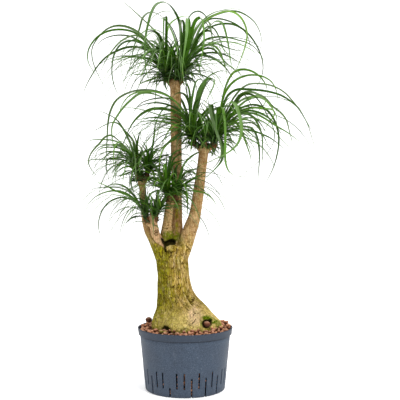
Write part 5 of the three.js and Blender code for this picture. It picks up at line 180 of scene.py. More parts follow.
        (13.1, -0.299, 4.974, [(27.8, -18.6, 734.4), (26.1, -17.8, 757.6), (24.8, -22.7, 780.5), (25.6, -31.6, 802.1), (29.6, -44.6, 821.1), (34.7, -60.6, 837.5), (40.7, -77.7, 852.3), (47.4, -95.3, 866.3), (55.5, -113.5, 878.6), (66.7, -132.4, 886.6), (80.6, -149.4, 882.3), (80.7, -162.0, 863.2), (71.5, -169.5, 843.0), (62.0, -174.3, 822.2), (51.6, -176.0, 801.3)]),
        (9.1, 0.367, 4.963, [(27.7, -18.6, 734.4), (26.6, -15.8, 748.5), (25.6, -16.6, 762.9), (24.8, -20.3, 776.9), (24.6, -26.4, 790.0), (25.1, -33.9, 802.4), (26.2, -41.7, 814.6), (28.8, -50.3, 825.9), (34.3, -60.4, 834.6), (43.0, -71.3, 837.8), (52.4, -81.8, 834.6), (60.7, -91.5, 827.8), (67.9, -99.9, 818.5), (73.3, -106.2, 806.8), (77.0, -109.5, 793.1)]),
        (9.8, -0.730, 5.397, [(32.7, -16.1, 734.4), (32.5, -14.0, 744.1), (32.9, -14.3, 754.1), (34.2, -16.6, 763.8), (36.4, -20.6, 772.7), (39.7, -25.7, 780.6), (43.6, -31.2, 788.1), (48.0, -36.9, 795.1), (53.0, -42.7, 801.5), (59.0, -48.6, 807.0), (65.6, -54.5, 811.6), (72.8, -60.3, 815.6), (80.6, -65.9, 818.0), (88.9, -71.2, 816.7), (97.4, -75.0, 812.9)]),
        (10.5, -0.503, -1.217, [(28.9, -18.2, 734.4), (41.1, -22.7, 741.9), (49.2, -34.8, 747.5), (54.3, -48.8, 751.9), (57.5, -63.6, 755.9), (59.2, -78.6, 759.6), (60.5, -93.8, 763.1), (62.0, -109.0, 766.4), (63.9, -124.1, 766.6), (63.9, -138.1, 759.8), (63.2, -151.9, 752.4), (62.0, -165.4, 744.6), (60.4, -178.3, 736.0), (58.4, -189.8, 725.7), (55.5, -196.0, 712.0)]),
        (9.8, -0.480, -1.075, [(30.6, -17.4, 734.4), (31.4, -16.7, 742.6), (33.6, -21.4, 749.5), (36.5, -27.7, 754.7), (39.5, -34.5, 759.1), (42.8, -41.6, 763.0), (46.6, -48.7, 766.2), (51.0, -55.9, 768.4), (55.7, -63.0, 769.6), (60.8, -70.0, 769.4), (65.9, -76.8, 767.4), (70.8, -83.1, 764.0), (75.5, -88.7, 759.4), (79.2, -93.3, 753.0), (82.8, -96.0, 745.7)]),
        (9.1, 0.321, -1.726, [(22.4, -18.8, 734.4), (22.9, -17.5, 730.1), (22.3, -21.7, 727.0), (21.4, -26.5, 724.9), (20.5, -31.4, 723.2), (19.7, -36.3, 721.6), (18.9, -41.2, 719.9), (18.2, -46.2, 718.2), (17.6, -51.1, 716.3), (17.1, -55.9, 714.4), (16.6, -60.7, 712.3), (16.4, -65.4, 709.9), (16.8, -69.9, 707.1), (17.8, -73.8, 703.8), (19.4, -76.0, 699.4)]),
        (9.8, 0.606, -0.959, [(31.9, -16.6, 734.4), (34.3, -15.4, 730.4), (37.1, -18.1, 727.3), (39.6, -22.2, 725.4), (41.8, -26.5, 724.0), (43.8, -31.0, 722.8), (45.7, -35.5, 721.4), (47.5, -40.0, 719.7), (49.2, -44.4, 717.9), (50.9, -48.8, 715.9), (52.6, -53.0, 713.7), (54.3, -57.1, 711.1), (55.8, -60.8, 708.1), (57.3, -64.0, 704.4), (59.2, -66.0, 700.1)]),
    ],
    "leaves_right_stem_right_1": [
        (13.1, -0.266, -1.396, [(88.2, -20.8, 728.3), (91.1, -22.0, 759.8), (94.5, -31.8, 789.8), (98.0, -48.1, 816.7), (107.8, -67.6, 811.6), (110.8, -86.2, 786.0), (112.6, -103.9, 759.7), (112.8, -120.9, 732.9), (112.3, -137.0, 705.5), (111.4, -152.2, 677.6), (113.0, -167.6, 649.9), (122.3, -186.2, 626.3), (141.8, -208.1, 614.9), (163.7, -231.0, 613.9), (188.6, -249.5, 619.4)]),
        (13.1, -0.205, -1.620, [(85.3, -21.0, 728.3), (82.7, -21.6, 755.2), (80.4, -30.2, 780.7), (78.5, -43.9, 804.0), (75.8, -61.5, 824.4), (72.1, -79.5, 815.5), (74.8, -95.7, 793.9), (79.2, -111.5, 772.3), (84.8, -127.5, 751.2), (91.0, -144.6, 731.0), (97.1, -162.2, 711.4), (101.5, -177.8, 689.7), (98.4, -189.0, 665.5), (84.4, -195.7, 643.5), (63.5, -198.0, 626.6)]),
        (9.8, 0.437, -1.404, [(88.1, -20.8, 728.3), (100.0, -32.8, 731.7), (105.7, -48.0, 722.5), (107.8, -63.1, 711.7), (108.5, -78.5, 701.1), (108.6, -94.2, 690.8), (107.9, -109.9, 680.7), (106.3, -125.7, 670.7), (103.3, -141.4, 661.0), (98.2, -157.0, 651.9), (91.4, -172.2, 643.3), (83.5, -186.7, 634.6), (74.1, -200.0, 625.3), (62.7, -210.5, 614.9), (51.4, -218.0, 602.1)]),
        (10.5, -0.519, -2.058, [(79.9, -19.5, 728.3), (76.9, -18.9, 739.0), (73.6, -23.5, 748.7), (70.2, -30.9, 756.4), (66.5, -39.7, 762.3), (62.5, -49.1, 767.0), (58.2, -58.7, 771.2), (53.7, -68.2, 775.0), (49.0, -77.8, 778.7), (43.9, -87.2, 782.2), (38.4, -96.5, 785.4), (32.3, -105.4, 788.4), (25.5, -114.1, 790.8), (17.6, -122.0, 790.5), (9.0, -128.0, 786.8)]),
        (9.1, -0.519, -1.187, [(90.9, -20.1, 728.3), (94.3, -24.7, 727.7), (97.0, -31.4, 726.7), (99.6, -37.9, 724.8), (101.9, -44.3, 722.3), (103.9, -50.7, 719.5), (105.7, -57.0, 716.3), (107.2, -63.2, 712.9), (108.3, -69.3, 709.0), (108.8, -75.1, 704.7), (109.0, -80.6, 699.9), (109.4, -85.8, 694.9), (110.6, -90.7, 689.7), (112.5, -95.1, 684.3), (115.0, -98.0, 678.2)]),
    ],
    "leaves_right_stem_right_2": [
        (13.1, 0.523, -0.910, [(94.0, -18.3, 728.3), (99.6, -22.6, 757.4), (105.8, -34.5, 784.4), (113.8, -51.3, 808.1), (124.0, -72.2, 827.0), (139.7, -93.8, 823.6), (148.0, -113.6, 802.5), (153.8, -131.5, 779.0), (156.8, -147.5, 753.6), (154.6, -161.3, 727.0), (143.9, -173.1, 701.6), (123.4, -183.3, 682.3), (98.3, -191.2, 667.7), (71.1, -196.3, 655.8), (43.5, -198.0, 643.9)]),
        (9.8, 0.757, -0.741, [(95.6, -16.8, 728.3), (100.8, -18.1, 745.0), (106.8, -23.7, 760.4), (115.3, -32.3, 773.0), (125.8, -43.2, 781.7), (138.4, -54.7, 780.1), (148.2, -65.5, 770.6), (155.3, -75.3, 757.9), (161.1, -84.3, 744.0), (166.5, -92.6, 729.5), (171.4, -100.2, 714.5), (176.0, -107.0, 699.0), (181.0, -112.9, 683.2), (184.9, -116.8, 666.6), (184.0, -118.0, 649.2)]),
        (13.9, -0.820, -0.658, [(96.3, -15.9, 728.3), (109.4, -21.1, 763.7), (124.1, -32.6, 796.9), (142.4, -48.3, 826.4), (163.1, -68.2, 851.2), (191.5, -89.8, 846.9), (211.3, -109.8, 821.5), (225.9, -127.5, 791.1), (239.5, -143.6, 759.3), (246.5, -156.1, 724.5), (233.4, -164.2, 689.8), (208.4, -170.0, 661.7), (179.2, -174.4, 637.6), (149.8, -177.1, 613.5), (125.6, -178.0, 584.3)]),
        (10.5, 0.960, -0.561, [(97.0, -14.9, 728.3), (106.7, -16.6, 756.0), (116.8, -21.5, 783.3), (128.1, -28.4, 809.5), (141.7, -37.5, 834.0), (158.8, -49.3, 854.6), (183.2, -62.9, 860.4), (207.4, -76.9, 851.3), (229.0, -89.7, 836.1), (245.5, -101.3, 814.8), (266.0, -112.6, 797.0), (282.2, -122.0, 774.7), (289.1, -128.0, 746.8), (295.9, -132.2, 718.5), (300.9, -134.5, 689.6)]),
        (9.8, 0.650, -0.687, [(96.0, -16.2, 728.3), (104.2, -18.3, 750.5), (112.9, -24.5, 771.6), (122.7, -33.1, 791.5), (133.4, -43.7, 809.9), (145.7, -56.0, 825.8), (161.3, -69.8, 837.0), (179.2, -84.4, 842.4), (197.7, -99.1, 842.1), (215.9, -113.1, 836.4), (230.1, -125.2, 822.0), (242.0, -135.6, 804.3), (252.3, -143.4, 784.5), (253.9, -147.2, 761.3), (249.9, -148.0, 737.9)]),
        (9.1, 0.845, -0.552, [(97.1, -14.8, 728.3), (105.8, -16.5, 742.0), (114.9, -21.5, 754.6), (126.2, -28.6, 764.0), (139.0, -37.3, 769.4), (152.1, -46.6, 772.1), (165.3, -56.2, 771.7), (178.6, -65.8, 771.5), (191.9, -75.2, 770.7), (203.1, -83.6, 762.4), (211.5, -90.6, 750.3), (218.4, -96.5, 736.7), (225.4, -101.5, 722.8), (231.7, -105.7, 708.2), (236.8, -108.0, 692.9)]),
        (10.5, -0.617, -0.872, [(94.3, -18.0, 728.3), (102.0, -19.8, 744.8), (109.4, -26.6, 760.2), (116.9, -36.2, 774.0), (124.8, -47.8, 785.8), (133.6, -60.9, 795.4), (143.3, -74.5, 803.0), (153.8, -88.5, 808.9), (165.2, -102.5, 811.9), (177.3, -116.3, 811.6), (188.1, -128.8, 803.7), (195.8, -139.5, 791.0), (202.7, -148.3, 776.4), (208.4, -154.9, 760.2), (211.6, -158.0, 742.4)]),
        (9.1, -1.015, -0.491, [(97.4, -14.1, 728.3), (102.0, -14.0, 744.4), (107.0, -15.6, 760.2), (112.3, -18.3, 775.8), (118.3, -21.9, 790.9), (125.2, -26.5, 805.4), (132.9, -31.6, 819.3), (141.4, -36.9, 832.6), (150.7, -42.6, 845.2), (161.5, -48.7, 856.3), (174.0, -54.4, 850.8), (182.4, -59.0, 837.1), (189.0, -62.6, 822.2), (195.1, -65.7, 807.0), (202.9, -68.0, 792.5)]),
        (8.4, -0.736, -0.764, [(95.4, -17.0, 728.3), (104.9, -20.0, 742.5), (114.0, -27.4, 755.3), (123.0, -37.0, 766.7), (132.4, -48.0, 776.5), (141.8, -59.9, 784.9), (151.7, -72.4, 792.1), (162.2, -85.1, 797.4), (173.8, -97.9, 799.7), (184.4, -108.9, 792.4), (184.5, -116.4, 776.9), (181.4, -121.3, 760.5), (177.7, -124.9, 743.8), (174.9, -127.2, 726.8), (174.4, -128.0, 709.4)]),
        (8.4, -0.704, -0.634, [(96.5, -15.7, 728.3), (99.9, -15.0, 733.6), (103.7, -16.8, 738.4), (107.5, -19.8, 742.5), (111.5, -23.8, 745.6), (115.7, -28.1, 747.8), (120.1, -32.5, 749.3), (124.7, -36.9, 749.6), (129.2, -41.2, 748.4), (133.4, -45.2, 745.6), (137.0, -48.9, 741.7), (140.1, -52.0, 737.1), (142.7, -54.6, 731.9), (145.2, -56.7, 726.4), (147.9, -58.0, 720.7)]),
        (8.4, 0.684, -0.924, [(93.8, -18.4, 728.3), (98.8, -18.8, 733.5), (103.1, -23.5, 737.4), (106.8, -29.5, 740.0), (110.2, -36.1, 741.4), (113.6, -42.8, 741.7), (117.0, -49.5, 741.1), (120.3, -56.1, 740.0), (123.5, -62.7, 738.2), (126.5, -69.0, 735.5), (128.8, -75.0, 731.5), (129.2, -80.1, 726.2), (126.4, -84.1, 720.5), (124.1, -86.9, 714.0), (121.6, -88.0, 707.0)]),
    ],
    "leaves_right_stem_right_3": [
        (13.1, -0.770, 0.171, [(98.8, -5.8, 728.3), (99.2, -5.6, 754.8), (100.4, -4.5, 781.3), (102.9, -2.5, 807.6), (106.7, 0.1, 833.7), (112.2, 3.4, 859.4), (119.6, 7.3, 884.5), (129.3, 12.0, 908.7), (143.6, 17.9, 930.1), (166.4, 25.4, 940.3), (191.5, 33.5, 939.4), (214.6, 41.0, 929.0), (233.4, 46.9, 911.6), (245.2, 50.6, 888.3), (246.3, 52.0, 862.4)]),
        (10.5, -0.928, -0.175, [(98.8, -10.3, 728.3), (99.6, -10.0, 755.2), (101.1, -10.3, 782.1), (103.9, -11.1, 808.8), (108.0, -12.5, 835.3), (115.6, -14.7, 861.0), (129.0, -18.0, 884.0), (148.8, -22.5, 901.5), (173.0, -27.7, 911.6), (199.1, -33.2, 913.8), (224.8, -38.6, 908.4), (247.2, -43.2, 894.6), (261.3, -46.2, 872.1), (267.0, -47.7, 846.0), (264.8, -48.0, 819.3)]),
        (10.5, -0.997, -0.172, [(98.8, -10.2, 728.3), (102.1, -10.0, 760.8), (105.9, -10.6, 793.3), (112.1, -11.8, 825.3), (124.1, -14.3, 855.4), (149.9, -18.8, 873.3), (182.1, -24.3, 873.1), (214.1, -30.0, 870.1), (245.7, -35.7, 864.3), (276.2, -41.1, 854.1), (303.3, -45.9, 836.7), (326.7, -49.9, 814.6), (343.2, -53.1, 786.6), (359.1, -55.9, 758.2), (376.7, -58.0, 730.7)]),
        (10.5, 0.894, 0.127, [(98.9, -6.4, 728.3), (107.9, -5.9, 765.4), (118.3, -4.7, 802.0), (134.3, -2.6, 836.5), (155.3, 0.3, 868.1), (184.6, 4.3, 891.3), (222.0, 9.2, 895.0), (259.2, 14.1, 888.7), (292.7, 18.4, 871.7), (319.3, 22.2, 844.7), (342.7, 25.3, 814.8), (362.0, 27.8, 782.0), (374.5, 29.6, 746.2), (385.8, 31.1, 709.8), (395.3, 32.0, 672.9)]),
        (9.8, 1.053, -0.160, [(98.8, -10.1, 728.3), (107.3, -10.6, 747.0), (116.2, -11.9, 765.3), (126.9, -13.6, 782.6), (140.9, -16.1, 797.3), (157.7, -19.1, 808.6), (176.3, -22.4, 816.3), (196.2, -25.9, 819.2), (216.3, -29.5, 819.2), (236.3, -33.0, 816.1), (256.1, -36.0, 812.1), (257.9, -37.5, 795.7), (245.4, -37.8, 779.5), (233.9, -38.0, 762.6), (225.4, -38.0, 744.0)]),
        (9.1, 1.098, 0.184, [(98.8, -5.6, 728.3), (106.6, -5.0, 747.6), (115.1, -3.5, 766.5), (124.6, -1.7, 784.9), (135.8, 0.6, 802.3), (149.0, 3.3, 818.1), (163.8, 6.3, 832.5), (179.7, 9.5, 845.5), (197.3, 13.0, 855.8), (217.1, 16.7, 861.0), (237.2, 19.9, 858.1), (237.3, 21.5, 841.2), (224.1, 21.8, 825.1), (211.0, 22.0, 809.0), (198.0, 22.0, 792.7)]),
        (9.8, -0.813, 0.113, [(98.9, -6.5, 728.3), (108.2, -6.1, 749.1), (118.6, -5.0, 769.3), (133.7, -3.3, 785.9), (152.8, -1.0, 798.0), (173.9, 1.5, 806.2), (196.2, 4.2, 807.6), (217.8, 6.9, 801.2), (237.8, 9.3, 790.7), (256.8, 11.7, 778.5), (276.3, 14.0, 766.9), (296.2, 16.3, 756.2), (315.0, 18.4, 743.6), (333.1, 20.5, 730.1), (352.6, 22.0, 718.4)]),
        (9.1, -1.093, -0.282, [(98.5, -11.6, 728.3), (109.1, -12.9, 740.8), (121.2, -16.0, 751.4), (136.1, -20.2, 756.8), (151.7, -25.0, 758.5), (167.2, -30.1, 756.9), (182.6, -35.2, 754.2), (197.8, -40.3, 750.7), (212.5, -45.3, 745.2), (226.7, -50.0, 738.5), (241.0, -54.5, 731.8), (254.2, -58.6, 722.8), (266.6, -62.4, 712.7), (278.5, -65.7, 701.8), (289.7, -68.0, 690.0)]),
        (9.1, -0.931, 0.228, [(98.6, -5.1, 728.3), (113.1, -2.7, 757.9), (128.4, 1.9, 786.7), (149.0, 8.0, 811.6), (175.6, 15.8, 829.1), (206.4, 24.7, 835.2), (236.6, 33.3, 825.7), (259.4, 40.5, 803.4), (273.7, 45.5, 774.3), (280.4, 48.4, 742.2), (279.4, 49.9, 709.3), (273.0, 50.8, 677.0), (262.8, 51.5, 645.7), (248.4, 51.9, 616.0), (233.4, 52.0, 586.7)]),
        (8.4, 0.782, 0.323, [(98.3, -3.9, 728.3), (104.2, -3.5, 735.9), (110.5, -1.8, 743.0), (117.6, 0.7, 748.9), (125.9, 3.8, 752.5), (134.6, 7.2, 754.3), (143.5, 10.8, 755.6), (152.4, 14.3, 755.8), (161.3, 17.8, 754.9), (169.9, 21.1, 752.3), (177.6, 24.0, 747.5), (184.6, 26.7, 741.5), (191.2, 29.0, 734.9), (197.1, 30.9, 727.5), (201.8, 32.0, 719.2)]),
        (9.1, -1.000, -0.222, [(98.7, -10.9, 728.3), (102.9, -10.8, 738.7), (107.5, -11.5, 748.9), (113.1, -12.7, 758.6), (120.2, -14.5, 767.0), (129.0, -16.8, 773.6), (138.6, -19.3, 778.8), (148.7, -21.9, 782.9), (159.3, -24.5, 785.4), (170.1, -27.2, 786.0), (180.9, -29.8, 784.3), (191.4, -32.2, 781.2), (201.4, -34.5, 776.8), (210.7, -36.6, 770.9), (219.7, -38.0, 764.3)]),
        (10.2, -0.863, 0.230, [(98.6, -5.0, 728.3), (99.4, -4.8, 749.5), (105.8, -3.1, 769.6), (117.3, 0.2, 787.0), (132.8, 4.7, 800.7), (150.9, 10.2, 810.2), (170.3, 16.5, 816.0), (190.4, 23.2, 817.8), (210.3, 30.2, 815.8), (229.4, 37.2, 810.0), (247.2, 44.0, 800.7), (263.0, 50.4, 788.1), (276.5, 56.0, 772.7), (287.2, 60.6, 755.0), (294.9, 64.1, 735.6)]),
    ],
    "leaves_right_stem_right_4": [
        (9.1, 0.777, 0.574, [(96.9, -0.9, 728.3), (105.5, 0.6, 752.7), (114.3, 5.3, 776.6), (124.6, 12.2, 799.3), (137.6, 21.1, 819.8), (153.0, 31.6, 837.8), (171.1, 43.1, 852.2), (192.3, 55.4, 860.3), (214.7, 67.9, 863.1), (237.0, 79.9, 858.4), (256.9, 91.1, 846.2), (275.9, 100.7, 831.5), (289.1, 107.7, 810.6), (293.8, 111.1, 785.4), (294.4, 112.0, 759.6)]),
        (8.4, 1.035, 0.419, [(97.9, -2.7, 728.3), (112.2, 0.3, 746.2), (126.5, 6.2, 763.5), (142.2, 13.6, 778.8), (160.5, 22.4, 789.7), (180.5, 32.2, 795.9), (201.2, 42.3, 797.9), (221.6, 52.2, 793.7), (240.8, 61.6, 784.8), (258.5, 70.2, 772.7), (274.8, 78.0, 758.2), (289.0, 84.9, 741.2), (305.2, 91.4, 726.0), (322.1, 97.6, 711.5), (339.6, 102.0, 696.9)]),
        (9.1, -1.033, 0.574, [(96.9, -0.9, 728.3), (110.5, 3.5, 746.0), (125.4, 12.5, 760.6), (143.4, 23.7, 768.7), (162.1, 36.2, 772.2), (180.8, 49.3, 772.6), (199.3, 61.9, 769.3), (212.7, 73.2, 755.0), (220.5, 82.0, 735.5), (224.6, 88.8, 714.2), (226.2, 93.7, 692.0), (226.2, 97.4, 669.5), (224.5, 99.9, 646.8), (223.1, 101.5, 624.1), (223.6, 102.0, 601.3)]),
        (9.1, -0.761, 0.574, [(96.9, -0.9, 728.3), (108.2, 1.9, 748.7), (119.7, 8.2, 768.2), (133.1, 16.7, 785.5), (149.3, 27.1, 798.8), (167.5, 38.9, 807.9), (187.1, 51.2, 810.2), (205.4, 63.1, 801.8), (218.8, 73.3, 785.7), (228.3, 81.5, 765.8), (234.2, 87.6, 743.9), (235.6, 91.4, 720.8), (235.8, 93.7, 697.4), (235.5, 95.0, 673.9), (234.8, 95.5, 650.4)]),
        (9.8, -0.551, 0.980, [(93.2, 2.8, 728.3), (96.8, 2.0, 744.3), (100.5, 5.3, 760.0), (104.3, 11.2, 774.9), (108.5, 19.3, 788.6), (113.3, 28.8, 801.1), (118.6, 38.6, 813.2), (124.2, 48.5, 825.1), (130.3, 58.3, 837.0), (137.1, 67.9, 848.5), (145.0, 77.3, 859.4), (154.1, 86.6, 869.4), (165.1, 95.9, 877.4), (178.3, 105.0, 880.6), (192.2, 112.0, 875.7)]),
        (9.8, 0.404, 1.317, [(89.2, 4.6, 728.3), (92.5, 5.4, 745.3), (95.4, 13.5, 760.5), (97.9, 24.7, 773.8), (100.4, 37.4, 785.7), (102.9, 50.8, 796.8), (105.5, 64.2, 807.8), (108.3, 77.6, 818.8), (111.6, 90.8, 829.9), (115.6, 103.8, 841.0), (120.4, 116.5, 852.2), (126.5, 128.8, 863.1), (134.9, 141.1, 872.4), (146.9, 153.1, 875.6), (157.6, 162.0, 865.6)]),
        (9.1, 0.670, 0.790, [(95.1, 1.2, 728.3), (102.0, 2.8, 746.0), (109.1, 9.2, 762.6), (117.1, 18.3, 777.4), (126.0, 29.2, 790.3), (135.7, 41.1, 801.8), (146.3, 53.4, 811.9), (158.1, 65.9, 820.3), (170.9, 78.4, 827.1), (184.6, 90.8, 831.8), (199.2, 102.9, 834.8), (214.3, 114.4, 836.2), (229.8, 125.1, 839.9), (245.8, 134.8, 843.7), (263.3, 142.0, 846.2)]),
        (9.1, -0.890, 0.509, [(97.3, -1.7, 728.3), (102.3, -1.5, 744.5), (107.9, 1.2, 760.3), (115.5, 5.7, 774.8), (125.6, 11.9, 786.9), (136.8, 19.0, 797.5), (148.9, 26.6, 806.7), (161.7, 34.2, 814.9), (175.1, 41.9, 821.8), (189.2, 49.5, 827.5), (204.1, 57.1, 830.1), (219.5, 64.3, 829.3), (234.9, 71.1, 827.6), (250.5, 77.5, 825.3), (266.6, 82.0, 822.5)]),
        (10.1, -0.809, 0.618, [(96.6, -0.5, 728.3), (96.3, -0.7, 747.1), (99.9, 1.8, 765.4), (107.3, 6.9, 781.8), (118.1, 14.3, 795.3), (131.2, 23.3, 805.3), (145.8, 33.1, 812.1), (161.1, 43.4, 815.5), (176.8, 53.8, 815.4), (192.2, 63.9, 811.8), (206.9, 73.5, 804.9), (220.2, 82.1, 794.9), (231.8, 89.5, 782.1), (241.3, 95.5, 767.0), (248.2, 99.9, 750.1)]),
        (10.6, 0.765, 0.917, [(93.9, 2.3, 728.3), (95.5, 4.5, 748.5), (99.4, 9.8, 767.8), (105.6, 18.4, 785.2), (113.8, 29.8, 799.9), (123.5, 43.5, 811.4), (134.0, 58.7, 820.1), (145.1, 74.8, 825.5), (156.4, 91.7, 827.7), (167.6, 108.6, 826.3), (178.4, 125.2, 821.4), (188.4, 140.9, 813.1), (197.3, 155.2, 801.7), (204.9, 167.5, 787.4), (210.9, 177.4, 770.6)]),
    ],
    "leaves_right_stem_right_5": [
        (7.7, 0.161, 1.534, [(86.5, 5.0, 728.3), (90.2, 3.7, 725.1), (93.2, 5.4, 721.1), (92.9, 7.7, 716.3), (91.5, 10.9, 712.2), (90.1, 14.6, 708.6), (88.4, 18.4, 705.1), (86.6, 22.1, 701.6), (84.6, 25.6, 698.1), (82.7, 29.0, 694.4), (80.6, 32.1, 690.5), (78.5, 34.7, 686.3), (76.4, 37.3, 682.1), (74.3, 40.1, 678.0), (72.0, 42.0, 673.5)]),
        (9.8, -0.254, 1.766, [(83.5, 4.8, 728.3), (84.1, 2.7, 741.6), (84.3, 5.7, 754.8), (84.1, 12.0, 766.7), (83.2, 20.2, 777.4), (81.7, 29.6, 787.1), (79.6, 39.1, 796.5), (77.0, 48.7, 805.7), (73.8, 58.3, 814.7), (70.0, 67.8, 823.6), (65.3, 77.1, 832.3), (59.6, 86.2, 840.5), (52.6, 95.1, 848.0), (43.7, 103.9, 853.1), (32.7, 111.0, 850.8)]),
        (9.1, 0.157, 1.619, [(85.4, 5.0, 728.3), (83.4, 4.6, 724.5), (83.3, 10.0, 722.2), (83.5, 15.6, 720.4), (83.7, 21.2, 718.8), (83.8, 26.9, 717.1), (83.9, 32.5, 715.5), (83.8, 38.1, 713.8), (83.6, 43.7, 712.1), (83.3, 49.3, 710.3), (82.9, 54.8, 708.3), (82.3, 60.2, 706.0), (81.4, 65.3, 703.3), (79.9, 69.8, 699.9), (77.9, 72.0, 695.0)]),
        (8.9, -0.374, 1.698, [(84.3, 4.9, 728.3), (84.5, 5.6, 749.9), (84.1, 10.5, 770.8), (83.2, 19.7, 790.2), (81.7, 32.9, 807.2), (79.7, 49.3, 821.0), (77.2, 67.7, 832.0), (74.4, 87.6, 839.7), (71.3, 108.4, 844.0), (67.9, 129.7, 844.8), (64.3, 150.7, 841.9), (60.7, 170.9, 835.3), (57.2, 189.7, 825.4), (53.9, 206.5, 812.3), (50.9, 220.7, 796.4)]),
        (9.8, -0.173, 1.711, [(84.2, 4.9, 728.3), (84.5, 5.9, 748.7), (84.3, 11.0, 768.4), (83.8, 20.1, 786.6), (82.8, 33.0, 802.3), (81.5, 48.7, 815.3), (79.9, 66.2, 825.6), (78.1, 85.0, 833.2), (76.2, 104.7, 837.9), (74.1, 124.9, 839.5), (71.9, 145.1, 837.9), (69.7, 164.9, 833.3), (67.6, 183.6, 825.7), (65.5, 201.0, 815.3), (63.6, 216.6, 802.2)]),
        (9.2, 0.549, 2.068, [(79.8, 3.4, 728.3), (78.8, 5.3, 745.5), (76.2, 10.5, 761.8), (72.1, 18.9, 776.4), (66.7, 30.0, 788.5), (60.5, 43.1, 798.0), (53.9, 57.5, 805.2), (47.1, 72.6, 810.1), (40.3, 88.4, 812.5), (33.7, 104.4, 812.4), (27.2, 120.3, 809.7), (21.2, 135.7, 804.5), (15.7, 150.3, 797.0), (10.8, 163.8, 787.3), (6.6, 175.8, 775.5)]),
        (10.1, 0.726, 2.425, [(76.2, 0.5, 728.3), (74.3, 2.2, 748.9), (68.4, 7.7, 768.0), (58.8, 16.6, 784.0), (46.6, 28.2, 796.2), (32.9, 41.4, 804.3), (18.4, 55.6, 808.8), (3.8, 70.3, 809.6), (-10.6, 85.1, 806.8), (-24.2, 99.4, 800.5), (-36.8, 112.9, 790.9), (-48.0, 125.1, 778.4), (-57.4, 135.6, 763.2), (-65.0, 144.3, 746.0), (-70.5, 150.7, 727.0)]),
        (10.0, -0.472, 2.569, [(75.1, -1.0, 728.3), (74.8, -0.8, 750.4), (69.6, 2.7, 771.6), (59.9, 9.2, 790.3), (46.5, 18.4, 805.3), (30.7, 29.3, 816.0), (13.4, 41.3, 822.9), (-4.4, 54.0, 825.7), (-22.4, 66.9, 824.5), (-39.7, 79.5, 819.3), (-56.0, 91.5, 810.2), (-70.6, 102.4, 797.7), (-83.1, 111.9, 782.2), (-93.2, 119.6, 764.1), (-100.5, 125.3, 744.0)]),
    ],
    "leaves_thin_stem_left_1": [
        (8.4, 0.228, 1.657, [(-144.7, 16.3, 641.0), (-143.7, 14.0, 651.0), (-142.9, 13.9, 661.3), (-142.3, 15.9, 671.4), (-142.1, 19.5, 681.1), (-142.4, 24.5, 690.1), (-143.1, 29.9, 698.9), (-144.3, 35.3, 707.6), (-145.9, 40.4, 716.5), (-147.9, 45.5, 725.2), (-150.4, 51.0, 733.6), (-153.9, 56.5, 741.6), (-158.1, 61.7, 749.4), (-162.6, 66.5, 757.4), (-167.7, 70.0, 765.7)]),
        (8.4, 0.453, 1.758, [(-145.7, 16.1, 641.0), (-148.4, 19.8, 657.9), (-151.1, 31.2, 671.4), (-153.9, 45.0, 682.6), (-156.8, 59.7, 692.4), (-159.9, 74.8, 701.5), (-163.5, 90.0, 710.4), (-167.8, 105.2, 719.0), (-172.8, 120.2, 727.5), (-178.6, 135.0, 735.7), (-185.3, 149.6, 743.8), (-193.8, 164.0, 750.2), (-204.2, 178.1, 753.7), (-216.0, 191.4, 751.9), (-227.2, 201.0, 742.1)]),
        (10.7, 0.670, 0.869, [(-137.2, 13.9, 641.0), (-137.8, 13.0, 654.0), (-136.5, 14.5, 666.9), (-133.0, 18.5, 678.7), (-127.4, 24.6, 688.8), (-120.3, 32.4, 696.4), (-112.3, 41.1, 701.8), (-103.6, 50.4, 704.9), (-94.7, 59.8, 705.6), (-85.7, 69.0, 703.9), (-77.0, 77.8, 699.6), (-69.1, 85.8, 693.1), (-62.1, 92.7, 684.6), (-56.3, 98.3, 674.3), (-52.1, 102.3, 662.7)]),
        (10.1, -0.292, 1.371, [(-141.8, 16.1, 641.0), (-141.6, 16.7, 653.7), (-140.9, 20.3, 665.8), (-139.6, 26.7, 676.6), (-137.8, 35.5, 685.6), (-135.7, 45.9, 692.5), (-133.4, 57.3, 697.7), (-130.9, 69.2, 701.3), (-128.4, 81.5, 703.1), (-125.9, 93.9, 703.1), (-123.3, 106.2, 701.3), (-120.9, 118.2, 697.8), (-118.5, 129.5, 692.7), (-116.4, 140.1, 686.0), (-114.4, 149.7, 677.9)]),
        (8.8, -0.511, 1.751, [(-145.6, 16.1, 641.0), (-145.7, 15.9, 655.9), (-146.6, 19.9, 670.2), (-148.5, 27.6, 682.8), (-151.1, 38.2, 692.9), (-154.4, 50.8, 700.3), (-158.1, 64.3, 705.4), (-162.1, 78.4, 708.1), (-166.4, 92.7, 708.5), (-170.9, 106.8, 706.6), (-175.4, 120.5, 702.5), (-179.8, 133.3, 696.4), (-184.0, 145.1, 688.3), (-188.0, 155.7, 678.5), (-191.5, 164.8, 667.2)]),
    ],
    "leaves_thin_stem_left_2": [
        (7.7, 0.777, 2.712, [(-153.2, 10.3, 641.0), (-157.3, 10.8, 652.7), (-163.0, 13.3, 663.5), (-171.2, 17.3, 671.9), (-181.6, 22.3, 676.4), (-192.6, 28.0, 677.7), (-203.7, 33.7, 678.0), (-214.8, 39.4, 677.6), (-225.9, 44.9, 676.6), (-236.1, 49.7, 672.4), (-239.3, 52.7, 660.8), (-239.9, 54.3, 648.5), (-238.6, 55.2, 636.1), (-235.7, 55.8, 624.1), (-231.3, 56.0, 612.4)]),
        (8.4, -0.913, 2.642, [(-152.8, 10.9, 641.0), (-160.9, 12.7, 652.9), (-170.0, 17.2, 663.0), (-181.5, 23.3, 669.2), (-193.7, 30.4, 672.3), (-206.0, 37.9, 673.7), (-218.3, 45.5, 674.3), (-230.6, 52.9, 674.8), (-243.1, 60.2, 675.2), (-255.7, 67.3, 675.5), (-268.4, 74.1, 675.8), (-281.4, 80.6, 675.5), (-294.5, 86.6, 674.3), (-307.5, 92.1, 671.4), (-321.0, 96.0, 668.0)]),
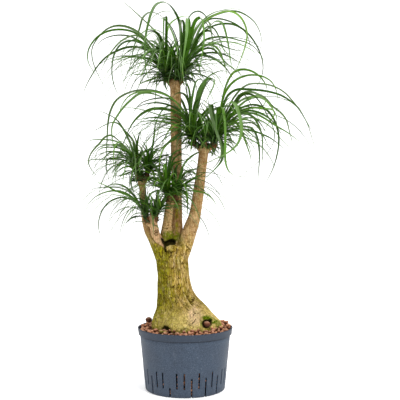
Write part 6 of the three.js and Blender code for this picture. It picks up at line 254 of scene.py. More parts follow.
        (7.7, -0.804, 2.634, [(-152.8, 11.0, 641.0), (-156.8, 11.5, 659.2), (-161.9, 14.0, 677.0), (-170.4, 18.4, 693.0), (-183.5, 24.7, 704.5), (-198.9, 32.1, 711.9), (-215.4, 39.9, 716.1), (-232.2, 47.8, 717.5), (-249.1, 55.4, 715.5), (-265.1, 62.6, 709.3), (-277.7, 68.6, 697.0), (-286.0, 73.1, 681.0), (-294.7, 77.3, 665.2), (-308.5, 82.2, 653.7), (-323.9, 86.0, 643.8)]),
        (7.7, -0.755, 2.464, [(-151.8, 12.5, 641.0), (-149.0, 11.1, 660.7), (-146.8, 11.5, 680.4), (-146.7, 13.8, 700.2), (-151.3, 18.7, 718.8), (-160.2, 26.1, 735.0), (-172.4, 34.5, 748.3), (-184.3, 42.8, 761.9), (-194.4, 50.5, 777.1), (-205.5, 58.2, 791.7), (-219.6, 66.3, 803.1), (-235.3, 74.5, 812.1), (-251.8, 82.6, 819.8), (-268.9, 90.3, 826.4), (-287.1, 96.0, 831.9)]),
        (7.7, -1.083, 2.634, [(-152.8, 11.0, 641.0), (-153.3, 10.4, 659.9), (-154.5, 11.0, 678.7), (-156.9, 12.7, 697.3), (-161.5, 15.6, 715.3), (-168.5, 19.8, 732.3), (-176.8, 24.4, 748.6), (-186.1, 29.5, 764.3), (-197.7, 35.1, 777.9), (-213.7, 41.6, 784.9), (-231.1, 48.3, 782.9), (-247.6, 54.6, 776.4), (-263.6, 60.4, 768.2), (-279.9, 65.9, 760.6), (-296.9, 70.0, 753.5)]),
        (8.4, -1.029, 2.696, [(-153.1, 10.4, 641.0), (-156.1, 10.6, 637.5), (-159.9, 12.3, 635.2), (-163.9, 14.4, 633.4), (-167.9, 16.6, 632.1), (-172.0, 18.9, 630.7), (-176.0, 21.1, 629.5), (-180.1, 23.3, 628.3), (-184.2, 25.5, 627.2), (-188.4, 27.6, 626.2), (-192.7, 29.6, 625.3), (-196.9, 31.5, 624.1), (-201.1, 33.3, 622.6), (-205.2, 34.9, 620.6), (-209.3, 36.0, 618.4)]),
        (7.7, 0.938, 2.533, [(-152.2, 11.9, 641.0), (-155.8, 12.1, 649.4), (-159.7, 14.4, 657.4), (-164.4, 18.0, 664.4), (-170.5, 22.7, 669.3), (-177.7, 28.2, 670.4), (-184.8, 33.8, 669.0), (-191.5, 39.3, 666.1), (-197.8, 44.6, 661.9), (-203.8, 49.6, 657.0), (-209.4, 54.3, 651.5), (-214.8, 58.4, 645.3), (-219.4, 61.9, 638.2), (-223.0, 64.5, 630.1), (-226.5, 66.0, 621.8)]),
        (7.0, -0.672, 2.342, [(-151.0, 13.4, 641.0), (-160.5, 16.5, 638.6), (-164.0, 20.4, 629.8), (-164.9, 23.3, 619.7), (-165.7, 26.8, 609.8), (-166.2, 30.6, 600.0), (-166.5, 34.5, 590.3), (-167.1, 38.3, 580.5), (-168.0, 42.1, 570.7), (-168.9, 45.7, 560.9), (-169.9, 48.9, 550.9), (-170.8, 51.7, 540.8), (-171.6, 53.8, 530.6), (-172.3, 55.3, 520.2), (-173.0, 56.0, 509.7)]),
        (7.7, -0.741, 2.291, [(-150.6, 13.7, 641.0), (-154.2, 15.2, 653.4), (-158.6, 20.9, 664.3), (-164.7, 28.7, 672.8), (-172.1, 37.8, 678.6), (-180.2, 47.4, 682.2), (-188.6, 57.2, 684.5), (-197.3, 67.0, 685.2), (-206.0, 76.7, 684.3), (-214.6, 86.2, 681.7), (-222.9, 95.3, 677.4), (-230.3, 103.7, 670.5), (-235.6, 110.5, 660.8), (-238.4, 114.7, 648.8), (-238.9, 116.0, 635.8)]),
        (8.8, -0.790, 2.566, [(-152.4, 11.6, 641.0), (-152.3, 11.5, 655.2), (-154.5, 13.1, 669.2), (-159.1, 16.4, 682.2), (-166.0, 21.4, 693.6), (-174.6, 27.8, 703.0), (-184.2, 35.1, 710.4), (-194.6, 43.1, 715.9), (-205.4, 51.8, 719.3), (-216.4, 60.8, 720.4), (-227.2, 69.9, 719.2), (-237.7, 78.9, 715.7), (-247.4, 87.6, 710.0), (-256.2, 95.6, 702.3), (-263.9, 102.8, 692.6)]),
    ],
    "leaves_thin_stem_left_3": [
        (8.4, -0.952, 3.544, [(-153.3, 2.0, 641.0), (-154.2, 2.1, 662.5), (-157.0, 0.2, 683.7), (-168.0, -4.1, 701.4), (-183.0, -10.2, 715.4), (-198.6, -17.1, 728.5), (-215.1, -24.5, 739.9), (-232.9, -31.7, 733.3), (-245.1, -38.0, 716.8), (-258.9, -43.9, 701.4), (-270.5, -49.0, 684.0), (-276.8, -52.1, 663.9), (-270.6, -53.3, 643.7), (-257.5, -53.8, 626.6), (-243.1, -54.0, 610.7)]),
        (8.4, 0.939, 3.075, [(-154.1, 6.7, 641.0), (-154.7, 6.6, 655.5), (-156.1, 6.7, 669.9), (-160.0, 7.0, 683.9), (-167.7, 7.5, 696.1), (-177.6, 8.2, 706.7), (-188.7, 9.0, 716.0), (-201.1, 9.8, 723.4), (-214.8, 10.7, 728.0), (-229.2, 11.7, 729.8), (-243.6, 12.6, 730.6), (-258.1, 13.6, 730.8), (-272.6, 14.5, 731.0), (-286.2, 15.4, 726.7), (-298.8, 16.0, 719.4)]),
        (8.4, 0.757, 3.718, [(-152.4, 0.4, 641.0), (-155.3, -0.4, 656.8), (-158.9, -4.0, 672.1), (-165.7, -9.9, 685.4), (-175.4, -18.0, 695.3), (-187.3, -27.4, 700.6), (-199.8, -37.2, 702.9), (-212.5, -47.2, 703.4), (-225.1, -57.2, 702.3), (-237.7, -66.7, 698.9), (-248.4, -74.7, 690.6), (-252.2, -79.7, 675.9), (-252.7, -82.3, 660.0), (-251.4, -83.6, 644.0), (-247.9, -84.0, 628.2)]),
        (7.7, 0.805, -2.464, [(-151.8, -0.5, 641.0), (-157.0, -1.3, 645.7), (-162.4, -4.9, 648.8), (-167.8, -9.5, 649.3), (-172.9, -14.5, 648.2), (-177.7, -19.5, 646.5), (-182.3, -24.6, 644.3), (-186.8, -29.5, 641.5), (-190.9, -34.2, 638.0), (-194.5, -38.6, 633.6), (-198.0, -42.6, 628.8), (-201.4, -46.3, 623.7), (-204.8, -49.6, 618.2), (-208.1, -52.3, 612.5), (-211.5, -54.0, 606.4)]),
        (7.7, -0.779, 3.690, [(-152.6, 0.6, 641.0), (-154.4, 0.7, 635.5), (-155.7, -0.8, 629.9), (-156.7, -2.8, 624.4), (-157.5, -5.2, 619.1), (-158.1, -7.6, 613.8), (-158.3, -9.9, 608.3), (-158.1, -11.8, 602.8), (-157.4, -13.7, 597.2), (-156.2, -15.3, 591.7), (-154.5, -16.7, 586.2), (-152.3, -17.9, 580.8), (-149.9, -18.8, 575.5), (-147.2, -19.3, 570.3), (-144.4, -19.5, 565.1)]),
    ],
    "leaves_thin_stem_left_4": [
        (9.1, 0.270, 4.843, [(-142.5, -4.2, 641.0), (-142.5, -3.8, 654.3), (-142.3, -8.6, 666.7), (-141.9, -16.4, 677.6), (-141.1, -25.7, 687.2), (-139.8, -35.9, 695.8), (-138.0, -46.3, 704.0), (-135.9, -56.8, 712.1), (-133.5, -67.3, 720.0), (-131.0, -78.0, 727.7), (-128.0, -88.4, 735.5), (-124.5, -98.6, 743.6), (-121.1, -107.1, 738.8), (-121.3, -112.2, 726.5), (-122.6, -114.0, 713.3)]),
        (8.4, -0.763, -2.271, [(-150.4, -1.9, 641.0), (-153.5, -2.5, 653.3), (-157.3, -6.9, 664.7), (-162.8, -13.9, 673.9), (-169.2, -22.4, 681.0), (-176.3, -31.7, 685.9), (-184.1, -41.5, 689.0), (-192.1, -51.3, 690.3), (-200.4, -61.1, 689.7), (-208.6, -70.6, 687.4), (-216.6, -79.5, 682.9), (-223.0, -87.1, 675.0), (-227.5, -93.4, 664.8), (-234.0, -99.3, 655.6), (-243.0, -104.0, 647.9)]),
        (7.7, 0.575, -2.155, [(-149.5, -2.6, 641.0), (-153.6, -3.3, 648.3), (-157.4, -7.9, 654.3), (-161.3, -14.4, 658.3), (-165.4, -21.7, 659.7), (-169.4, -29.3, 659.5), (-173.2, -36.8, 658.3), (-176.7, -44.3, 656.2), (-180.0, -51.6, 653.3), (-183.2, -58.8, 649.7), (-186.2, -65.6, 645.7), (-189.1, -72.1, 640.9), (-191.8, -77.8, 635.1), (-193.5, -82.0, 627.9), (-195.1, -84.0, 619.8)]),
        (9.1, 0.239, 4.876, [(-142.1, -4.2, 641.0), (-150.3, -4.5, 638.0), (-154.7, -7.2, 631.4), (-152.8, -11.0, 623.7), (-149.3, -15.8, 617.3), (-145.1, -21.1, 611.6), (-141.2, -26.8, 606.2), (-137.7, -33.0, 601.0), (-134.4, -39.4, 596.0), (-131.5, -45.6, 590.4), (-129.3, -51.2, 583.9), (-127.8, -56.1, 576.8), (-126.5, -60.1, 569.0), (-125.4, -62.8, 560.7), (-124.7, -64.0, 552.0)]),
        (8.4, -0.404, 4.303, [(-147.9, -3.4, 641.0), (-150.7, -4.5, 656.5), (-153.3, -10.3, 670.9), (-156.1, -19.0, 683.8), (-159.6, -29.6, 695.0), (-164.0, -41.6, 704.4), (-169.3, -54.4, 712.2), (-176.0, -67.7, 717.4), (-184.2, -80.9, 716.9), (-190.9, -93.3, 709.8), (-195.0, -104.2, 699.1), (-196.8, -112.9, 686.0), (-196.9, -119.1, 671.5), (-195.7, -122.7, 656.1), (-193.1, -124.0, 640.6)]),
        (8.4, 0.545, 4.153, [(-149.3, -2.7, 641.0), (-151.3, -3.4, 655.5), (-153.6, -8.4, 669.0), (-157.8, -16.6, 680.4), (-163.9, -27.2, 688.4), (-171.4, -39.1, 692.6), (-179.6, -51.1, 692.1), (-186.3, -62.6, 686.1), (-190.9, -73.0, 676.8), (-193.4, -82.1, 665.6), (-194.2, -89.7, 653.0), (-194.2, -95.7, 639.7), (-193.7, -100.2, 625.7), (-192.6, -103.0, 611.3), (-191.3, -104.0, 596.7)]),
    ],
    "leaves_thin_stem_right_1": [
        (9.8, 0.427, -1.266, [(-108.1, -5.8, 638.0), (-105.6, -7.1, 652.9), (-102.7, -13.7, 666.4), (-99.8, -22.7, 678.4), (-96.9, -33.2, 689.1), (-94.0, -44.5, 699.1), (-91.2, -56.0, 708.7), (-88.7, -67.5, 718.6), (-86.5, -78.7, 728.8), (-84.7, -89.5, 739.5), (-82.9, -99.6, 750.8), (-81.2, -108.8, 763.0), (-77.6, -117.7, 771.6), (-75.1, -123.7, 757.8), (-74.0, -126.0, 742.8)]),
        (8.4, -0.285, -1.730, [(-112.8, -6.2, 638.0), (-112.4, -3.8, 645.6), (-111.7, -3.2, 653.5), (-110.8, -4.5, 661.3), (-110.0, -7.3, 668.7), (-109.5, -11.4, 675.5), (-109.6, -15.8, 682.1), (-110.8, -20.2, 688.7), (-113.2, -25.1, 694.5), (-116.1, -30.5, 699.6), (-119.3, -36.1, 704.4), (-122.6, -41.4, 709.2), (-126.7, -46.6, 713.7), (-131.6, -51.8, 717.1), (-138.3, -56.0, 716.6)]),
        (9.8, 0.500, -1.105, [(-106.6, -5.2, 638.0), (-103.6, -7.9, 646.3), (-100.1, -15.6, 651.2), (-95.3, -24.0, 652.1), (-90.8, -32.6, 650.2), (-86.9, -41.2, 647.6), (-83.4, -49.8, 644.4), (-80.3, -58.3, 640.5), (-77.6, -66.8, 636.2), (-75.1, -75.1, 631.6), (-72.8, -83.1, 626.4), (-70.8, -90.9, 620.7), (-69.0, -97.9, 614.0), (-67.8, -103.4, 606.1), (-66.8, -106.0, 596.7)]),
        (9.1, -0.745, -0.914, [(-104.9, -4.2, 638.0), (-104.8, -2.8, 645.2), (-104.1, -4.1, 652.4), (-102.2, -7.6, 658.6), (-98.9, -12.5, 663.1), (-94.9, -18.0, 666.0), (-90.4, -23.6, 667.8), (-85.6, -29.2, 668.3), (-80.9, -34.7, 667.1), (-76.4, -40.1, 664.6), (-72.6, -45.0, 660.6), (-69.6, -49.3, 655.4), (-67.5, -52.7, 649.2), (-66.3, -55.0, 642.3), (-65.3, -56.0, 635.0)]),
        (8.4, 0.216, -1.473, [(-110.2, -6.3, 638.0), (-111.2, -6.6, 649.3), (-111.3, -13.8, 658.4), (-110.9, -23.1, 665.5), (-110.0, -33.1, 671.5), (-108.8, -43.5, 676.8), (-107.2, -54.0, 681.8), (-105.3, -64.5, 686.5), (-103.0, -75.1, 691.1), (-100.1, -85.6, 695.4), (-96.3, -96.1, 699.0), (-91.0, -106.3, 699.6), (-87.2, -115.6, 693.8), (-85.7, -122.9, 684.8), (-85.1, -126.0, 673.6)]),
        (8.4, 0.479, -1.970, [(-115.2, -5.5, 638.0), (-117.4, -4.6, 646.9), (-119.1, -7.9, 655.5), (-120.8, -13.5, 662.8), (-122.7, -20.5, 668.7), (-125.0, -28.1, 673.6), (-127.8, -36.0, 677.8), (-131.2, -44.1, 681.0), (-135.4, -52.3, 682.5), (-140.0, -60.4, 681.5), (-144.1, -68.0, 678.1), (-147.3, -75.0, 672.7), (-149.5, -80.7, 665.6), (-150.3, -84.4, 657.1), (-151.1, -86.0, 647.9)]),
    ],
    "leaves_thin_stem_right_2": [
        (8.4, 0.638, -0.541, [(-102.4, -1.3, 638.0), (-105.1, 0.2, 650.1), (-107.0, 0.9, 662.4), (-108.3, 1.2, 674.8), (-109.5, 0.9, 687.2), (-111.1, 0.2, 699.6), (-112.7, -0.7, 712.0), (-113.9, -1.6, 724.4), (-113.6, -2.4, 736.8), (-109.3, -3.8, 748.4), (-101.2, -6.7, 757.3), (-90.6, -10.6, 762.4), (-79.1, -14.8, 764.4), (-67.3, -18.9, 763.9), (-55.5, -22.0, 761.5)]),
        (8.4, -0.841, 0.796, [(-104.0, 11.4, 638.0), (-105.1, 9.4, 646.0), (-105.8, 8.7, 654.3), (-105.9, 9.1, 662.6), (-105.4, 10.7, 670.8), (-103.9, 13.2, 678.6), (-101.9, 16.0, 686.2), (-99.4, 19.0, 693.6), (-96.2, 22.3, 700.6), (-92.0, 25.8, 706.8), (-86.5, 29.6, 711.9), (-80.3, 33.5, 715.9), (-73.5, 37.4, 718.7), (-66.4, 41.2, 720.7), (-58.6, 44.0, 721.7)]),
        (8.4, -0.798, -0.545, [(-102.4, -1.3, 638.0), (-103.4, -0.1, 645.9), (-103.8, 0.2, 654.1), (-103.5, -0.3, 662.2), (-102.1, -1.6, 670.1), (-99.5, -3.8, 677.5), (-96.1, -6.2, 684.4), (-91.9, -8.9, 690.8), (-87.0, -11.9, 696.5), (-80.9, -15.1, 700.9), (-74.2, -18.3, 704.0), (-67.1, -21.6, 706.2), (-59.6, -24.8, 706.9), (-52.3, -27.8, 705.5), (-44.9, -30.0, 702.8)]),
        (8.4, -0.511, 1.063, [(-106.2, 13.0, 638.0), (-104.7, 11.5, 646.2), (-103.5, 13.3, 654.4), (-102.1, 17.3, 661.9), (-100.5, 22.7, 668.3), (-98.1, 28.9, 673.7), (-94.9, 35.4, 678.4), (-91.1, 42.0, 682.2), (-86.9, 48.7, 685.4), (-82.1, 55.3, 688.0), (-76.9, 61.9, 689.6), (-71.3, 68.3, 690.6), (-65.2, 74.3, 691.2), (-58.7, 79.9, 691.1), (-51.3, 84.0, 690.6)]),
        (8.4, 0.711, -0.759, [(-103.7, -3.1, 638.0), (-104.2, -2.7, 642.3), (-100.8, -5.6, 641.8), (-97.8, -8.6, 639.4), (-95.3, -11.4, 636.4), (-93.1, -14.2, 633.1), (-91.4, -16.7, 629.4), (-90.5, -18.9, 625.2), (-90.4, -20.6, 620.7), (-90.9, -22.1, 616.1), (-91.5, -23.5, 611.5), (-92.1, -24.5, 606.9), (-92.9, -25.3, 602.2), (-93.7, -25.8, 597.4), (-94.5, -26.0, 592.7)]),
        (7.7, -0.785, 0.711, [(-103.4, 10.7, 638.0), (-103.5, 9.3, 643.4), (-102.9, 9.8, 648.9), (-101.4, 11.7, 654.0), (-98.9, 14.4, 658.2), (-95.7, 17.6, 661.5), (-92.0, 20.9, 664.1), (-87.9, 24.4, 665.8), (-83.6, 27.9, 666.8), (-79.1, 31.3, 666.9), (-74.7, 34.6, 666.0), (-70.3, 37.6, 664.3), (-66.2, 40.3, 661.4), (-62.5, 42.5, 657.9), (-58.6, 44.0, 654.1)]),
        (8.8, -0.755, 0.471, [(-102.0, 8.7, 638.0), (-103.3, 8.0, 647.1), (-102.3, 8.6, 656.3), (-98.8, 10.4, 664.7), (-93.3, 13.3, 671.6), (-86.5, 17.0, 676.7), (-79.0, 21.1, 680.4), (-71.2, 25.4, 682.9), (-63.1, 29.8, 684.0), (-55.0, 34.4, 683.8), (-47.0, 38.9, 682.3), (-39.3, 43.3, 679.5), (-32.1, 47.5, 675.5), (-25.3, 51.4, 670.5), (-19.3, 55.0, 664.4)]),
        (10.2, 0.459, 1.080, [(-106.3, 13.1, 638.0), (-106.8, 12.3, 650.4), (-105.9, 13.7, 662.6), (-103.5, 17.7, 674.1), (-99.7, 24.2, 684.0), (-94.8, 32.4, 691.8), (-89.0, 41.8, 697.6), (-82.7, 51.8, 701.3), (-76.1, 62.2, 702.8), (-69.2, 72.5, 701.9), (-62.6, 82.4, 698.6), (-56.3, 91.5, 693.0), (-50.6, 99.5, 685.3), (-45.9, 106.0, 675.9), (-42.4, 110.8, 665.0)]),
    ],
    "leaves_thin_stem_right_3": [
        (8.4, 0.280, 1.787, [(-113.4, 14.1, 638.0), (-112.4, 11.8, 646.3), (-111.3, 11.5, 654.8), (-110.3, 12.9, 663.3), (-109.6, 15.7, 671.4), (-109.4, 19.5, 679.2), (-110.0, 23.4, 686.8), (-111.7, 27.2, 694.4), (-114.3, 30.8, 701.9), (-117.4, 34.1, 709.2), (-120.9, 38.0, 716.1), (-124.8, 42.4, 722.4), (-129.2, 46.8, 728.4), (-133.7, 50.9, 734.5), (-139.0, 54.0, 740.6)]),
        (8.4, 0.183, 1.518, [(-110.7, 14.3, 638.0), (-109.2, 15.9, 649.7), (-108.5, 23.9, 659.0), (-108.2, 33.6, 666.7), (-108.0, 44.0, 673.4), (-107.9, 54.6, 679.7), (-107.7, 65.3, 685.9), (-107.3, 76.0, 692.2), (-106.8, 86.5, 698.6), (-106.0, 96.9, 705.2), (-104.7, 107.1, 712.1), (-102.6, 117.1, 719.2), (-99.5, 126.7, 726.4), (-94.0, 136.0, 732.1), (-85.4, 144.0, 729.6)]),
        (8.4, -0.397, 1.867, [(-114.2, 13.9, 638.0), (-115.6, 13.5, 648.7), (-117.4, 18.2, 658.5), (-119.3, 25.1, 666.8), (-121.3, 33.3, 673.9), (-123.4, 41.9, 680.4), (-125.6, 50.7, 686.7), (-128.0, 59.4, 693.0), (-130.7, 68.0, 699.3), (-133.8, 76.5, 705.6), (-137.5, 84.8, 711.8), (-142.0, 92.8, 717.8), (-148.0, 100.8, 722.4), (-155.6, 108.4, 722.4), (-162.7, 114.0, 716.3)]),
        (9.1, -0.269, 1.696, [(-112.5, 14.2, 638.0), (-112.5, 14.3, 648.0), (-112.7, 16.8, 657.6), (-113.2, 21.8, 666.3), (-113.9, 28.9, 673.3), (-114.6, 37.3, 678.5), (-115.3, 46.6, 682.4), (-116.0, 56.2, 684.7), (-116.7, 66.2, 685.6), (-117.2, 76.2, 684.8), (-117.7, 85.9, 682.6), (-118.1, 95.2, 678.8), (-118.3, 103.7, 673.7), (-118.5, 111.4, 667.2), (-118.6, 117.9, 659.6)]),
        (9.6, 0.662, 2.030, [(-115.8, 13.2, 638.0), (-115.7, 12.9, 650.7), (-116.8, 15.2, 663.1), (-119.5, 20.0, 674.6), (-123.4, 27.2, 684.2), (-128.4, 36.2, 691.7), (-134.1, 46.2, 697.3), (-140.2, 56.7, 700.9), (-146.7, 67.6, 702.3), (-153.3, 78.4, 701.5), (-159.9, 88.9, 698.5), (-166.2, 98.7, 693.3), (-172.0, 107.5, 686.2), (-177.0, 115.1, 677.4), (-181.2, 121.2, 667.0)]),
    ],
    "leaves_front_stem_left_1": [
        (7.0, -0.267, 1.745, [(-54.3, -12.9, 574.4), (-53.9, -15.6, 583.5), (-53.7, -17.3, 592.9), (-53.6, -18.0, 602.4), (-53.7, -17.5, 612.0), (-53.9, -16.0, 621.4), (-54.2, -13.7, 630.7), (-54.5, -11.5, 640.0), (-54.6, -9.4, 649.3), (-54.5, -7.6, 658.7), (-54.3, -6.0, 668.1), (-54.2, -4.7, 677.6), (-54.0, -3.8, 687.1), (-53.7, -3.2, 696.6), (-53.4, -3.0, 706.2)]),
        (8.4, -0.567, 2.258, [(-59.0, -15.0, 574.4), (-60.9, -15.8, 582.0), (-63.3, -13.6, 589.3), (-66.0, -9.7, 595.6), (-69.1, -4.8, 601.1), (-72.5, 0.7, 605.8), (-76.4, 6.3, 609.9), (-80.8, 12.0, 613.3), (-85.7, 17.7, 615.9), (-91.0, 23.3, 618.0), (-96.4, 28.8, 620.1), (-102.1, 34.0, 621.7), (-108.3, 39.0, 622.8), (-114.7, 43.6, 623.7), (-121.9, 47.0, 624.2)]),
        (9.1, -0.412, 1.872, [(-55.6, -13.2, 574.4), (-55.9, -14.6, 582.9), (-56.8, -12.6, 591.3), (-58.0, -8.7, 598.9), (-59.3, -3.6, 605.9), (-60.7, 2.0, 612.5), (-62.1, 7.6, 619.0), (-63.4, 13.2, 625.5), (-64.7, 18.6, 632.2), (-65.8, 23.6, 639.3), (-65.9, 27.9, 646.8), (-63.8, 31.5, 654.4), (-58.9, 34.3, 661.0), (-51.5, 36.1, 665.2), (-43.3, 37.0, 667.8)]),
        (8.4, 0.346, 1.436, [(-51.1, -12.8, 574.4), (-49.9, -10.5, 585.3), (-49.0, -2.0, 593.5), (-48.2, 7.8, 600.0), (-47.2, 18.1, 605.8), (-46.1, 28.6, 611.2), (-44.7, 39.1, 616.5), (-43.0, 49.6, 621.7), (-41.1, 60.1, 626.9), (-38.8, 70.4, 632.2), (-35.9, 80.6, 637.5), (-32.1, 90.6, 642.6), (-27.2, 100.4, 647.1), (-20.4, 109.7, 649.5), (-12.4, 117.0, 645.2)]),
        (8.4, -0.469, 1.894, [(-55.8, -13.2, 574.4), (-58.3, -12.8, 584.0), (-60.7, -7.0, 592.2), (-62.9, 0.5, 599.0), (-64.9, 8.7, 604.9), (-66.9, 17.1, 610.6), (-69.1, 25.6, 616.1), (-71.6, 34.0, 621.6), (-74.4, 42.4, 627.0), (-77.8, 50.6, 632.2), (-82.1, 58.9, 636.7), (-87.5, 67.0, 640.2), (-93.9, 74.9, 642.0), (-100.6, 82.1, 639.9), (-106.6, 87.0, 633.2)]),
        (9.7, -0.252, 1.452, [(-51.3, -12.8, 574.4), (-51.5, -14.5, 582.1), (-51.4, -13.8, 590.1), (-51.1, -10.3, 597.2), (-50.5, -4.5, 602.6), (-49.8, 2.6, 606.1), (-49.1, 10.3, 608.2), (-48.4, 18.2, 609.0), (-47.7, 26.2, 608.4), (-47.1, 33.9, 606.5), (-46.5, 41.2, 603.3), (-46.0, 47.9, 599.0), (-45.6, 53.9, 593.7), (-45.3, 58.9, 587.5), (-45.1, 63.0, 580.6)]),
        (10.7, 0.505, 2.093, [(-57.6, -14.1, 574.4), (-57.0, -15.3, 583.5), (-57.4, -14.5, 592.7), (-59.1, -11.5, 601.2), (-62.0, -6.3, 608.3), (-65.8, 0.3, 613.5), (-70.0, 7.7, 617.1), (-74.4, 15.6, 619.1), (-78.9, 23.6, 619.4), (-83.4, 31.6, 618.0), (-87.6, 39.2, 614.8), (-91.5, 46.1, 610.1), (-94.8, 52.1, 603.9), (-97.5, 56.9, 596.5), (-99.4, 60.4, 588.2)]),
    ],
    "leaves_front_stem_left_2": [
        (8.4, -0.865, -2.572, [(-61.2, -28.6, 574.4), (-63.7, -28.2, 579.3), (-66.8, -29.9, 583.7), (-70.3, -32.4, 587.4), (-74.2, -35.3, 590.4), (-78.2, -38.3, 593.1), (-82.3, -41.4, 595.5), (-86.4, -44.5, 597.8), (-90.7, -47.6, 599.9), (-95.2, -50.6, 601.7), (-99.9, -53.5, 602.8), (-104.8, -56.4, 603.1), (-109.8, -59.0, 602.5), (-114.5, -61.4, 600.4), (-119.1, -63.0, 597.6)]),
        (8.4, -0.874, 2.981, [(-62.7, -21.3, 574.4), (-62.6, -21.7, 580.0), (-63.3, -21.6, 585.6), (-64.7, -21.4, 591.0), (-67.1, -21.0, 596.0), (-70.5, -20.3, 600.5), (-74.6, -19.6, 604.2), (-79.4, -18.7, 607.1), (-84.4, -17.9, 609.4), (-89.5, -17.0, 611.8), (-94.7, -16.1, 613.7), (-100.0, -15.2, 615.4), (-105.2, -14.4, 617.2), (-110.5, -13.6, 618.9), (-115.8, -13.0, 620.7)]),
        (7.7, -0.789, -2.327, [(-59.6, -30.5, 574.4), (-64.1, -31.7, 577.1), (-67.9, -35.8, 579.2), (-71.7, -40.3, 580.0), (-75.4, -45.0, 579.7), (-78.9, -49.7, 578.9), (-82.5, -54.4, 577.8), (-86.0, -59.1, 576.6), (-89.4, -63.7, 575.0), (-92.8, -68.1, 573.0), (-96.1, -72.3, 570.3), (-99.1, -76.2, 566.8), (-101.8, -79.4, 562.7), (-103.9, -81.8, 557.6), (-105.4, -83.0, 552.0)]),
        (7.7, 0.453, 4.227, [(-57.3, -32.1, 574.4), (-62.8, -36.1, 577.1), (-66.3, -42.8, 579.0), (-69.5, -49.9, 580.2), (-72.5, -57.1, 579.9), (-75.1, -64.3, 578.1), (-76.6, -71.4, 574.9), (-76.5, -78.1, 570.9), (-75.4, -84.5, 566.5), (-74.0, -90.8, 562.0), (-72.2, -96.9, 557.4), (-70.2, -102.6, 552.3), (-68.2, -107.7, 546.7), (-66.5, -111.5, 540.1), (-65.0, -113.0, 532.5)]),
        (8.4, -0.999, 2.649, [(-61.6, -18.1, 574.4), (-62.5, -18.4, 583.4), (-64.2, -17.4, 592.2), (-66.4, -15.8, 600.9), (-68.8, -13.8, 609.4), (-71.1, -11.6, 617.9), (-73.1, -9.5, 626.5), (-74.6, -7.8, 635.2), (-75.6, -6.3, 644.1), (-76.0, -5.2, 653.1), (-75.7, -4.4, 662.2), (-74.8, -3.8, 671.2), (-72.7, -3.4, 679.9), (-68.5, -3.1, 687.9), (-62.2, -3.0, 694.4)]),
        (8.4, -0.497, 4.287, [(-56.7, -32.4, 574.4), (-57.8, -32.1, 581.9), (-59.2, -36.0, 588.5), (-60.9, -41.6, 593.8), (-62.9, -47.8, 598.1), (-65.3, -54.4, 601.7), (-67.9, -61.1, 604.8), (-71.0, -67.9, 607.1), (-74.7, -74.8, 608.0), (-78.5, -81.5, 607.1), (-81.8, -88.0, 604.2), (-84.0, -93.8, 599.4), (-85.6, -98.6, 593.4), (-86.2, -101.8, 586.3), (-86.6, -103.0, 578.6)]),
        (8.4, 0.728, -2.184, [(-58.4, -31.4, 574.4), (-60.3, -30.6, 579.5), (-62.3, -33.6, 584.2), (-64.5, -37.7, 587.7), (-67.1, -42.3, 590.2), (-70.0, -47.2, 591.8), (-73.2, -52.1, 592.4), (-76.4, -57.0, 592.3), (-79.6, -61.8, 591.5), (-82.7, -66.5, 589.9), (-85.7, -71.0, 587.5), (-88.5, -75.1, 584.4), (-90.8, -78.6, 580.4), (-92.8, -81.4, 575.5), (-94.9, -83.0, 570.4)]),
        (10.3, 0.768, 2.679, [(-61.7, -18.4, 574.4), (-60.2, -19.2, 582.7), (-60.5, -18.9, 591.2), (-63.1, -17.5, 599.1), (-67.9, -14.8, 605.7), (-74.0, -11.4, 610.5), (-80.8, -7.5, 613.8), (-88.0, -3.3, 615.6), (-95.3, 1.1, 615.8), (-102.5, 5.5, 614.5), (-109.3, 9.8, 611.6), (-115.5, 13.7, 607.3), (-120.9, 17.3, 601.8), (-125.3, 20.2, 595.1), (-128.6, 22.5, 587.5)]),
    ],
    "leaves_front_stem_left_3": [
        (10.5, 0.169, -1.581, [(-52.6, -33.3, 574.4), (-53.3, -33.5, 585.7), (-53.7, -39.6, 595.6), (-53.9, -47.5, 604.0), (-53.9, -56.3, 611.7), (-53.8, -65.4, 618.9), (-53.5, -74.6, 626.1), (-53.2, -83.7, 633.3), (-53.0, -92.7, 640.7), (-53.0, -101.6, 648.2), (-53.9, -110.7, 655.3), (-56.0, -119.1, 649.4), (-56.6, -126.0, 640.0), (-57.1, -130.9, 629.5), (-57.6, -133.0, 618.1)]),
        (8.4, 0.447, 5.081, [(-48.8, -32.6, 574.4), (-48.9, -29.8, 583.5), (-48.9, -28.7, 593.1), (-48.9, -29.0, 602.7), (-48.7, -30.8, 612.1), (-48.3, -33.7, 621.3), (-47.5, -37.1, 630.2), (-46.2, -40.8, 639.0), (-44.5, -44.7, 647.6), (-42.3, -48.6, 656.2), (-40.1, -52.3, 664.7), (-37.9, -55.7, 673.5), (-35.6, -58.7, 682.3), (-33.1, -61.3, 691.2), (-30.7, -63.0, 700.4)]),
        (9.1, -0.744, 5.445, [(-45.6, -30.7, 574.4), (-46.6, -28.7, 585.1), (-47.4, -28.1, 595.9), (-47.8, -28.8, 606.8), (-47.7, -30.8, 617.5), (-46.6, -34.3, 627.8), (-44.1, -38.6, 637.5), (-40.3, -43.5, 646.5), (-35.0, -48.9, 654.3), (-27.6, -55.0, 659.3), (-18.8, -61.2, 661.2), (-10.1, -67.3, 663.6), (-1.1, -73.2, 665.6), (8.1, -78.8, 667.1), (18.1, -83.0, 668.4)]),
        (8.4, -0.885, 5.668, [(-44.1, -28.9, 574.4), (-45.3, -27.3, 586.8), (-46.4, -26.5, 599.4), (-47.3, -26.6, 612.0), (-47.9, -27.5, 624.6), (-47.9, -29.0, 637.1), (-47.3, -30.6, 649.6), (-45.8, -32.4, 662.0), (-42.6, -35.0, 673.9), (-36.2, -38.9, 684.0), (-27.0, -43.7, 691.2), (-16.3, -48.8, 695.3), (-5.4, -54.0, 699.1), (5.8, -59.2, 701.5), (17.8, -63.0, 701.2)]),
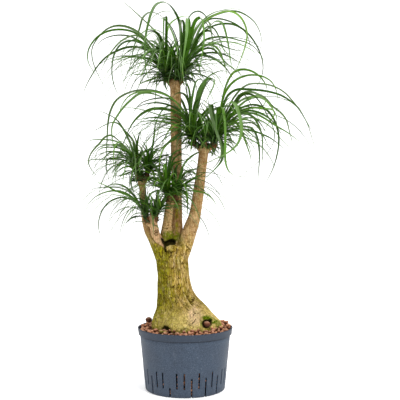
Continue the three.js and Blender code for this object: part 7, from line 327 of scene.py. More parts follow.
        (8.4, -0.604, 5.328, [(-46.6, -31.4, 574.4), (-46.1, -29.4, 586.3), (-45.8, -29.2, 598.4), (-45.3, -30.8, 610.4), (-44.6, -33.9, 622.0), (-43.4, -38.4, 633.2), (-41.4, -43.5, 644.0), (-38.4, -49.1, 654.3), (-34.3, -55.0, 664.1), (-28.8, -61.4, 672.7), (-20.7, -68.4, 678.3), (-11.5, -75.6, 681.3), (-1.7, -82.6, 680.4), (7.1, -88.8, 674.9), (15.4, -93.0, 667.2)]),
        (8.4, 0.291, -1.385, [(-50.6, -33.1, 574.4), (-49.5, -35.1, 584.5), (-48.2, -43.2, 591.8), (-46.8, -52.5, 597.4), (-45.3, -62.3, 602.2), (-43.6, -72.3, 606.5), (-41.7, -82.4, 610.6), (-39.7, -92.4, 614.5), (-37.4, -102.5, 618.4), (-34.7, -112.5, 622.0), (-31.5, -122.6, 625.3), (-26.9, -132.4, 626.0), (-23.2, -141.7, 621.5), (-21.3, -149.4, 614.0), (-20.6, -153.0, 603.8)]),
        (8.4, -0.164, -1.618, [(-53.0, -33.3, 574.4), (-54.6, -37.2, 568.5), (-55.4, -45.2, 565.5), (-55.9, -53.5, 563.2), (-56.2, -61.9, 561.3), (-56.3, -70.3, 559.4), (-56.2, -78.6, 557.6), (-55.9, -87.0, 555.7), (-55.6, -95.4, 553.7), (-55.3, -103.7, 551.7), (-55.2, -112.1, 549.6), (-55.5, -120.4, 547.4), (-55.9, -128.6, 545.0), (-56.7, -136.6, 542.0), (-58.5, -143.0, 536.9)]),
    ],
    "leaves_front_stem_right_1": [
        (9.1, -0.360, -1.340, [(-21.0, -35.0, 575.8), (-21.3, -40.2, 570.8), (-19.2, -48.0, 567.7), (-16.4, -55.8, 565.4), (-13.2, -63.6, 563.3), (-10.0, -71.4, 561.4), (-6.8, -79.2, 559.4), (-3.8, -87.0, 557.1), (-0.8, -94.7, 554.6), (2.1, -102.3, 551.8), (5.2, -109.8, 548.8), (8.4, -117.2, 545.5), (11.9, -124.1, 541.7), (15.9, -130.5, 537.4), (20.7, -135.0, 531.9)]),
        (8.4, 0.205, -1.503, [(-22.6, -35.3, 575.8), (-23.9, -33.7, 585.8), (-25.2, -35.3, 595.8), (-26.4, -39.4, 605.1), (-27.3, -45.2, 613.5), (-27.9, -52.2, 621.0), (-27.9, -59.3, 628.3), (-27.0, -66.3, 635.8), (-24.7, -73.0, 643.2), (-20.2, -79.3, 649.8), (-13.9, -86.3, 653.9), (-7.6, -94.0, 656.2), (-1.1, -101.7, 657.8), (6.0, -109.1, 658.5), (14.3, -115.0, 659.0)]),
        (9.1, -0.236, -1.663, [(-24.3, -35.3, 575.8), (-27.2, -34.2, 583.2), (-30.1, -33.8, 590.7), (-32.8, -34.0, 598.2), (-35.2, -35.0, 605.8), (-36.8, -37.4, 613.2), (-36.3, -42.9, 618.7), (-33.4, -50.2, 618.6), (-30.1, -57.3, 616.8), (-26.9, -64.4, 614.7), (-23.8, -71.4, 612.3), (-20.7, -78.3, 609.6), (-17.4, -84.8, 606.4), (-14.0, -90.8, 602.2), (-9.9, -95.0, 596.9)]),
        (8.4, 0.279, -1.360, [(-21.2, -35.1, 575.8), (-20.1, -35.3, 586.3), (-18.7, -40.9, 595.3), (-17.1, -48.8, 602.4), (-15.5, -57.9, 607.9), (-13.7, -67.4, 612.5), (-11.9, -77.1, 616.8), (-10.0, -86.8, 621.1), (-8.0, -96.5, 625.3), (-5.8, -106.1, 629.6), (-3.4, -115.7, 633.8), (0.5, -125.2, 636.5), (4.7, -134.1, 632.5), (6.5, -141.4, 624.9), (7.9, -145.0, 615.0)]),
        (8.4, 0.266, -1.769, [(-25.4, -35.1, 575.8), (-26.6, -35.3, 583.5), (-27.9, -40.7, 589.3), (-29.0, -47.6, 593.5), (-30.2, -55.0, 596.7), (-31.4, -62.7, 599.3), (-32.7, -70.3, 601.7), (-34.0, -78.0, 604.1), (-35.5, -85.7, 606.3), (-37.5, -93.4, 608.0), (-40.1, -101.1, 608.3), (-42.8, -108.6, 606.8), (-44.7, -115.7, 603.4), (-45.5, -121.7, 598.0), (-46.4, -125.0, 590.7)]),
    ],
    "leaves_front_stem_right_2": [
        (9.1, -0.752, -0.902, [(-17.0, -33.1, 575.8), (-12.6, -34.8, 584.2), (-7.7, -40.2, 590.7), (-2.6, -47.0, 595.6), (2.7, -54.4, 599.4), (8.0, -62.1, 602.5), (13.2, -69.9, 605.6), (18.4, -77.6, 608.7), (23.8, -85.3, 611.6), (29.4, -92.9, 614.5), (35.2, -100.3, 617.2), (41.4, -107.5, 619.9), (48.0, -114.3, 622.8), (55.0, -120.4, 625.9), (62.9, -125.0, 629.5)]),
        (8.4, 0.812, -0.711, [(-15.5, -31.7, 575.8), (-14.8, -30.7, 584.8), (-13.7, -31.4, 593.9), (-11.4, -33.6, 602.4), (-7.4, -37.3, 609.7), (-2.2, -42.1, 615.5), (3.1, -47.2, 621.0), (8.4, -52.3, 626.4), (14.1, -57.3, 631.4), (20.2, -62.4, 636.0), (26.7, -67.5, 639.9), (34.0, -72.5, 642.3), (41.7, -77.3, 642.7), (49.5, -81.8, 641.3), (57.6, -85.0, 638.6)]),
        (8.4, 0.663, -0.978, [(-17.6, -33.5, 575.8), (-13.6, -35.4, 578.7), (-10.2, -40.1, 579.4), (-7.1, -45.1, 578.8), (-4.2, -50.2, 577.5), (-1.5, -55.2, 575.8), (1.1, -60.3, 574.0), (3.7, -65.3, 572.1), (6.3, -70.2, 570.1), (8.9, -75.1, 567.9), (11.5, -79.9, 565.5), (14.3, -84.4, 562.9), (17.2, -88.7, 559.9), (20.4, -92.4, 556.6), (23.8, -95.0, 552.6)]),
        (8.4, 0.885, -0.646, [(-15.1, -31.2, 575.8), (-6.0, -34.7, 581.0), (3.2, -41.0, 581.3), (11.8, -48.0, 579.2), (20.3, -55.3, 578.0), (28.8, -62.6, 577.4), (37.3, -70.0, 576.4), (45.7, -77.4, 574.9), (54.0, -84.7, 572.6), (62.0, -91.6, 568.9), (69.6, -98.2, 563.7), (76.5, -104.0, 557.1), (82.9, -109.1, 549.3), (87.9, -112.9, 540.0), (92.2, -115.0, 529.8)]),
        (8.4, 0.670, -0.820, [(-16.3, -32.5, 575.8), (-14.0, -32.0, 585.4), (-11.2, -33.4, 594.8), (-8.0, -36.0, 603.9), (-4.7, -39.7, 612.5), (-1.2, -44.3, 620.6), (2.3, -49.3, 628.5), (5.7, -54.1, 636.4), (8.8, -58.8, 644.6), (11.8, -63.3, 653.0), (15.4, -67.9, 661.0), (22.1, -73.0, 664.4), (29.2, -78.1, 659.7), (35.0, -82.3, 652.8), (40.7, -85.0, 645.1)]),
        (8.4, 0.630, -0.814, [(-16.3, -32.5, 575.8), (-13.5, -32.3, 581.1), (-10.4, -35.0, 585.5), (-6.9, -39.0, 588.5), (-3.2, -43.6, 590.1), (0.4, -48.4, 590.8), (4.1, -53.3, 591.1), (7.8, -58.1, 590.8), (11.4, -62.9, 589.9), (15.0, -67.6, 588.3), (18.5, -72.1, 586.2), (22.0, -76.3, 583.4), (25.1, -80.1, 579.8), (27.8, -83.1, 575.3), (30.8, -85.0, 570.3)]),
        (8.4, 0.665, -0.816, [(-16.3, -32.5, 575.8), (-16.5, -30.8, 580.8), (-16.6, -30.2, 586.1), (-16.2, -30.8, 591.4), (-15.2, -32.6, 596.3), (-13.4, -35.5, 600.3), (-10.7, -38.9, 603.4), (-7.3, -42.6, 605.3), (-3.6, -46.3, 606.3), (0.2, -49.9, 607.2), (4.1, -53.5, 607.6), (8.2, -56.9, 607.4), (12.3, -60.1, 606.2), (16.4, -62.9, 604.1), (20.7, -65.0, 601.9)]),
    ],
    "leaves_front_stem_right_3": [
        (8.4, -0.810, 0.773, [(-16.0, -17.8, 575.8), (-15.6, -19.2, 583.9), (-14.8, -19.6, 592.2), (-13.7, -19.2, 600.4), (-12.2, -18.0, 608.4), (-10.5, -16.0, 616.3), (-9.0, -13.8, 624.1), (-7.9, -11.6, 632.0), (-6.8, -9.6, 639.9), (-5.2, -7.5, 647.8), (-3.2, -5.3, 655.5), (-0.7, -3.2, 663.1), (2.7, -0.7, 670.2), (7.9, 2.3, 675.8), (15.5, 5.0, 677.3)]),
        (7.7, -0.813, 0.784, [(-16.0, -17.7, 575.8), (-17.6, -19.5, 584.2), (-19.0, -20.4, 592.8), (-19.9, -20.4, 601.5), (-19.9, -19.4, 610.2), (-18.5, -17.1, 618.5), (-15.9, -13.8, 626.1), (-12.5, -10.2, 633.3), (-7.4, -5.9, 638.9), (-0.3, -1.2, 639.6), (6.7, 3.5, 637.3), (12.8, 7.6, 632.6), (17.8, 10.8, 626.2), (21.8, 13.4, 618.9), (25.7, 15.0, 611.2)]),
        (7.7, -0.686, 0.829, [(-16.4, -17.4, 575.8), (-10.0, -14.2, 577.0), (-5.0, -8.8, 576.0), (-1.2, -3.3, 572.8), (1.7, 2.1, 568.5), (3.7, 7.3, 563.5), (5.1, 12.1, 558.0), (6.0, 16.7, 552.2), (6.5, 21.0, 546.0), (6.8, 24.9, 539.6), (6.8, 28.3, 533.0), (6.5, 31.1, 526.1), (5.9, 33.2, 518.9), (5.2, 34.5, 511.6), (4.6, 35.0, 504.2)]),
        (8.4, -0.836, 0.821, [(-16.3, -17.5, 575.8), (-16.6, -18.7, 585.0), (-16.5, -18.3, 594.2), (-15.7, -16.6, 603.3), (-13.9, -13.4, 611.8), (-10.5, -8.8, 619.1), (-5.9, -3.5, 625.1), (-0.2, 2.1, 629.9), (6.1, 7.9, 633.5), (13.0, 13.7, 635.2), (20.3, 19.4, 634.5), (27.2, 24.7, 631.2), (33.5, 29.2, 626.1), (38.7, 32.8, 619.4), (43.5, 35.0, 611.8)]),
        (7.7, 0.975, 0.439, [(-14.0, -20.6, 575.8), (-14.7, -21.2, 593.8), (-14.6, -20.5, 611.7), (-12.5, -18.7, 629.5), (-7.4, -15.6, 646.4), (0.7, -11.1, 661.8), (12.4, -5.7, 674.3), (25.5, 0.3, 685.1), (40.5, 6.6, 692.5), (57.1, 13.2, 694.6), (73.7, 19.5, 692.2), (89.7, 25.5, 686.7), (104.9, 30.8, 678.6), (119.2, 35.6, 668.8), (133.4, 39.0, 658.4)]),
        (9.4, 0.700, 0.607, [(-14.9, -19.1, 575.8), (-16.4, -20.1, 587.5), (-15.9, -19.7, 599.4), (-13.0, -17.5, 610.7), (-8.0, -13.5, 620.7), (-1.2, -8.1, 628.8), (6.5, -1.7, 635.1), (14.9, 5.4, 639.6), (23.7, 13.1, 642.1), (32.5, 21.0, 642.4), (41.1, 29.0, 640.6), (49.3, 36.7, 636.7), (56.6, 43.9, 630.8), (63.0, 50.4, 623.1), (68.2, 55.7, 613.9)]),
    ],
    "leaves_front_stem_right_4": [
        (10.4, -0.361, 1.296, [(-20.5, -15.1, 575.8), (-20.6, -15.4, 584.8), (-20.1, -13.5, 593.6), (-18.9, -9.1, 601.4), (-17.1, -2.9, 607.6), (-14.9, 4.7, 612.2), (-12.6, 12.8, 615.4), (-10.2, 21.3, 617.3), (-7.7, 30.0, 617.9), (-5.3, 38.6, 617.1), (-2.8, 47.1, 614.9), (-0.5, 55.1, 611.5), (1.6, 62.6, 606.8), (3.5, 69.2, 601.1), (5.2, 75.0, 594.3)]),
        (9.5, -0.370, 2.071, [(-28.3, -16.0, 575.8), (-28.8, -15.0, 586.6), (-31.1, -11.1, 596.5), (-34.9, -4.7, 604.4), (-39.8, 3.4, 609.9), (-45.2, 12.3, 613.1), (-51.0, 21.5, 614.5), (-56.8, 30.7, 614.1), (-62.7, 39.6, 612.0), (-68.4, 48.2, 608.3), (-73.8, 56.1, 603.0), (-78.8, 63.2, 596.4), (-83.2, 69.3, 588.5), (-86.9, 74.5, 579.7), (-89.9, 78.5, 569.9)]),
    ],
    "leaves_short_stem_left_1": [
        (8.4, -0.511, 2.001, [(-118.2, -28.6, 512.1), (-119.8, -29.0, 520.2), (-121.9, -25.9, 527.7), (-124.1, -21.1, 534.1), (-126.3, -15.4, 539.9), (-128.3, -9.2, 545.1), (-130.2, -2.8, 550.3), (-131.8, 3.4, 555.6), (-133.2, 9.5, 561.2), (-134.3, 15.2, 567.2), (-134.9, 20.4, 573.7), (-134.8, 25.0, 580.7), (-133.8, 28.7, 588.1), (-130.8, 31.1, 595.5), (-126.7, 32.0, 602.8)]),
        (10.2, -0.662, 1.001, [(-108.3, -29.3, 512.1), (-109.3, -30.7, 519.7), (-109.3, -30.6, 527.4), (-108.1, -28.5, 534.7), (-105.9, -24.5, 540.9), (-103.0, -19.0, 545.5), (-99.8, -12.8, 548.9), (-96.4, -6.2, 551.0), (-93.1, 0.7, 551.8), (-89.8, 7.7, 551.1), (-86.8, 14.6, 549.0), (-84.1, 20.9, 545.6), (-81.7, 26.7, 541.0), (-79.8, 31.5, 535.3), (-78.4, 35.3, 528.7)]),
        (9.4, 0.338, 1.414, [(-112.3, -27.8, 512.1), (-112.3, -27.5, 522.9), (-111.9, -24.6, 533.3), (-111.2, -19.2, 542.6), (-110.2, -11.6, 550.3), (-109.2, -2.5, 556.1), (-108.1, 7.3, 560.6), (-107.0, 17.6, 563.6), (-106.0, 28.3, 565.1), (-105.1, 39.0, 565.2), (-104.2, 49.7, 563.7), (-103.5, 60.1, 560.7), (-102.9, 70.0, 556.3), (-102.4, 79.2, 550.6), (-102.0, 87.5, 543.7)]),
    ],
    "leaves_short_stem_left_2": [
        (9.1, 0.860, 3.350, [(-124.0, -40.1, 512.1), (-129.3, -40.8, 528.0), (-138.7, -42.8, 541.6), (-152.2, -45.7, 551.0), (-167.5, -49.1, 556.7), (-183.7, -52.7, 559.0), (-199.2, -56.3, 554.3), (-214.0, -59.6, 547.2), (-225.8, -62.4, 535.7), (-235.3, -64.7, 522.1), (-241.3, -66.3, 506.6), (-245.0, -67.3, 490.3), (-245.2, -67.8, 473.6), (-241.8, -68.0, 457.2), (-234.0, -68.0, 442.4)]),
        (9.1, 0.971, 3.567, [(-123.3, -42.3, 512.1), (-127.1, -42.7, 524.4), (-131.9, -44.8, 536.2), (-138.6, -47.9, 546.6), (-147.3, -52.1, 555.1), (-157.0, -56.9, 562.0), (-167.5, -61.9, 567.5), (-178.5, -67.1, 571.7), (-189.6, -72.3, 575.5), (-200.6, -77.3, 579.9), (-210.9, -82.0, 586.0), (-221.4, -86.5, 591.9), (-232.3, -90.9, 597.2), (-243.5, -95.0, 602.0), (-255.1, -98.0, 606.7)]),
        (8.4, -0.863, 2.941, [(-124.0, -35.9, 512.1), (-127.8, -35.7, 526.2), (-132.7, -34.7, 539.9), (-139.5, -33.3, 552.8), (-147.7, -31.4, 564.7), (-157.1, -29.3, 575.7), (-167.7, -27.0, 585.4), (-179.8, -24.5, 593.1), (-193.4, -21.8, 597.4), (-207.7, -19.0, 598.3), (-221.7, -16.3, 595.3), (-233.8, -13.9, 587.6), (-245.8, -11.7, 579.6), (-258.1, -9.5, 572.0), (-270.0, -8.0, 563.7)]),
        (8.4, 0.846, 2.769, [(-123.5, -34.2, 512.1), (-128.3, -33.5, 526.2), (-134.3, -31.2, 539.6), (-141.5, -28.0, 552.2), (-150.5, -24.1, 563.4), (-160.9, -19.5, 573.0), (-172.7, -14.7, 580.5), (-185.7, -9.6, 585.7), (-199.3, -4.4, 588.7), (-213.2, 0.7, 589.6), (-227.2, 5.6, 589.2), (-241.3, 10.4, 589.2), (-255.5, 14.8, 588.9), (-269.4, 19.0, 585.5), (-283.4, 22.0, 581.7)]),
        (9.1, 0.947, -2.624, [(-122.8, -43.1, 512.1), (-128.8, -44.4, 527.1), (-135.8, -48.3, 541.2), (-145.1, -53.7, 553.2), (-156.1, -60.4, 563.0), (-168.2, -67.9, 570.6), (-181.3, -75.9, 575.7), (-195.2, -84.1, 577.6), (-209.1, -92.3, 576.7), (-222.7, -100.2, 573.1), (-236.0, -107.6, 567.7), (-248.5, -114.4, 559.9), (-259.3, -120.1, 549.3), (-268.5, -124.9, 536.9), (-278.3, -128.0, 524.4)]),
        (8.4, 0.726, -2.326, [(-121.0, -45.5, 512.1), (-126.2, -47.6, 513.4), (-130.5, -52.1, 513.8), (-134.4, -57.0, 513.8), (-138.1, -61.9, 513.0), (-141.6, -66.8, 511.7), (-144.9, -71.7, 509.7), (-147.9, -76.5, 507.2), (-150.7, -81.1, 504.1), (-153.2, -85.5, 500.3), (-155.2, -89.4, 495.9), (-156.7, -92.7, 490.9), (-157.9, -95.3, 485.4), (-158.8, -97.1, 479.5), (-159.8, -98.0, 473.5)]),
        (9.6, 0.714, 2.618, [(-122.8, -32.8, 512.1), (-121.5, -33.7, 521.2), (-122.3, -33.2, 530.3), (-125.7, -31.5, 538.7), (-131.2, -28.7, 545.4), (-138.2, -25.2, 550.3), (-145.9, -21.4, 553.7), (-154.0, -17.6, 555.6), (-162.4, -13.7, 556.0), (-170.7, -10.0, 554.8), (-178.8, -6.5, 552.2), (-186.5, -3.4, 548.2), (-193.5, -0.5, 543.0), (-199.7, 1.9, 536.6), (-204.9, 3.8, 529.3)]),
    ],
    "leaves_short_stem_left_3": [
        (9.1, -0.386, 4.940, [(-111.6, -48.0, 512.1), (-113.2, -45.4, 508.5), (-114.7, -44.9, 504.0), (-114.8, -47.6, 500.1), (-113.7, -51.6, 497.8), (-112.2, -55.9, 496.1), (-110.6, -60.2, 494.6), (-108.9, -64.5, 493.2), (-107.1, -68.8, 491.9), (-105.1, -73.0, 490.7), (-103.0, -77.2, 489.7), (-100.6, -81.3, 488.8), (-98.0, -85.3, 487.9), (-95.1, -89.1, 487.1), (-91.5, -92.0, 485.9)]),
        (8.4, 0.741, 5.367, [(-107.6, -46.2, 512.1), (-108.9, -43.7, 518.6), (-109.9, -42.1, 525.4), (-110.6, -41.3, 532.4), (-110.7, -41.4, 539.4), (-110.2, -42.4, 546.3), (-109.3, -43.9, 553.2), (-108.5, -45.4, 560.0), (-107.8, -46.7, 566.9), (-107.4, -47.9, 573.9), (-106.8, -49.1, 580.8), (-105.1, -50.7, 587.4), (-101.5, -52.9, 593.1), (-96.7, -55.7, 597.4), (-90.9, -58.0, 600.6)]),
        (8.4, 0.359, 4.929, [(-111.7, -48.1, 512.1), (-110.4, -47.9, 518.2), (-109.1, -53.3, 522.2), (-108.0, -59.4, 525.0), (-106.9, -65.8, 527.3), (-105.9, -72.3, 529.3), (-104.7, -78.8, 531.3), (-103.5, -85.3, 533.2), (-102.0, -91.8, 535.0), (-100.3, -98.3, 536.7), (-98.3, -104.7, 538.1), (-95.9, -111.0, 539.2), (-93.1, -117.3, 539.3), (-90.3, -123.3, 537.5), (-86.9, -128.0, 534.0)]),
        (8.4, 0.362, 4.405, [(-117.0, -47.8, 512.1), (-120.1, -50.1, 519.2), (-122.1, -57.0, 524.0), (-124.0, -64.8, 527.4), (-126.1, -72.9, 529.6), (-128.3, -81.2, 531.0), (-130.6, -89.6, 531.7), (-133.0, -98.0, 531.7), (-135.3, -106.3, 531.0), (-137.3, -114.6, 529.3), (-139.0, -122.7, 526.7), (-140.5, -130.6, 523.3), (-141.7, -138.0, 519.0), (-142.5, -144.4, 513.2), (-143.8, -148.0, 505.5)]),
    ],
    "leaves_short_stem_right_1": [
        (8.4, -0.283, -1.389, [(-80.3, -48.1, 516.5), (-78.0, -48.8, 523.4), (-75.5, -53.6, 528.6), (-73.3, -59.6, 532.9), (-71.7, -65.9, 536.9), (-70.9, -72.4, 540.8), (-71.0, -78.9, 544.7), (-72.2, -85.5, 548.4), (-75.0, -92.1, 551.1), (-78.6, -98.5, 552.8), (-83.0, -104.8, 553.6), (-87.7, -110.7, 553.1), (-91.9, -116.9, 551.7), (-95.6, -123.2, 549.2), (-100.1, -128.0, 545.6)]),
        (8.4, -0.380, -1.790, [(-84.4, -48.1, 516.5), (-85.2, -46.3, 521.4), (-86.0, -48.8, 526.1), (-86.7, -53.2, 529.3), (-87.4, -58.2, 531.6), (-88.1, -63.3, 533.4), (-89.0, -68.5, 535.1), (-90.0, -73.7, 536.6), (-91.2, -78.9, 537.9), (-92.6, -84.1, 539.0), (-94.2, -89.2, 540.1), (-96.0, -94.3, 541.2), (-98.0, -99.3, 542.2), (-100.7, -104.1, 542.9), (-104.4, -108.0, 543.6)]),
        (7.7, 0.315, -1.819, [(-84.7, -48.0, 516.5), (-84.7, -45.8, 519.1), (-84.8, -44.3, 522.3), (-84.9, -43.9, 525.7), (-85.2, -45.0, 529.0), (-85.5, -47.2, 531.6), (-85.8, -49.8, 533.9), (-86.1, -52.4, 536.2), (-86.4, -55.0, 538.5), (-86.7, -57.5, 540.9), (-87.1, -59.9, 543.4), (-87.7, -62.2, 545.9), (-88.6, -64.4, 548.4), (-90.0, -66.5, 550.8), (-91.7, -68.0, 553.4)]),
        (8.4, 0.368, -1.778, [(-84.2, -48.1, 516.5), (-86.3, -48.8, 521.6), (-87.6, -54.4, 524.5), (-88.6, -60.5, 526.4), (-89.5, -66.7, 527.7), (-90.4, -73.1, 528.7), (-91.3, -79.4, 529.5), (-92.3, -85.7, 530.2), (-93.4, -92.1, 530.7), (-94.6, -98.4, 530.9), (-95.9, -104.7, 530.9), (-97.3, -111.0, 530.5), (-98.7, -117.2, 529.4), (-100.3, -123.2, 527.5), (-102.9, -128.0, 524.4)]),
        (8.4, 0.180, -1.613, [(-82.6, -48.3, 516.5), (-83.4, -45.9, 514.9), (-83.8, -49.0, 513.6), (-83.8, -52.4, 512.7), (-83.7, -55.8, 511.9), (-83.6, -59.2, 511.2), (-83.5, -62.6, 510.5), (-83.3, -66.0, 509.8), (-83.1, -69.4, 509.1), (-82.9, -72.8, 508.3), (-82.7, -76.1, 507.4), (-82.5, -79.5, 506.5), (-82.3, -82.8, 505.3), (-82.1, -85.9, 503.9), (-81.9, -88.0, 501.3)]),
    ],
    "leaves_short_stem_right_2": [
        (9.1, -0.634, -0.695, [(-74.2, -44.6, 516.5), (-74.7, -43.3, 520.0), (-74.1, -43.5, 523.8), (-72.5, -44.8, 527.1), (-70.5, -46.7, 529.8), (-68.3, -48.8, 532.2), (-66.2, -50.9, 534.6), (-64.3, -53.0, 537.3), (-62.4, -55.0, 540.0), (-60.5, -56.8, 542.8), (-58.5, -58.6, 545.6), (-56.6, -60.3, 548.5), (-54.6, -61.8, 551.5), (-52.6, -63.1, 554.5), (-50.6, -64.0, 557.7)]),
        (8.4, -0.598, -0.843, [(-75.3, -45.7, 516.5), (-73.2, -46.0, 522.3), (-70.5, -49.5, 526.9), (-67.5, -54.2, 530.2), (-64.2, -59.2, 532.5), (-60.9, -64.5, 534.2), (-57.6, -69.8, 535.7), (-54.1, -75.1, 537.0), (-50.5, -80.4, 537.8), (-46.8, -85.6, 538.0), (-42.9, -90.8, 537.6), (-39.0, -95.7, 536.6), (-35.2, -100.3, 534.1), (-32.5, -103.9, 529.6), (-29.9, -106.0, 524.1)]),
        (8.4, 0.613, -0.843, [(-75.3, -45.7, 516.5), (-72.2, -48.3, 521.3), (-69.2, -53.9, 524.0), (-66.3, -59.9, 525.7), (-63.4, -66.0, 526.8), (-60.4, -72.2, 527.7), (-57.5, -78.4, 528.4), (-54.5, -84.6, 528.8), (-51.5, -90.8, 528.9), (-48.4, -96.9, 528.7), (-45.1, -103.0, 528.2), (-41.8, -109.0, 527.5), (-38.2, -114.7, 525.9), (-35.1, -119.8, 522.6), (-32.1, -123.0, 517.4)]),
        (8.4, -0.479, 0.791, [(-74.9, -30.7, 516.5), (-75.8, -32.2, 520.1), (-76.4, -33.0, 523.9), (-76.5, -33.0, 527.9), (-75.9, -32.2, 531.8), (-74.7, -30.7, 535.4), (-73.5, -29.0, 538.8), (-72.5, -27.3, 542.3), (-71.6, -25.9, 545.9), (-70.9, -24.6, 549.7), (-70.5, -23.6, 553.5), (-70.4, -22.8, 557.5), (-70.6, -22.4, 561.5), (-70.9, -22.1, 565.5), (-71.2, -22.0, 569.5)]),
        (10.0, 0.839, 0.695, [(-74.2, -31.4, 516.5), (-75.8, -32.8, 523.0), (-76.1, -33.0, 529.8), (-74.5, -31.8, 536.3), (-71.0, -29.2, 541.5), (-66.4, -25.7, 545.1), (-61.2, -21.9, 547.4), (-55.7, -17.9, 548.4), (-50.1, -14.0, 548.1), (-44.6, -10.2, 546.4), (-39.5, -6.7, 543.6), (-34.8, -3.7, 539.6), (-30.9, -1.1, 534.6), (-27.7, 0.8, 528.9), (-25.6, 2.2, 522.5)]),
    ],
    "leaves_short_stem_right_3": [
        (8.4, 0.354, 1.419, [(-80.6, -27.8, 516.5), (-79.3, -26.2, 524.7), (-78.5, -18.9, 530.2), (-77.7, -10.6, 534.1), (-76.7, -1.9, 537.2), (-75.7, 6.8, 539.9), (-74.4, 15.6, 542.4), (-72.9, 24.4, 544.8), (-71.1, 33.2, 547.0), (-69.1, 42.0, 549.2), (-66.7, 50.6, 551.2), (-63.8, 59.2, 552.9), (-60.2, 67.6, 553.9), (-55.8, 75.6, 552.8), (-49.7, 82.0, 550.5)]),
        (9.8, -0.234, 1.608, [(-82.5, -27.7, 516.5), (-82.4, -29.6, 524.1), (-82.4, -30.1, 532.0), (-82.4, -28.5, 539.7), (-82.5, -25.0, 546.8), (-82.6, -19.8, 552.7), (-82.7, -13.6, 557.6), (-82.8, -6.8, 561.7), (-82.9, 0.5, 564.7), (-82.9, 8.1, 566.5), (-83.0, 16.0, 567.2), (-83.0, 23.9, 566.6), (-82.9, 31.6, 564.8), (-82.9, 38.9, 561.9), (-82.8, 45.6, 557.7)]),
        (9.9, -0.798, 2.419, [(-89.9, -31.2, 516.5), (-88.3, -32.5, 519.9), (-87.5, -33.2, 523.8), (-88.0, -32.8, 527.7), (-90.0, -30.9, 530.5), (-92.8, -28.5, 532.0), (-95.7, -25.8, 532.8), (-98.6, -23.1, 533.0), (-101.5, -20.4, 532.5), (-104.4, -17.8, 531.4), (-107.0, -15.3, 529.7), (-109.4, -13.0, 527.5), (-111.6, -11.0, 524.8), (-113.5, -9.2, 521.7), (-115.0, -7.7, 518.3)]),
    ],
}
# node: tuft name, first and last bearing of its sector
FANS = {
    "leaves_tall_stem_left_1": ("tall_stem_left", -0.2581, 1.6562),
    "leaves_tall_stem_left_2": ("tall_stem_left", 1.6562, 2.8031),
    "leaves_tall_stem_left_3": ("tall_stem_left", 2.8031, 4.0685),
    "leaves_tall_stem_left_4": ("tall_stem_left", 4.0685, 6.0251),
    "leaves_tall_stem_right_1": ("tall_stem_right", -2.9369, -1.0278),
    "leaves_tall_stem_right_2": ("tall_stem_right", -1.0278, -0.1788),
    "leaves_tall_stem_right_3": ("tall_stem_right", -0.1788, 0.6890),
    "leaves_tall_stem_right_4": ("tall_stem_right", 0.6890, 1.5979),
    "leaves_tall_stem_right_5": ("tall_stem_right", 1.5979, 3.3463),
    "leaves_right_stem_left_1": ("right_stem_left", -0.1580, 1.6893),
    "leaves_right_stem_left_2": ("right_stem_left", 1.6893, 3.5772),
    "leaves_right_stem_left_3": ("right_stem_left", 3.5772, 4.4192),
    "leaves_right_stem_left_4": ("right_stem_left", 4.4192, 6.1252),
    "leaves_right_stem_right_1": ("right_stem_right", -2.8280, -1.1393),
    "leaves_right_stem_right_2": ("right_stem_right", -1.1393, -0.3681),
    "leaves_right_stem_right_3": ("right_stem_right", -0.3681, 0.4007),
    "leaves_right_stem_right_4": ("right_stem_right", 0.4007, 1.5279),
    "leaves_right_stem_right_5": ("right_stem_right", 1.5279, 3.4552),
    "leaves_thin_stem_left_1": ("thin_stem_left", -0.3273, 1.9648),
    "leaves_thin_stem_left_2": ("thin_stem_left", 1.9648, 2.8275),
    "leaves_thin_stem_left_3": ("thin_stem_left", 2.8275, 3.9241),
    "leaves_thin_stem_left_4": ("thin_stem_left", 3.9241, 5.9559),
    "leaves_thin_stem_right_1": ("thin_stem_right", -2.9864, -0.8498),
    "leaves_thin_stem_right_2": ("thin_stem_right", -0.8498, 1.2987),
    "leaves_thin_stem_right_3": ("thin_stem_right", 1.2987, 3.2968),
    "leaves_front_stem_left_1": ("front_stem_left", 0.3526, 2.3984),
    "leaves_front_stem_left_2": ("front_stem_left", 2.3984, 4.4933),
    "leaves_front_stem_left_3": ("front_stem_left", 4.4933, 6.6358),
    "leaves_front_stem_right_1": ("front_stem_right", -3.1154, -1.1210),
    "leaves_front_stem_right_2": ("front_stem_right", -1.1210, -0.1500),
    "leaves_front_stem_right_3": ("front_stem_right", -0.1500, 1.0626),
    "leaves_front_stem_right_4": ("front_stem_right", 1.0626, 3.1678),
    "leaves_short_stem_left_1": ("short_stem_left", 0.0424, 2.3096),
    "leaves_short_stem_left_2": ("short_stem_left", 2.3096, 4.1815),
    "leaves_short_stem_left_3": ("short_stem_left", 4.1815, 6.3256),
    "leaves_short_stem_right_1": ("short_stem_right", -2.8415, -1.0499),
    "leaves_short_stem_right_2": ("short_stem_right", -1.0499, 1.1726),
    "leaves_short_stem_right_3": ("short_stem_right", 1.1726, 3.4416),
}
# tuft: x, y, z of the middle of its ring of feet, bud radius, ring radius
TUFTS = {
    "tall_stem_left": ((-57.83, 28.00, 926.04), 7.3, 17.5),
    "tall_stem_right": ((-13.18, 30.00, 923.41), 7.3, 17.5),
    "right_stem_left": ((24.44, -6.00, 732.37), 7.3, 17.5),
    "right_stem_right": ((85.98, -8.00, 726.33), 7.3, 17.5),
    "thin_stem_left": ((-143.80, 6.00, 639.01), 5.9, 13.8),
    "thin_stem_right": ((-111.21, 4.00, 635.98), 5.9, 13.8),
    "front_stem_left": ((-52.50, -23.00, 572.36), 5.9, 13.8),
    "front_stem_right": ((-23.34, -25.00, 573.80), 5.9, 13.8),
    "short_stem_left": ((-113.89, -38.00, 510.12), 5.9, 13.8),
    "short_stem_right": ((-82.13, -38.00, 514.46), 5.9, 13.8),
}
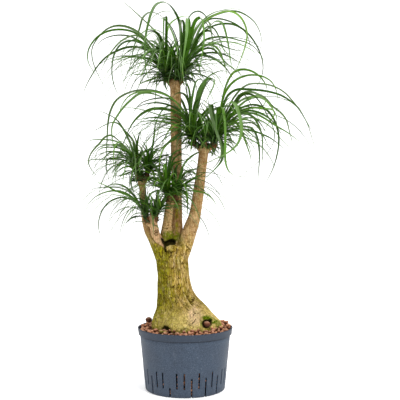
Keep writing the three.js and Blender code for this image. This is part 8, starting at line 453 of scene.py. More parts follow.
# caudex: height, left and right edge, front and back edge (mm)
CAUDEX = [
    (124, -36, 50, -46, 42),
    (140, -66, 80, -68, 64),
    (160, -86, 98, -84, 80),
    (177, -92.5, 106.5, -90, 86),
    (192, -97.5, 108.5, -86, 84),
    (203, -93.5, 97.5, -79, 78),
    (222, -86, 79, -69, 68),
    (240, -83, 61.5, -60, 60),
    (258, -81, 43.5, -54, 54),
    (277, -80, 27.6, -48, 50),
    (295, -79.4, 19.2, -45, 48),
    (317, -79.4, 13.6, -43, 46),
    (340, -80.3, 10, -42, 44),
    (370, -83.5, 8.2, -42, 44),
    (388, -85.4, 7.8, -42, 43),
    (402, -84, 9, -38, 40),
    (413, -76, 4, -30, 33),
]
# stems and growths: x, y, z, radius
STEMS = {
    "tall": [(-37.6, 6.0, 369.1, 32.4), (-31.0, 12.0, 404.1, 26.6), (-29.5, 18.0, 433.3, 23.1), (-27.8, 21.0, 459.9, 19.9), (-26.7, 23.0, 498.5, 16.7), (-25.5, 24.0, 537.1, 15.2), (-27.1, 26.0, 700.9, 15.6), (-28.3, 28.0, 826.2, 15.6), (-30.4, 28.0, 885.8, 14.8), (-32.5, 28.0, 906.7, 14.3)],
    "right": [(-30.0, 0.0, 363.8, 29.4), (-9.4, 0.0, 399.1, 23.5), (3.2, -1.0, 431.5, 21.5), (14.1, -2.0, 463.8, 20.4), (24.4, -3.0, 493.3, 18.1), (31.5, -4.0, 525.6, 15.9), (40.0, -5.0, 581.3, 15.3), (48.2, -6.0, 645.8, 13.6), (55.8, -7.0, 701.5, 13.6)],
    "front": [(-47.6, -2.0, 369.8, 26.4), (-54.0, -3.0, 399.3, 22.8), (-55.7, -5.0, 425.8, 19.1), (-54.9, -9.0, 455.4, 16.4), (-51.2, -13.0, 487.7, 12.6), (-46.0, -18.0, 531.6, 11.5), (-40.9, -21.0, 554.9, 10.2)],
    "thin": [(-50.5, -2.0, 358.1, 23.5), (-72.6, -1.0, 393.3, 19.1), (-85.3, 0.0, 416.7, 14.1), (-97.7, 1.0, 440.2, 12.1), (-110.8, 2.0, 466.6, 11.0), (-118.3, 4.0, 507.8, 10.8), (-123.7, 6.0, 563.8, 9.0), (-128.8, 6.0, 608.0, 9.7)],
    "short": [(-50.1, -12.0, 364.8, 24.9), (-69.4, -22.0, 400.7, 20.4), (-75.4, -29.0, 425.8, 17.4), (-83.6, -33.0, 444.9, 13.9), (-88.3, -36.0, 468.2, 12.0), (-90.9, -37.0, 487.0, 10.7), (-92.5, -38.0, 495.7, 9.5)],
}
GROWTHS = {
    "tall_stem_left": [(-34.0, 28.0, 891.8, 12.7), (-45.9, 28.0, 905.2, 12.2), (-57.8, 28.0, 915.7, 9.6)],
    "tall_stem_right": [(-29.5, 28.0, 891.8, 12.7), (-19.7, 29.0, 902.4, 11.9), (-13.2, 30.0, 913.1, 9.6)],
    "right_stem_left": [(50.8, -7.0, 695.6, 11.7), (38.8, -6.5, 708.9, 11.7), (24.4, -6.0, 722.1, 9.6)],
    "right_stem_right": [(59.6, -7.0, 695.6, 12.0), (72.8, -7.5, 707.3, 12.0), (86.0, -8.0, 716.0, 9.6)],
    "thin_stem_left": [(-129.6, 6.0, 602.1, 8.8), (-137.3, 6.0, 616.3, 10.0), (-143.8, 6.0, 628.7, 8.2)],
    "thin_stem_right": [(-125.8, 6.0, 599.2, 8.8), (-116.9, 5.0, 613.9, 9.7), (-111.2, 4.0, 625.7, 8.2)],
    "front_stem_left": [(-43.3, -20.0, 543.3, 9.6), (-48.2, -22.0, 553.2, 9.9), (-52.5, -23.0, 562.1, 8.2)],
    "front_stem_right": [(-40.4, -20.0, 543.3, 9.6), (-30.4, -23.0, 554.0, 10.2), (-23.3, -25.0, 563.5, 8.2)],
    "short_stem_left": [(-93.5, -37.0, 476.9, 9.2), (-102.6, -38.0, 483.8, 9.0), (-113.9, -38.0, 499.8, 8.2)],
    "short_stem_right": [(-90.5, -37.5, 485.6, 9.5), (-85.9, -38.0, 491.4, 9.2), (-82.1, -38.0, 504.2, 8.2)],
}


# ---------------------------------------------------------------- noise
def hash01(ix, iy, iz, seed):
    h = (ix.astype(np.int64) * 374761393 + iy.astype(np.int64) * 668265263
         + iz.astype(np.int64) * 2147483647 + seed * 1274126177) & 0xFFFFFFFF
    h = ((h ^ (h >> 13)) * 1274126177) & 0xFFFFFFFF
    h = ((h ^ (h >> 16)) * 2246822519) & 0xFFFFFFFF
    return ((h ^ (h >> 15)) & 0xFFFFFF) / float(0x1000000)


def smooth_noise(p, seed):
    """Value noise, 0 to 1, at points p (n, 3)."""
    i = np.floor(p).astype(np.int64)
    f = p - i
    f = f * f * (3 - 2 * f)
    out = 0
    for dx in (0, 1):
        for dy in (0, 1):
            for dz in (0, 1):
                w = (np.where(dx, f[:, 0], 1 - f[:, 0]) * np.where(dy, f[:, 1], 1 - f[:, 1])
                     * np.where(dz, f[:, 2], 1 - f[:, 2]))
                out = out + w * hash01(i[:, 0] + dx, i[:, 1] + dy, i[:, 2] + dz, seed)
    return out


def fbm(p, seed, octaves=3):
    out, amp, tot = 0, 1.0, 0.0
    for k in range(octaves):
        out = out + amp * smooth_noise(p * (2.03 ** k) + 17.3 * k, seed + k)
        tot += amp
        amp *= 0.5
    return out / tot


def cells(p, seed, jitter=0.9):
    """Cellular noise: distance to the nearest and second nearest point, and the nearest cell's random value."""
    i = np.floor(p).astype(np.int64)
    f = p - i
    d1 = np.full(len(p), 9.0)
    d2 = np.full(len(p), 9.0)
    cid = np.zeros(len(p))
    for dx in (-1, 0, 1):
        for dy in (-1, 0, 1):
            for dz in (-1, 0, 1):
                cx, cy, cz = i[:, 0] + dx, i[:, 1] + dy, i[:, 2] + dz
                q = np.stack([dx + 0.5 + jitter * (hash01(cx, cy, cz, seed) - 0.5),
                              dy + 0.5 + jitter * (hash01(cx, cy, cz, seed + 1) - 0.5),
                              dz + 0.5 + jitter * (hash01(cx, cy, cz, seed + 2) - 0.5)], 1)
                d = np.linalg.norm(q - f, axis=1)
                near = d < d1
                d2 = np.where(near, d1, np.minimum(d2, d))
                cid = np.where(near, hash01(cx, cy, cz, seed + 3), cid)
                d1 = np.where(near, d, d1)
    return d1, d2, cid


def ramp(x, a, b):
    t = np.clip((x - a) / (b - a), 0, 1)
    return t * t * (3 - 2 * t)


# ---------------------------------------------------------------- mesh helpers
def new_object(name, verts, faces, smooth=True):
    mesh = bpy.data.meshes.new(name)
    mesh.from_pydata([tuple(v) for v in np.asarray(verts) * MM], [], faces)
    mesh.update()
    if smooth:
        mesh.polygons.foreach_set("use_smooth", [True] * len(mesh.polygons))
    obj = bpy.data.objects.new(name, mesh)
    bpy.context.scene.collection.objects.link(obj)
    return obj


def coords(mesh):
    a = np.empty(len(mesh.vertices) * 3)
    mesh.vertices.foreach_get("co", a)
    return a.reshape(-1, 3)


def normals(mesh):
    a = np.empty(len(mesh.vertices) * 3)
    mesh.vertex_normals.foreach_get("vector", a)
    return a.reshape(-1, 3)


def paint(mesh, name, rgba):
    a = mesh.attributes.new(name, "FLOAT_COLOR", "POINT")
    a.data.foreach_set("color", np.asarray(rgba, dtype=np.float32).ravel())


def bake_modifiers(obj):
    dg = bpy.context.evaluated_depsgraph_get()
    made = bpy.data.meshes.new_from_object(obj.evaluated_get(dg), depsgraph=dg)
    old = obj.data
    obj.modifiers.clear()
    obj.data = made
    bpy.data.meshes.remove(old)
    return obj


def curve_through(points, n):
    """Smooth curve through the points, n samples evenly spaced along it."""
    p = np.asarray(points, float)
    q = np.vstack([2 * p[0] - p[1], p, 2 * p[-1] - p[-2]])
    out = []
    for i in range(1, len(q) - 2):
        t = np.linspace(0, 1, 12, endpoint=False)[:, None]
        a, b, c, d = q[i - 1], q[i], q[i + 1], q[i + 2]
        out.append(0.5 * (2 * b + (c - a) * t + (2 * a - 5 * b + 4 * c - d) * t * t + (3 * b - a - 3 * c + d) * t ** 3))
    out = np.vstack(out + [p[-1:]])
    s = np.r_[0, np.cumsum(np.linalg.norm(np.diff(out[:, :3], axis=0), axis=1))]
    at = np.linspace(0, s[-1], n)
    return np.stack([np.interp(at, s, out[:, k]) for k in range(out.shape[1])], 1), s[-1]


def skin(rings, closed_ends=True, base=0):
    """Faces over rings of equally many vertices numbered from base."""
    m, n = len(rings), len(rings[0])
    faces = []
    for i in range(m - 1):
        for j in range(n):
            a, b = base + i * n + j, base + i * n + (j + 1) % n
            faces.append((a, b, b + n, a + n))
    if closed_ends:
        faces.append(tuple(base + j for j in reversed(range(n))))
        faces.append(tuple(base + (m - 1) * n + j for j in range(n)))
    return faces


# ---------------------------------------------------------------- materials
def material(name):
    m = bpy.data.materials.new(name)
    m.use_nodes = True
    nt = m.node_tree
    nt.nodes.clear()
    out = nt.nodes.new("ShaderNodeOutputMaterial")
    bsdf = nt.nodes.new("ShaderNodeBsdfPrincipled")
    nt.links.new(bsdf.outputs["BSDF"], out.inputs["Surface"])
    return m, nt, bsdf, out


def srgb(r, g, b):
    f = lambda c: (c / 255 / 12.92) if c / 255 <= 0.04045 else ((c / 255 + 0.055) / 1.055) ** 2.4
    return (f(r), f(g), f(b), 1.0)


class Net:
    """Short-hand for building a node tree."""

    def __init__(self, nt):
        self.nt = nt
        self.coord = None

    def put(self, kind, **values):
        n = self.nt.nodes.new(kind)
        for k, v in values.items():
            setattr(n, k, v)
        return n

    def link(self, a, b):
        self.nt.links.new(a, b)

    def object_coord(self, scale=(1, 1, 1)):
        tc = self.put("ShaderNodeTexCoord")
        mp = self.put("ShaderNodeMapping")
        mp.inputs["Scale"].default_value = scale
        self.link(tc.outputs["Object"], mp.inputs["Vector"])
        return mp.outputs["Vector"]

    def noise(self, vector, scale, detail=4, rough=0.55, distortion=0.0):
        n = self.put("ShaderNodeTexNoise")
        n.inputs["Scale"].default_value = scale
        n.inputs["Detail"].default_value = detail
        n.inputs["Roughness"].default_value = rough
        n.inputs["Distortion"].default_value = distortion
        self.link(vector, n.inputs["Vector"])
        return n.outputs["Fac"]

    def voronoi(self, vector, scale, feature="F1", out="Distance", random=1.0):
        n = self.put("ShaderNodeTexVoronoi", feature=feature)
        n.inputs["Scale"].default_value = scale
        n.inputs["Randomness"].default_value = random
        self.link(vector, n.inputs["Vector"])
        return n.outputs[out]

    def ramp(self, fac, stops, mode="LINEAR"):
        n = self.put("ShaderNodeValToRGB")
        n.color_ramp.interpolation = mode
        el = n.color_ramp.elements
        el[0].position, el[0].color = stops[0]
        el[1].position, el[1].color = stops[-1]
        for p, c in stops[1:-1]:
            e = el.new(p)
            e.color = c
        self.link(fac, n.inputs["Fac"])
        return n.outputs["Color"]

    def mix(self, fac, a, b, mode="MIX"):
        n = self.put("ShaderNodeMix", data_type="RGBA", blend_type=mode)
        for value, key in ((fac, 0), (a, 6), (b, 7)):
            if isinstance(value, (int, float, tuple)):
                n.inputs[key].default_value = value
            else:
                self.link(value, n.inputs[key])
        return n.outputs[2]

    def math(self, op, a, b=None, clamp=False):
        n = self.put("ShaderNodeMath", operation=op, use_clamp=clamp)
        for value, key in ((a, 0), (b, 1)):
            if value is None:
                continue
            if isinstance(value, (int, float)):
                n.inputs[key].default_value = value
            else:
                self.link(value, n.inputs[key])
        return n.outputs[0]

    def spread(self, x, lo, hi, to_lo=0.0, to_hi=1.0):
        n = self.put("ShaderNodeMapRange")
        n.inputs["From Min"].default_value = lo
        n.inputs["From Max"].default_value = hi
        n.inputs["To Min"].default_value = to_lo
        n.inputs["To Max"].default_value = to_hi
        self.link(x, n.inputs["Value"])
        return n.outputs["Result"]

    def attribute(self, name):
        a = self.put("ShaderNodeAttribute", attribute_name=name)
        s = self.put("ShaderNodeSeparateColor")
        self.link(a.outputs["Color"], s.inputs["Color"])
        return s.outputs[0], s.outputs[1], s.outputs[2], a.outputs["Alpha"]

    def bump(self, height, strength, distance, normal=None):
        n = self.put("ShaderNodeBump")
        n.inputs["Strength"].default_value = strength
        n.inputs["Distance"].default_value = distance
        self.link(height, n.inputs["Height"])
        if normal is not None:
            self.link(normal, n.inputs["Normal"])
        return n.outputs["Normal"]


# ---------------------------------------------------------------- pot
RIM_R, POT_H = 140.0, 180.0
SLOT_ROW = "ULULULULULULULUUSUULULULUUULULULULUL"


def wall_r(z):
    return 116.5 + (132.4 - 116.5) * z / 160.5


def make_pot():
    # rows run from the middle of the floor out and up to the rim; each has an outer and an inner point
    rows = [(r, 0.0, r, 3.5) for r in (8, 45, 75, 92, 101, 107)]
    rows += [(111.6, 0.0, 110.4, 3.5), (113.9, 0.35, 112.0, 3.7), (115.5, 1.3, 113.2, 4.2), (116.4, 2.6, 113.7, 5.0), (116.9, 4.6, 114.0, 6.4)]
    for z in (8, 12, 18, 25, 28, 33, 38, 44, 50, 55, 60, 65, 70, 76, 84, 95, 108, 122, 136, 148, 155, 158.2):
        cut = 1.1 if z > 156 else 0.0
        rows.append((wall_r(z) - cut, z, wall_r(z) - 3.0, z))
    rows += [(131.0, 159.4, 129.2, 158.9), (131.3, 160.0, 129.4, 159.6), (132.4, 160.3, 130.3, 160.6), (134.6, 160.35, 131.6, 161.9),
             (136.1, 160.45, 132.6, 162.9), (136.6, 160.9, 133.0, 163.8), (136.7, 162.0, 133.2, 165.0), (137.1, 165.0, 133.7, 168.0),
             (137.9, 170.5, 134.6, 172.5), (138.8, 175.5, 135.5, 176.3), (139.3, 177.6, 135.9, 178.0), (139.4, 178.8, 136.1, 179.0),
             (139.1, 179.5, 136.4, 179.55), (138.4, 179.95, 136.9, 179.9)]
    offs = [-5, -3.8, -2.7, -1.75, -1.05, 1.05, 1.75, 2.7, 3.8]
    ang = [90 + 10 * k + o for k in range(36) for o in offs]
    n, m = len(ang), len(rows)
    zs = [r[1] for r in rows]
    i101, i25, i28, i55, i70 = 4, zs.index(25), zs.index(28), zs.index(55), zs.index(70)
    verts = []
    a = np.radians(np.array(ang))
    for layer in (0, 1):
        for row in rows:
            r, z = row[2 * layer], row[2 * layer + 1]
            for t in a:
                verts.append((r * math.cos(t), r * math.sin(t), z))
    hole = np.zeros((m - 1, n), bool)
    for k in range(36):
        j = k * 9 + 4
        kind = SLOT_ROW[k]
        lo, hi = (i25, i70) if kind == "U" else (i101, i28 if kind == "S" else i55)
        hole[lo:hi, j] = True
    O = lambda i, j: i * n + j % n
    I = lambda i, j: m * n + i * n + j % n
    faces = []
    for i in range(m - 1):
        for j in range(n):
            if not hole[i, j]:
                faces.append((O(i, j), O(i, j + 1), O(i + 1, j + 1), O(i + 1, j)))
                faces.append((I(i, j + 1), I(i, j), I(i + 1, j), I(i + 1, j + 1)))
                continue
            if i == 0 or not hole[i - 1, j]:
                faces.append((O(i, j), O(i, j + 1), I(i, j + 1), I(i, j)))
            if i == m - 2 or not hole[i + 1, j]:
                faces.append((O(i + 1, j + 1), O(i + 1, j), I(i + 1, j), I(i + 1, j + 1)))
            if not hole[i, j - 1]:
                faces.append((O(i + 1, j), O(i, j), I(i, j), I(i + 1, j)))
            if not hole[i, (j + 1) % n]:
                faces.append((O(i, j + 1), O(i + 1, j + 1), I(i + 1, j + 1), I(i, j + 1)))
    for j in range(n):
        faces.append((O(m - 1, j), O(m - 1, j + 1), I(m - 1, j + 1), I(m - 1, j)))
    faces.append(tuple(O(0, j) for j in reversed(range(n))))
    faces.append(tuple(I(0, j) for j in range(n)))
    pot = new_object("pot_moulded", verts, faces)
    b = pot.modifiers.new("edges", "BEVEL")
    b.width, b.segments, b.limit_method, b.angle_limit = 0.35 * MM, 2, "ANGLE", math.radians(38)
    b.harden_normals = False
    bake_modifiers(pot)
    pot.data.set_sharp_from_angle(angle=math.radians(50))
    return pot


def pot_material():
    m, nt, bsdf, out = material("pot_plastic_mat")
    N = Net(nt)
    p = N.object_coord()
    fine = N.noise(p, 420, 3, 0.6)
    broad = N.noise(p, 22, 4, 0.6)
    streak = N.noise(N.object_coord((9, 9, 2.2)), 9, 4, 0.6)
    c = N.ramp(broad, [(0.3, srgb(29, 42, 59)), (0.7, srgb(45, 59, 76))])
    c = N.mix(N.spread(fine, 0.40, 0.66, 0.0, 0.56), c, srgb(76, 91, 110))
    c = N.mix(N.spread(streak, 0.58, 0.80, 0.0, 0.30), c, srgb(96, 106, 116))
    # the collar is darker, and a painted shadow lies in the corner under its lip
    sep = N.put("ShaderNodeSeparateXYZ")
    N.link(p, sep.inputs["Vector"])
    z = sep.outputs["Z"]
    c = N.mix(N.spread(z, 0.1600, 0.1612, 0.0, 0.62), c, srgb(27, 38, 53))
    # painted shadow line under the collar's lip
    line = N.math("MULTIPLY", N.spread(z, 0.1560, 0.1588), N.spread(z, 0.1612, 0.1603), clamp=True)
    c = N.mix(N.math("MULTIPLY", line, 0.72, clamp=True), c, srgb(18, 25, 36))
    # darker towards the bottom: painted shade where the pot meets the floor
    c = N.mix(N.spread(z, 0.012, 0.0, 0.0, 0.35), c, srgb(24, 32, 44))
    # scattered pale scuffs
    sc = N.voronoi(N.object_coord((1, 1, 1.6)), 90, "F1", "Distance")
    scm = N.math("MULTIPLY", N.spread(sc, 0.17, 0.06), N.spread(N.noise(p, 11, 2), 0.46, 0.62), clamp=True)
    c = N.mix(N.math("MULTIPLY", scm, 0.48, clamp=True), c, srgb(122, 131, 140))
    nt.links.new(c, bsdf.inputs["Base Color"])
    nt.links.new(N.spread(broad, 0.3, 0.7, 0.50, 0.64), bsdf.inputs["Roughness"])
    bsdf.inputs["Specular IOR Level"].default_value = 0.42
    nt.links.new(N.bump(fine, 0.25, 0.0004), bsdf.inputs["Normal"])
    return m


# ---------------------------------------------------------------- wood
def caudex_rows(n):
    rows, _ = curve_through(CAUDEX, n)
    return rows


CROWS = np.array(sorted(caudex_rows(90).tolist()))


def caudex_at(z):
    """Middle, half width, front and back reach of the caudex at height z."""
    f = [np.interp(z, CROWS[:, 0], CROWS[:, k]) for k in (1, 2, 3, 4)]
    return (f[0] + f[1]) / 2, (f[1] - f[0]) / 2, -f[2], f[3]


def lobes(w, z):
    base = ramp(np.asarray(z, float), 262, 200) * 0.050 + 0.018
    base = base * (1 - 0.75 * np.abs(np.cos(w)) ** 6)
    k = 1 - base * (0.5 + 0.5 * np.cos(5 * w + 0.6)) - base * 0.7 * (0.5 + 0.5 * np.cos(3 * w - 1.1 + (np.asarray(z) - 200) * 0.004))
    return k


def caudex_radius(w, z, grow=0.0):
    c, rx, yf, yb = caudex_at(z)
    ry = np.where(np.sin(w) < 0, yf, yb)
    k = lobes(w, z)
    return c, (rx + grow) * k, (ry + grow) * k


def loft_caudex():
    rings, n = [], 96
    w = np.arange(n) / n * 2 * math.pi
    zs = np.linspace(124, 413, 84)
    for z in zs:
        c, rx, ry = caudex_radius(w, z)
        rings.append(np.stack([c + rx * np.cos(w), ry * np.sin(w), np.full(n, z)], 1))
    return np.vstack(rings), skin(rings)


def loft_limb(points, sides=22, step=5.0, cap=True):
    p, length = curve_through(points, 3)
    p, _ = curve_through(points, max(4, int(length / step)))
    t = np.gradient(p[:, :3], axis=0)
    t /= np.linalg.norm(t, axis=1)[:, None]
    side = np.cross(t[0], (0.0, 1.0, 0.0))
    side /= np.linalg.norm(side)
    rings = []
    w = np.arange(sides) / sides * 2 * math.pi
    for q, d in zip(p, t):
        side = side - d * side.dot(d)
        side /= np.linalg.norm(side)
        up = np.cross(d, side)
        rings.append(q[:3] + q[3] * (np.cos(w)[:, None] * side + np.sin(w)[:, None] * up))
    return np.vstack(rings), skin(rings)


def ball(cx, cy, cz, rx, ry, rz, name):
    bpy.ops.mesh.primitive_uv_sphere_add(segments=32, ring_count=20, location=(cx * MM, cy * MM, cz * MM))
    o = bpy.context.object
    o.name = name
    o.scale = (rx * MM, ry * MM, rz * MM)
    bpy.ops.object.transform_apply(location=True, rotation=True, scale=True)
    return o


# the growths under the tufts are slimmer than their buds
SLIM = {"tall": 0.80, "right": 0.72, "front": 0.74, "thin": 0.72, "short": 0.88}
GROWTHS = {k: [(q[0], q[1], q[2], q[3] * (SLIM[k.split("_")[0]] if 0 < i < len(pts) - 1 else 0.86)) for i, q in enumerate(pts)] for k, pts in GROWTHS.items()}

EXTRA = {
    # lip in front of the hollow, swelling under it, and the cut end of the short stem
    "lip": [(-62, -34, 407, 6), (-54, -41, 412, 8), (-43, -45, 414.5, 8.5), (-32, -44, 414, 8.5), (-22, -39, 412, 8), (-14, -30, 410, 7)],
    "short_end": [(-93.5, -38, 490, 8.5), (-95, -38.2, 504, 7.6), (-95.6, -38.6, 514, 6.6), (-95.8, -38.8, 521, 6.2)],
    "tall_end": [(-33.5, 28, 905, 11.5), (-35, 27, 918, 8.5), (-36.5, 26, 926, 7.5)],
    "right_end": [(52.0, -6.5, 672.0, 12.8), (55.8, -7.0, 700.0, 12.8), (56.0, -7.0, 714.0, 11.6), (56.0, -7.0, 722.0, 8.6)],
    "thin_end": [(-127.0, 6.0, 592.0, 9.0), (-129.5, 6.0, 612.0, 9.2), (-131.5, 6.0, 625.0, 7.6)],
    "front_end": [(-46.0, -18.0, 532.0, 10.6), (-41.0, -21.0, 555.0, 9.6), (-37.5, -22.0, 566.0, 7.6)],
    "root_c": [(-44, -62, 206, 18), (-30, -70, 190, 20), (-4, -73, 184, 20), (24, -70, 184, 19), (46, -60, 190, 16)],
    "root_d": [(40, -48, 226, 16), (62, -50, 204, 17), (84, -44, 190, 15), (100, -30, 178, 12)],
    "root_e": [(-66, -30, 240, 14), (-76, -42, 208, 16), (-82, -46, 180, 14)],
}
HOLLOWS = [
    # x, y, z, half sizes: hollow between the stems, recess and gap at the foot
    (-50.0, -25.0, 423.5, 12.0, 24.0, 11.0),
    (-40.0, -17.0, 428.5, 13.5, 24.0, 11.0),
    (-32.0, -18.0, 432.5, 7.5, 16.0, 6.5),
    (62.5, -72.0, 200.0, 13.5, 22.0, 12.0),
    (70.0, -68.0, 206.0, 9.0, 18.0, 7.5),
    (-57.0, -80.0, 182.0, 19.0, 22.0, 14.0),
    (-67.5, -33.0, 438.5, 3.6, 14.0, 4.4),
    (-65.0, -33.5, 434.5, 4.0, 14.5, 4.6),
    (-62.5, -34.0, 430.5, 4.4, 15.0, 4.8),
    (-60.0, -34.5, 426.5, 4.8, 15.5, 5.0),
    (-57.5, -35.0, 421.5, 4.6, 15.0, 5.4),
    (-56.5, -38.0, 416.0, 4.0, 14.0, 5.4),
    (-55.8, -41.0, 410.5, 3.4, 12.0, 5.0),
    (-55.0, -44.0, 405.0, 2.8, 9.0, 4.4),
]
# short dark cracks on the side seen from the front: x and z of their points
MARKS = [
    [(-87.0, 461.5), (-83.5, 465.0), (-79.5, 466.0), (-77.0, 464.0)],
    [(-85.0, 458.5), (-81.0, 461.0), (-77.5, 460.0)],
    [(-88.0, 455.5), (-85.5, 451.5), (-81.0, 450.5), (-78.0, 453.5)],
    [(-86.0, 456.8), (-82.0, 456.2), (-79.5, 458.0)],
    [(-24.0, 413.0), (-23.0, 405.0), (-24.5, 398.0)],
    [(-46.0, 409.0), (-42.0, 402.0), (-38.0, 399.0)],
    [(2.0, 421.0), (10.0, 412.0), (17.0, 402.0)],
    [(12.0, 262.5), (16.0, 258.0), (20.0, 257.0), (25.0, 260.5)],
    [(15.0, 255.5), (18.0, 252.5), (22.0, 252.0)],
    [(19.0, 264.5), (23.0, 263.0), (26.0, 265.0)],
    [(3.5, 243.5), (6.5, 239.0), (10.5, 236.0)],
    [(21.0, 202.0), (26.0, 205.0), (31.0, 211.5)],
    [(13.0, 260.0), (19.0, 259.0), (24.0, 262.0)],
    [(24.0, 222.0), (27.0, 226.5), (31.0, 228.0)],
]


def make_wood():
    verts, faces = [], []

    def add(v, f):
        base = sum(len(x) for x in verts)
        verts.append(v)
        faces.extend(tuple(base + i for i in face) for face in f)

    add(*loft_caudex())
    for p in list(STEMS.values()) + list(GROWTHS.values()):
        add(*loft_limb(p))
    for k in EXTRA:
        add(*loft_limb(EXTRA[k]))
    for at, bud, ring in TUFTS.values():
        add(*loft_limb([(at[0], at[1], at[2] - 22, bud), (at[0], at[1], at[2] - 6, bud), (at[0], at[1], at[2] + 6, bud * 0.8), (at[0], at[1], at[2] + 13, bud * 0.35)], 14, 4))
    wood = new_object("caudex_bark", np.vstack(verts), faces)
    r = wood.modifiers.new("one_body", "REMESH")
    r.mode, r.voxel_size = "VOXEL", 2.2 * MM
    bake_modifiers(wood)
    cutters = [ball(*h, "hollow_%d" % i) for i, h in enumerate(HOLLOWS)]
    for c in cutters:
        bo = wood.modifiers.new("hollow", "BOOLEAN")
        bo.object, bo.operation, bo.solver = c, "DIFFERENCE", "MANIFOLD"
    r = wood.modifiers.new("even", "REMESH")
    r.mode, r.voxel_size = "VOXEL", VOXEL * MM
    sm = wood.modifiers.new("soft", "SMOOTH")
    sm.factor, sm.iterations = 0.5, 9
    bake_modifiers(wood)
    for c in cutters:
        bpy.data.objects.remove(c, do_unlink=True)
    mesh = wood.data
    P = coords(mesh) / MM
    Nn = normals(mesh)

    # which limb a point belongs to: signed distance to each limb, and its place along and round it
    n = len(P)
    best = np.full(n, 1e9)
    along = np.zeros(n)
    ring_p = np.zeros((n, 3))
    limb_id = np.zeros(n)
    for li, pts in enumerate(list(STEMS.values()) + list(GROWTHS.values())):
        q, length = curve_through(pts, 40)
        s0 = 0.0
        for a, b in zip(q[:-1], q[1:]):
            ab = b[:3] - a[:3]
            ln = np.linalg.norm(ab)
            f = np.clip(((P - a[:3]) @ ab) / (ln * ln), 0, 1)
            c = a[:3] + f[:, None] * ab
            d = np.linalg.norm(P - c, axis=1) - (a[3] + (b[3] - a[3]) * f)
            near = d < best
            best = np.where(near, d, best)
            along = np.where(near, s0 + f * ln, along)
            ring_p = np.where(near[:, None], P - c, ring_p)
            limb_id = np.where(near, li + 1, limb_id)
            s0 += ln
    cx, rx, yf, yb = caudex_at(P[:, 2])
    ry = np.where(P[:, 1] < 0, yf, yb)
    rel = np.hypot((P[:, 0] - cx) / rx, P[:, 1] / ry)
    dc = (rel - 1) * np.minimum(rx, ry)
    dc = np.where(P[:, 2] > 413, np.maximum(dc, P[:, 2] - 413), dc)
    stem = ramp(dc - best, -6, 12)          # 1 on the stems, 0 on the caudex
    stem = stem * ramp(P[:, 2], 384, 412)
    wave = fbm(P / 13.0, 311, 3) - 0.5
    shortm = (limb_id == 5) * ramp(P[:, 2] + 26 * wave, 396, 410) * ramp(dc - best, -4, 4)
    lo = -7.0 - 5.0 * ramp(P[:, 2], 430, 455) + 21.0 * ramp(P[:, 2], 436, 410)
    side_of = ring_p[:, 0] + 3.0 * wave
    shortm = shortm * np.where(P[:, 2] < 470, ramp(side_of, lo - 2.5, lo + 1.0), 1.0)
    seam = (limb_id == 5) * ramp(np.abs(side_of - lo + 1.5), 2.6, 0.8) * ramp(P[:, 2], 476, 462) * ramp(P[:, 2], 396, 412) * (Nn[:, 1] < 0.1)
    tint = np.maximum(stem * ramp(P[:, 2] + 40 * wave, 402, 462), shortm * ramp(P[:, 0], -56, -62))

    # furrows of the caudex: tall cells, wider and lower towards the foot
    th = np.arctan2(P[:, 1] / ry, (P[:, 0] - cx) / rx)
    z = P[:, 2]
    warp = 5.0 * (np.stack([fbm(P / 22.0, 5), fbm(P / 22.0, 8), fbm(P / 22.0, 9)], 1) - 0.5)
    foot = ramp(z, 262, 205)
    top = ramp(z, 385, 408)
    R0 = 58.0
    base_co = np.stack([R0 * np.cos(th), R0 * np.sin(th), z], 1) + warp * np.array([1, 1, 2.2])
    tall = base_co / np.array([4.9, 4.9, 27.0])
    f1, f2, cid = cells(tall, 21)
    crack_t = ramp(f2 - f1, 0.19, 0.02)
    plate = np.stack([R0 * np.cos(th), R0 * np.sin(th), z], 1) / np.array([6.6, 6.6, 9.5]) + warp / 8.0
    g1, g2, gid = cells(plate, 33)
    crack_p = ramp(g2 - g1, 0.17, 0.02)
    low = base_co / np.array([11.0, 11.0, 3.6])
    h1, h2, hid = cells(low, 41)
    crack_h = ramp(h2 - h1, 0.22, 0.04)
    patch = ramp(fbm(P / 34.0, 71), 0.40, 0.60)          # where the bark is strongly cracked
    strong = 0.45 + 0.75 * ramp(fbm(np.stack([P[:, 0], P[:, 1], z * 0.5], 1) / 26.0, 55), 0.38, 0.62)
    crack = crack_t * (1 - foot) * (1 - 0.6 * top) + crack_p * foot * 0.85 + crack_h * top * 0.7
    crack = crack * strong
    rid = cid * (1 - foot) + gid * foot

    # long shallow flutes
    flute = fbm(np.stack([R0 * np.cos(th) / 15.0, R0 * np.sin(th) / 15.0, z / 95.0], 1), 91, 3) - 0.5
    lumps = fbm(P / 30.0, 101, 3) - 0.5

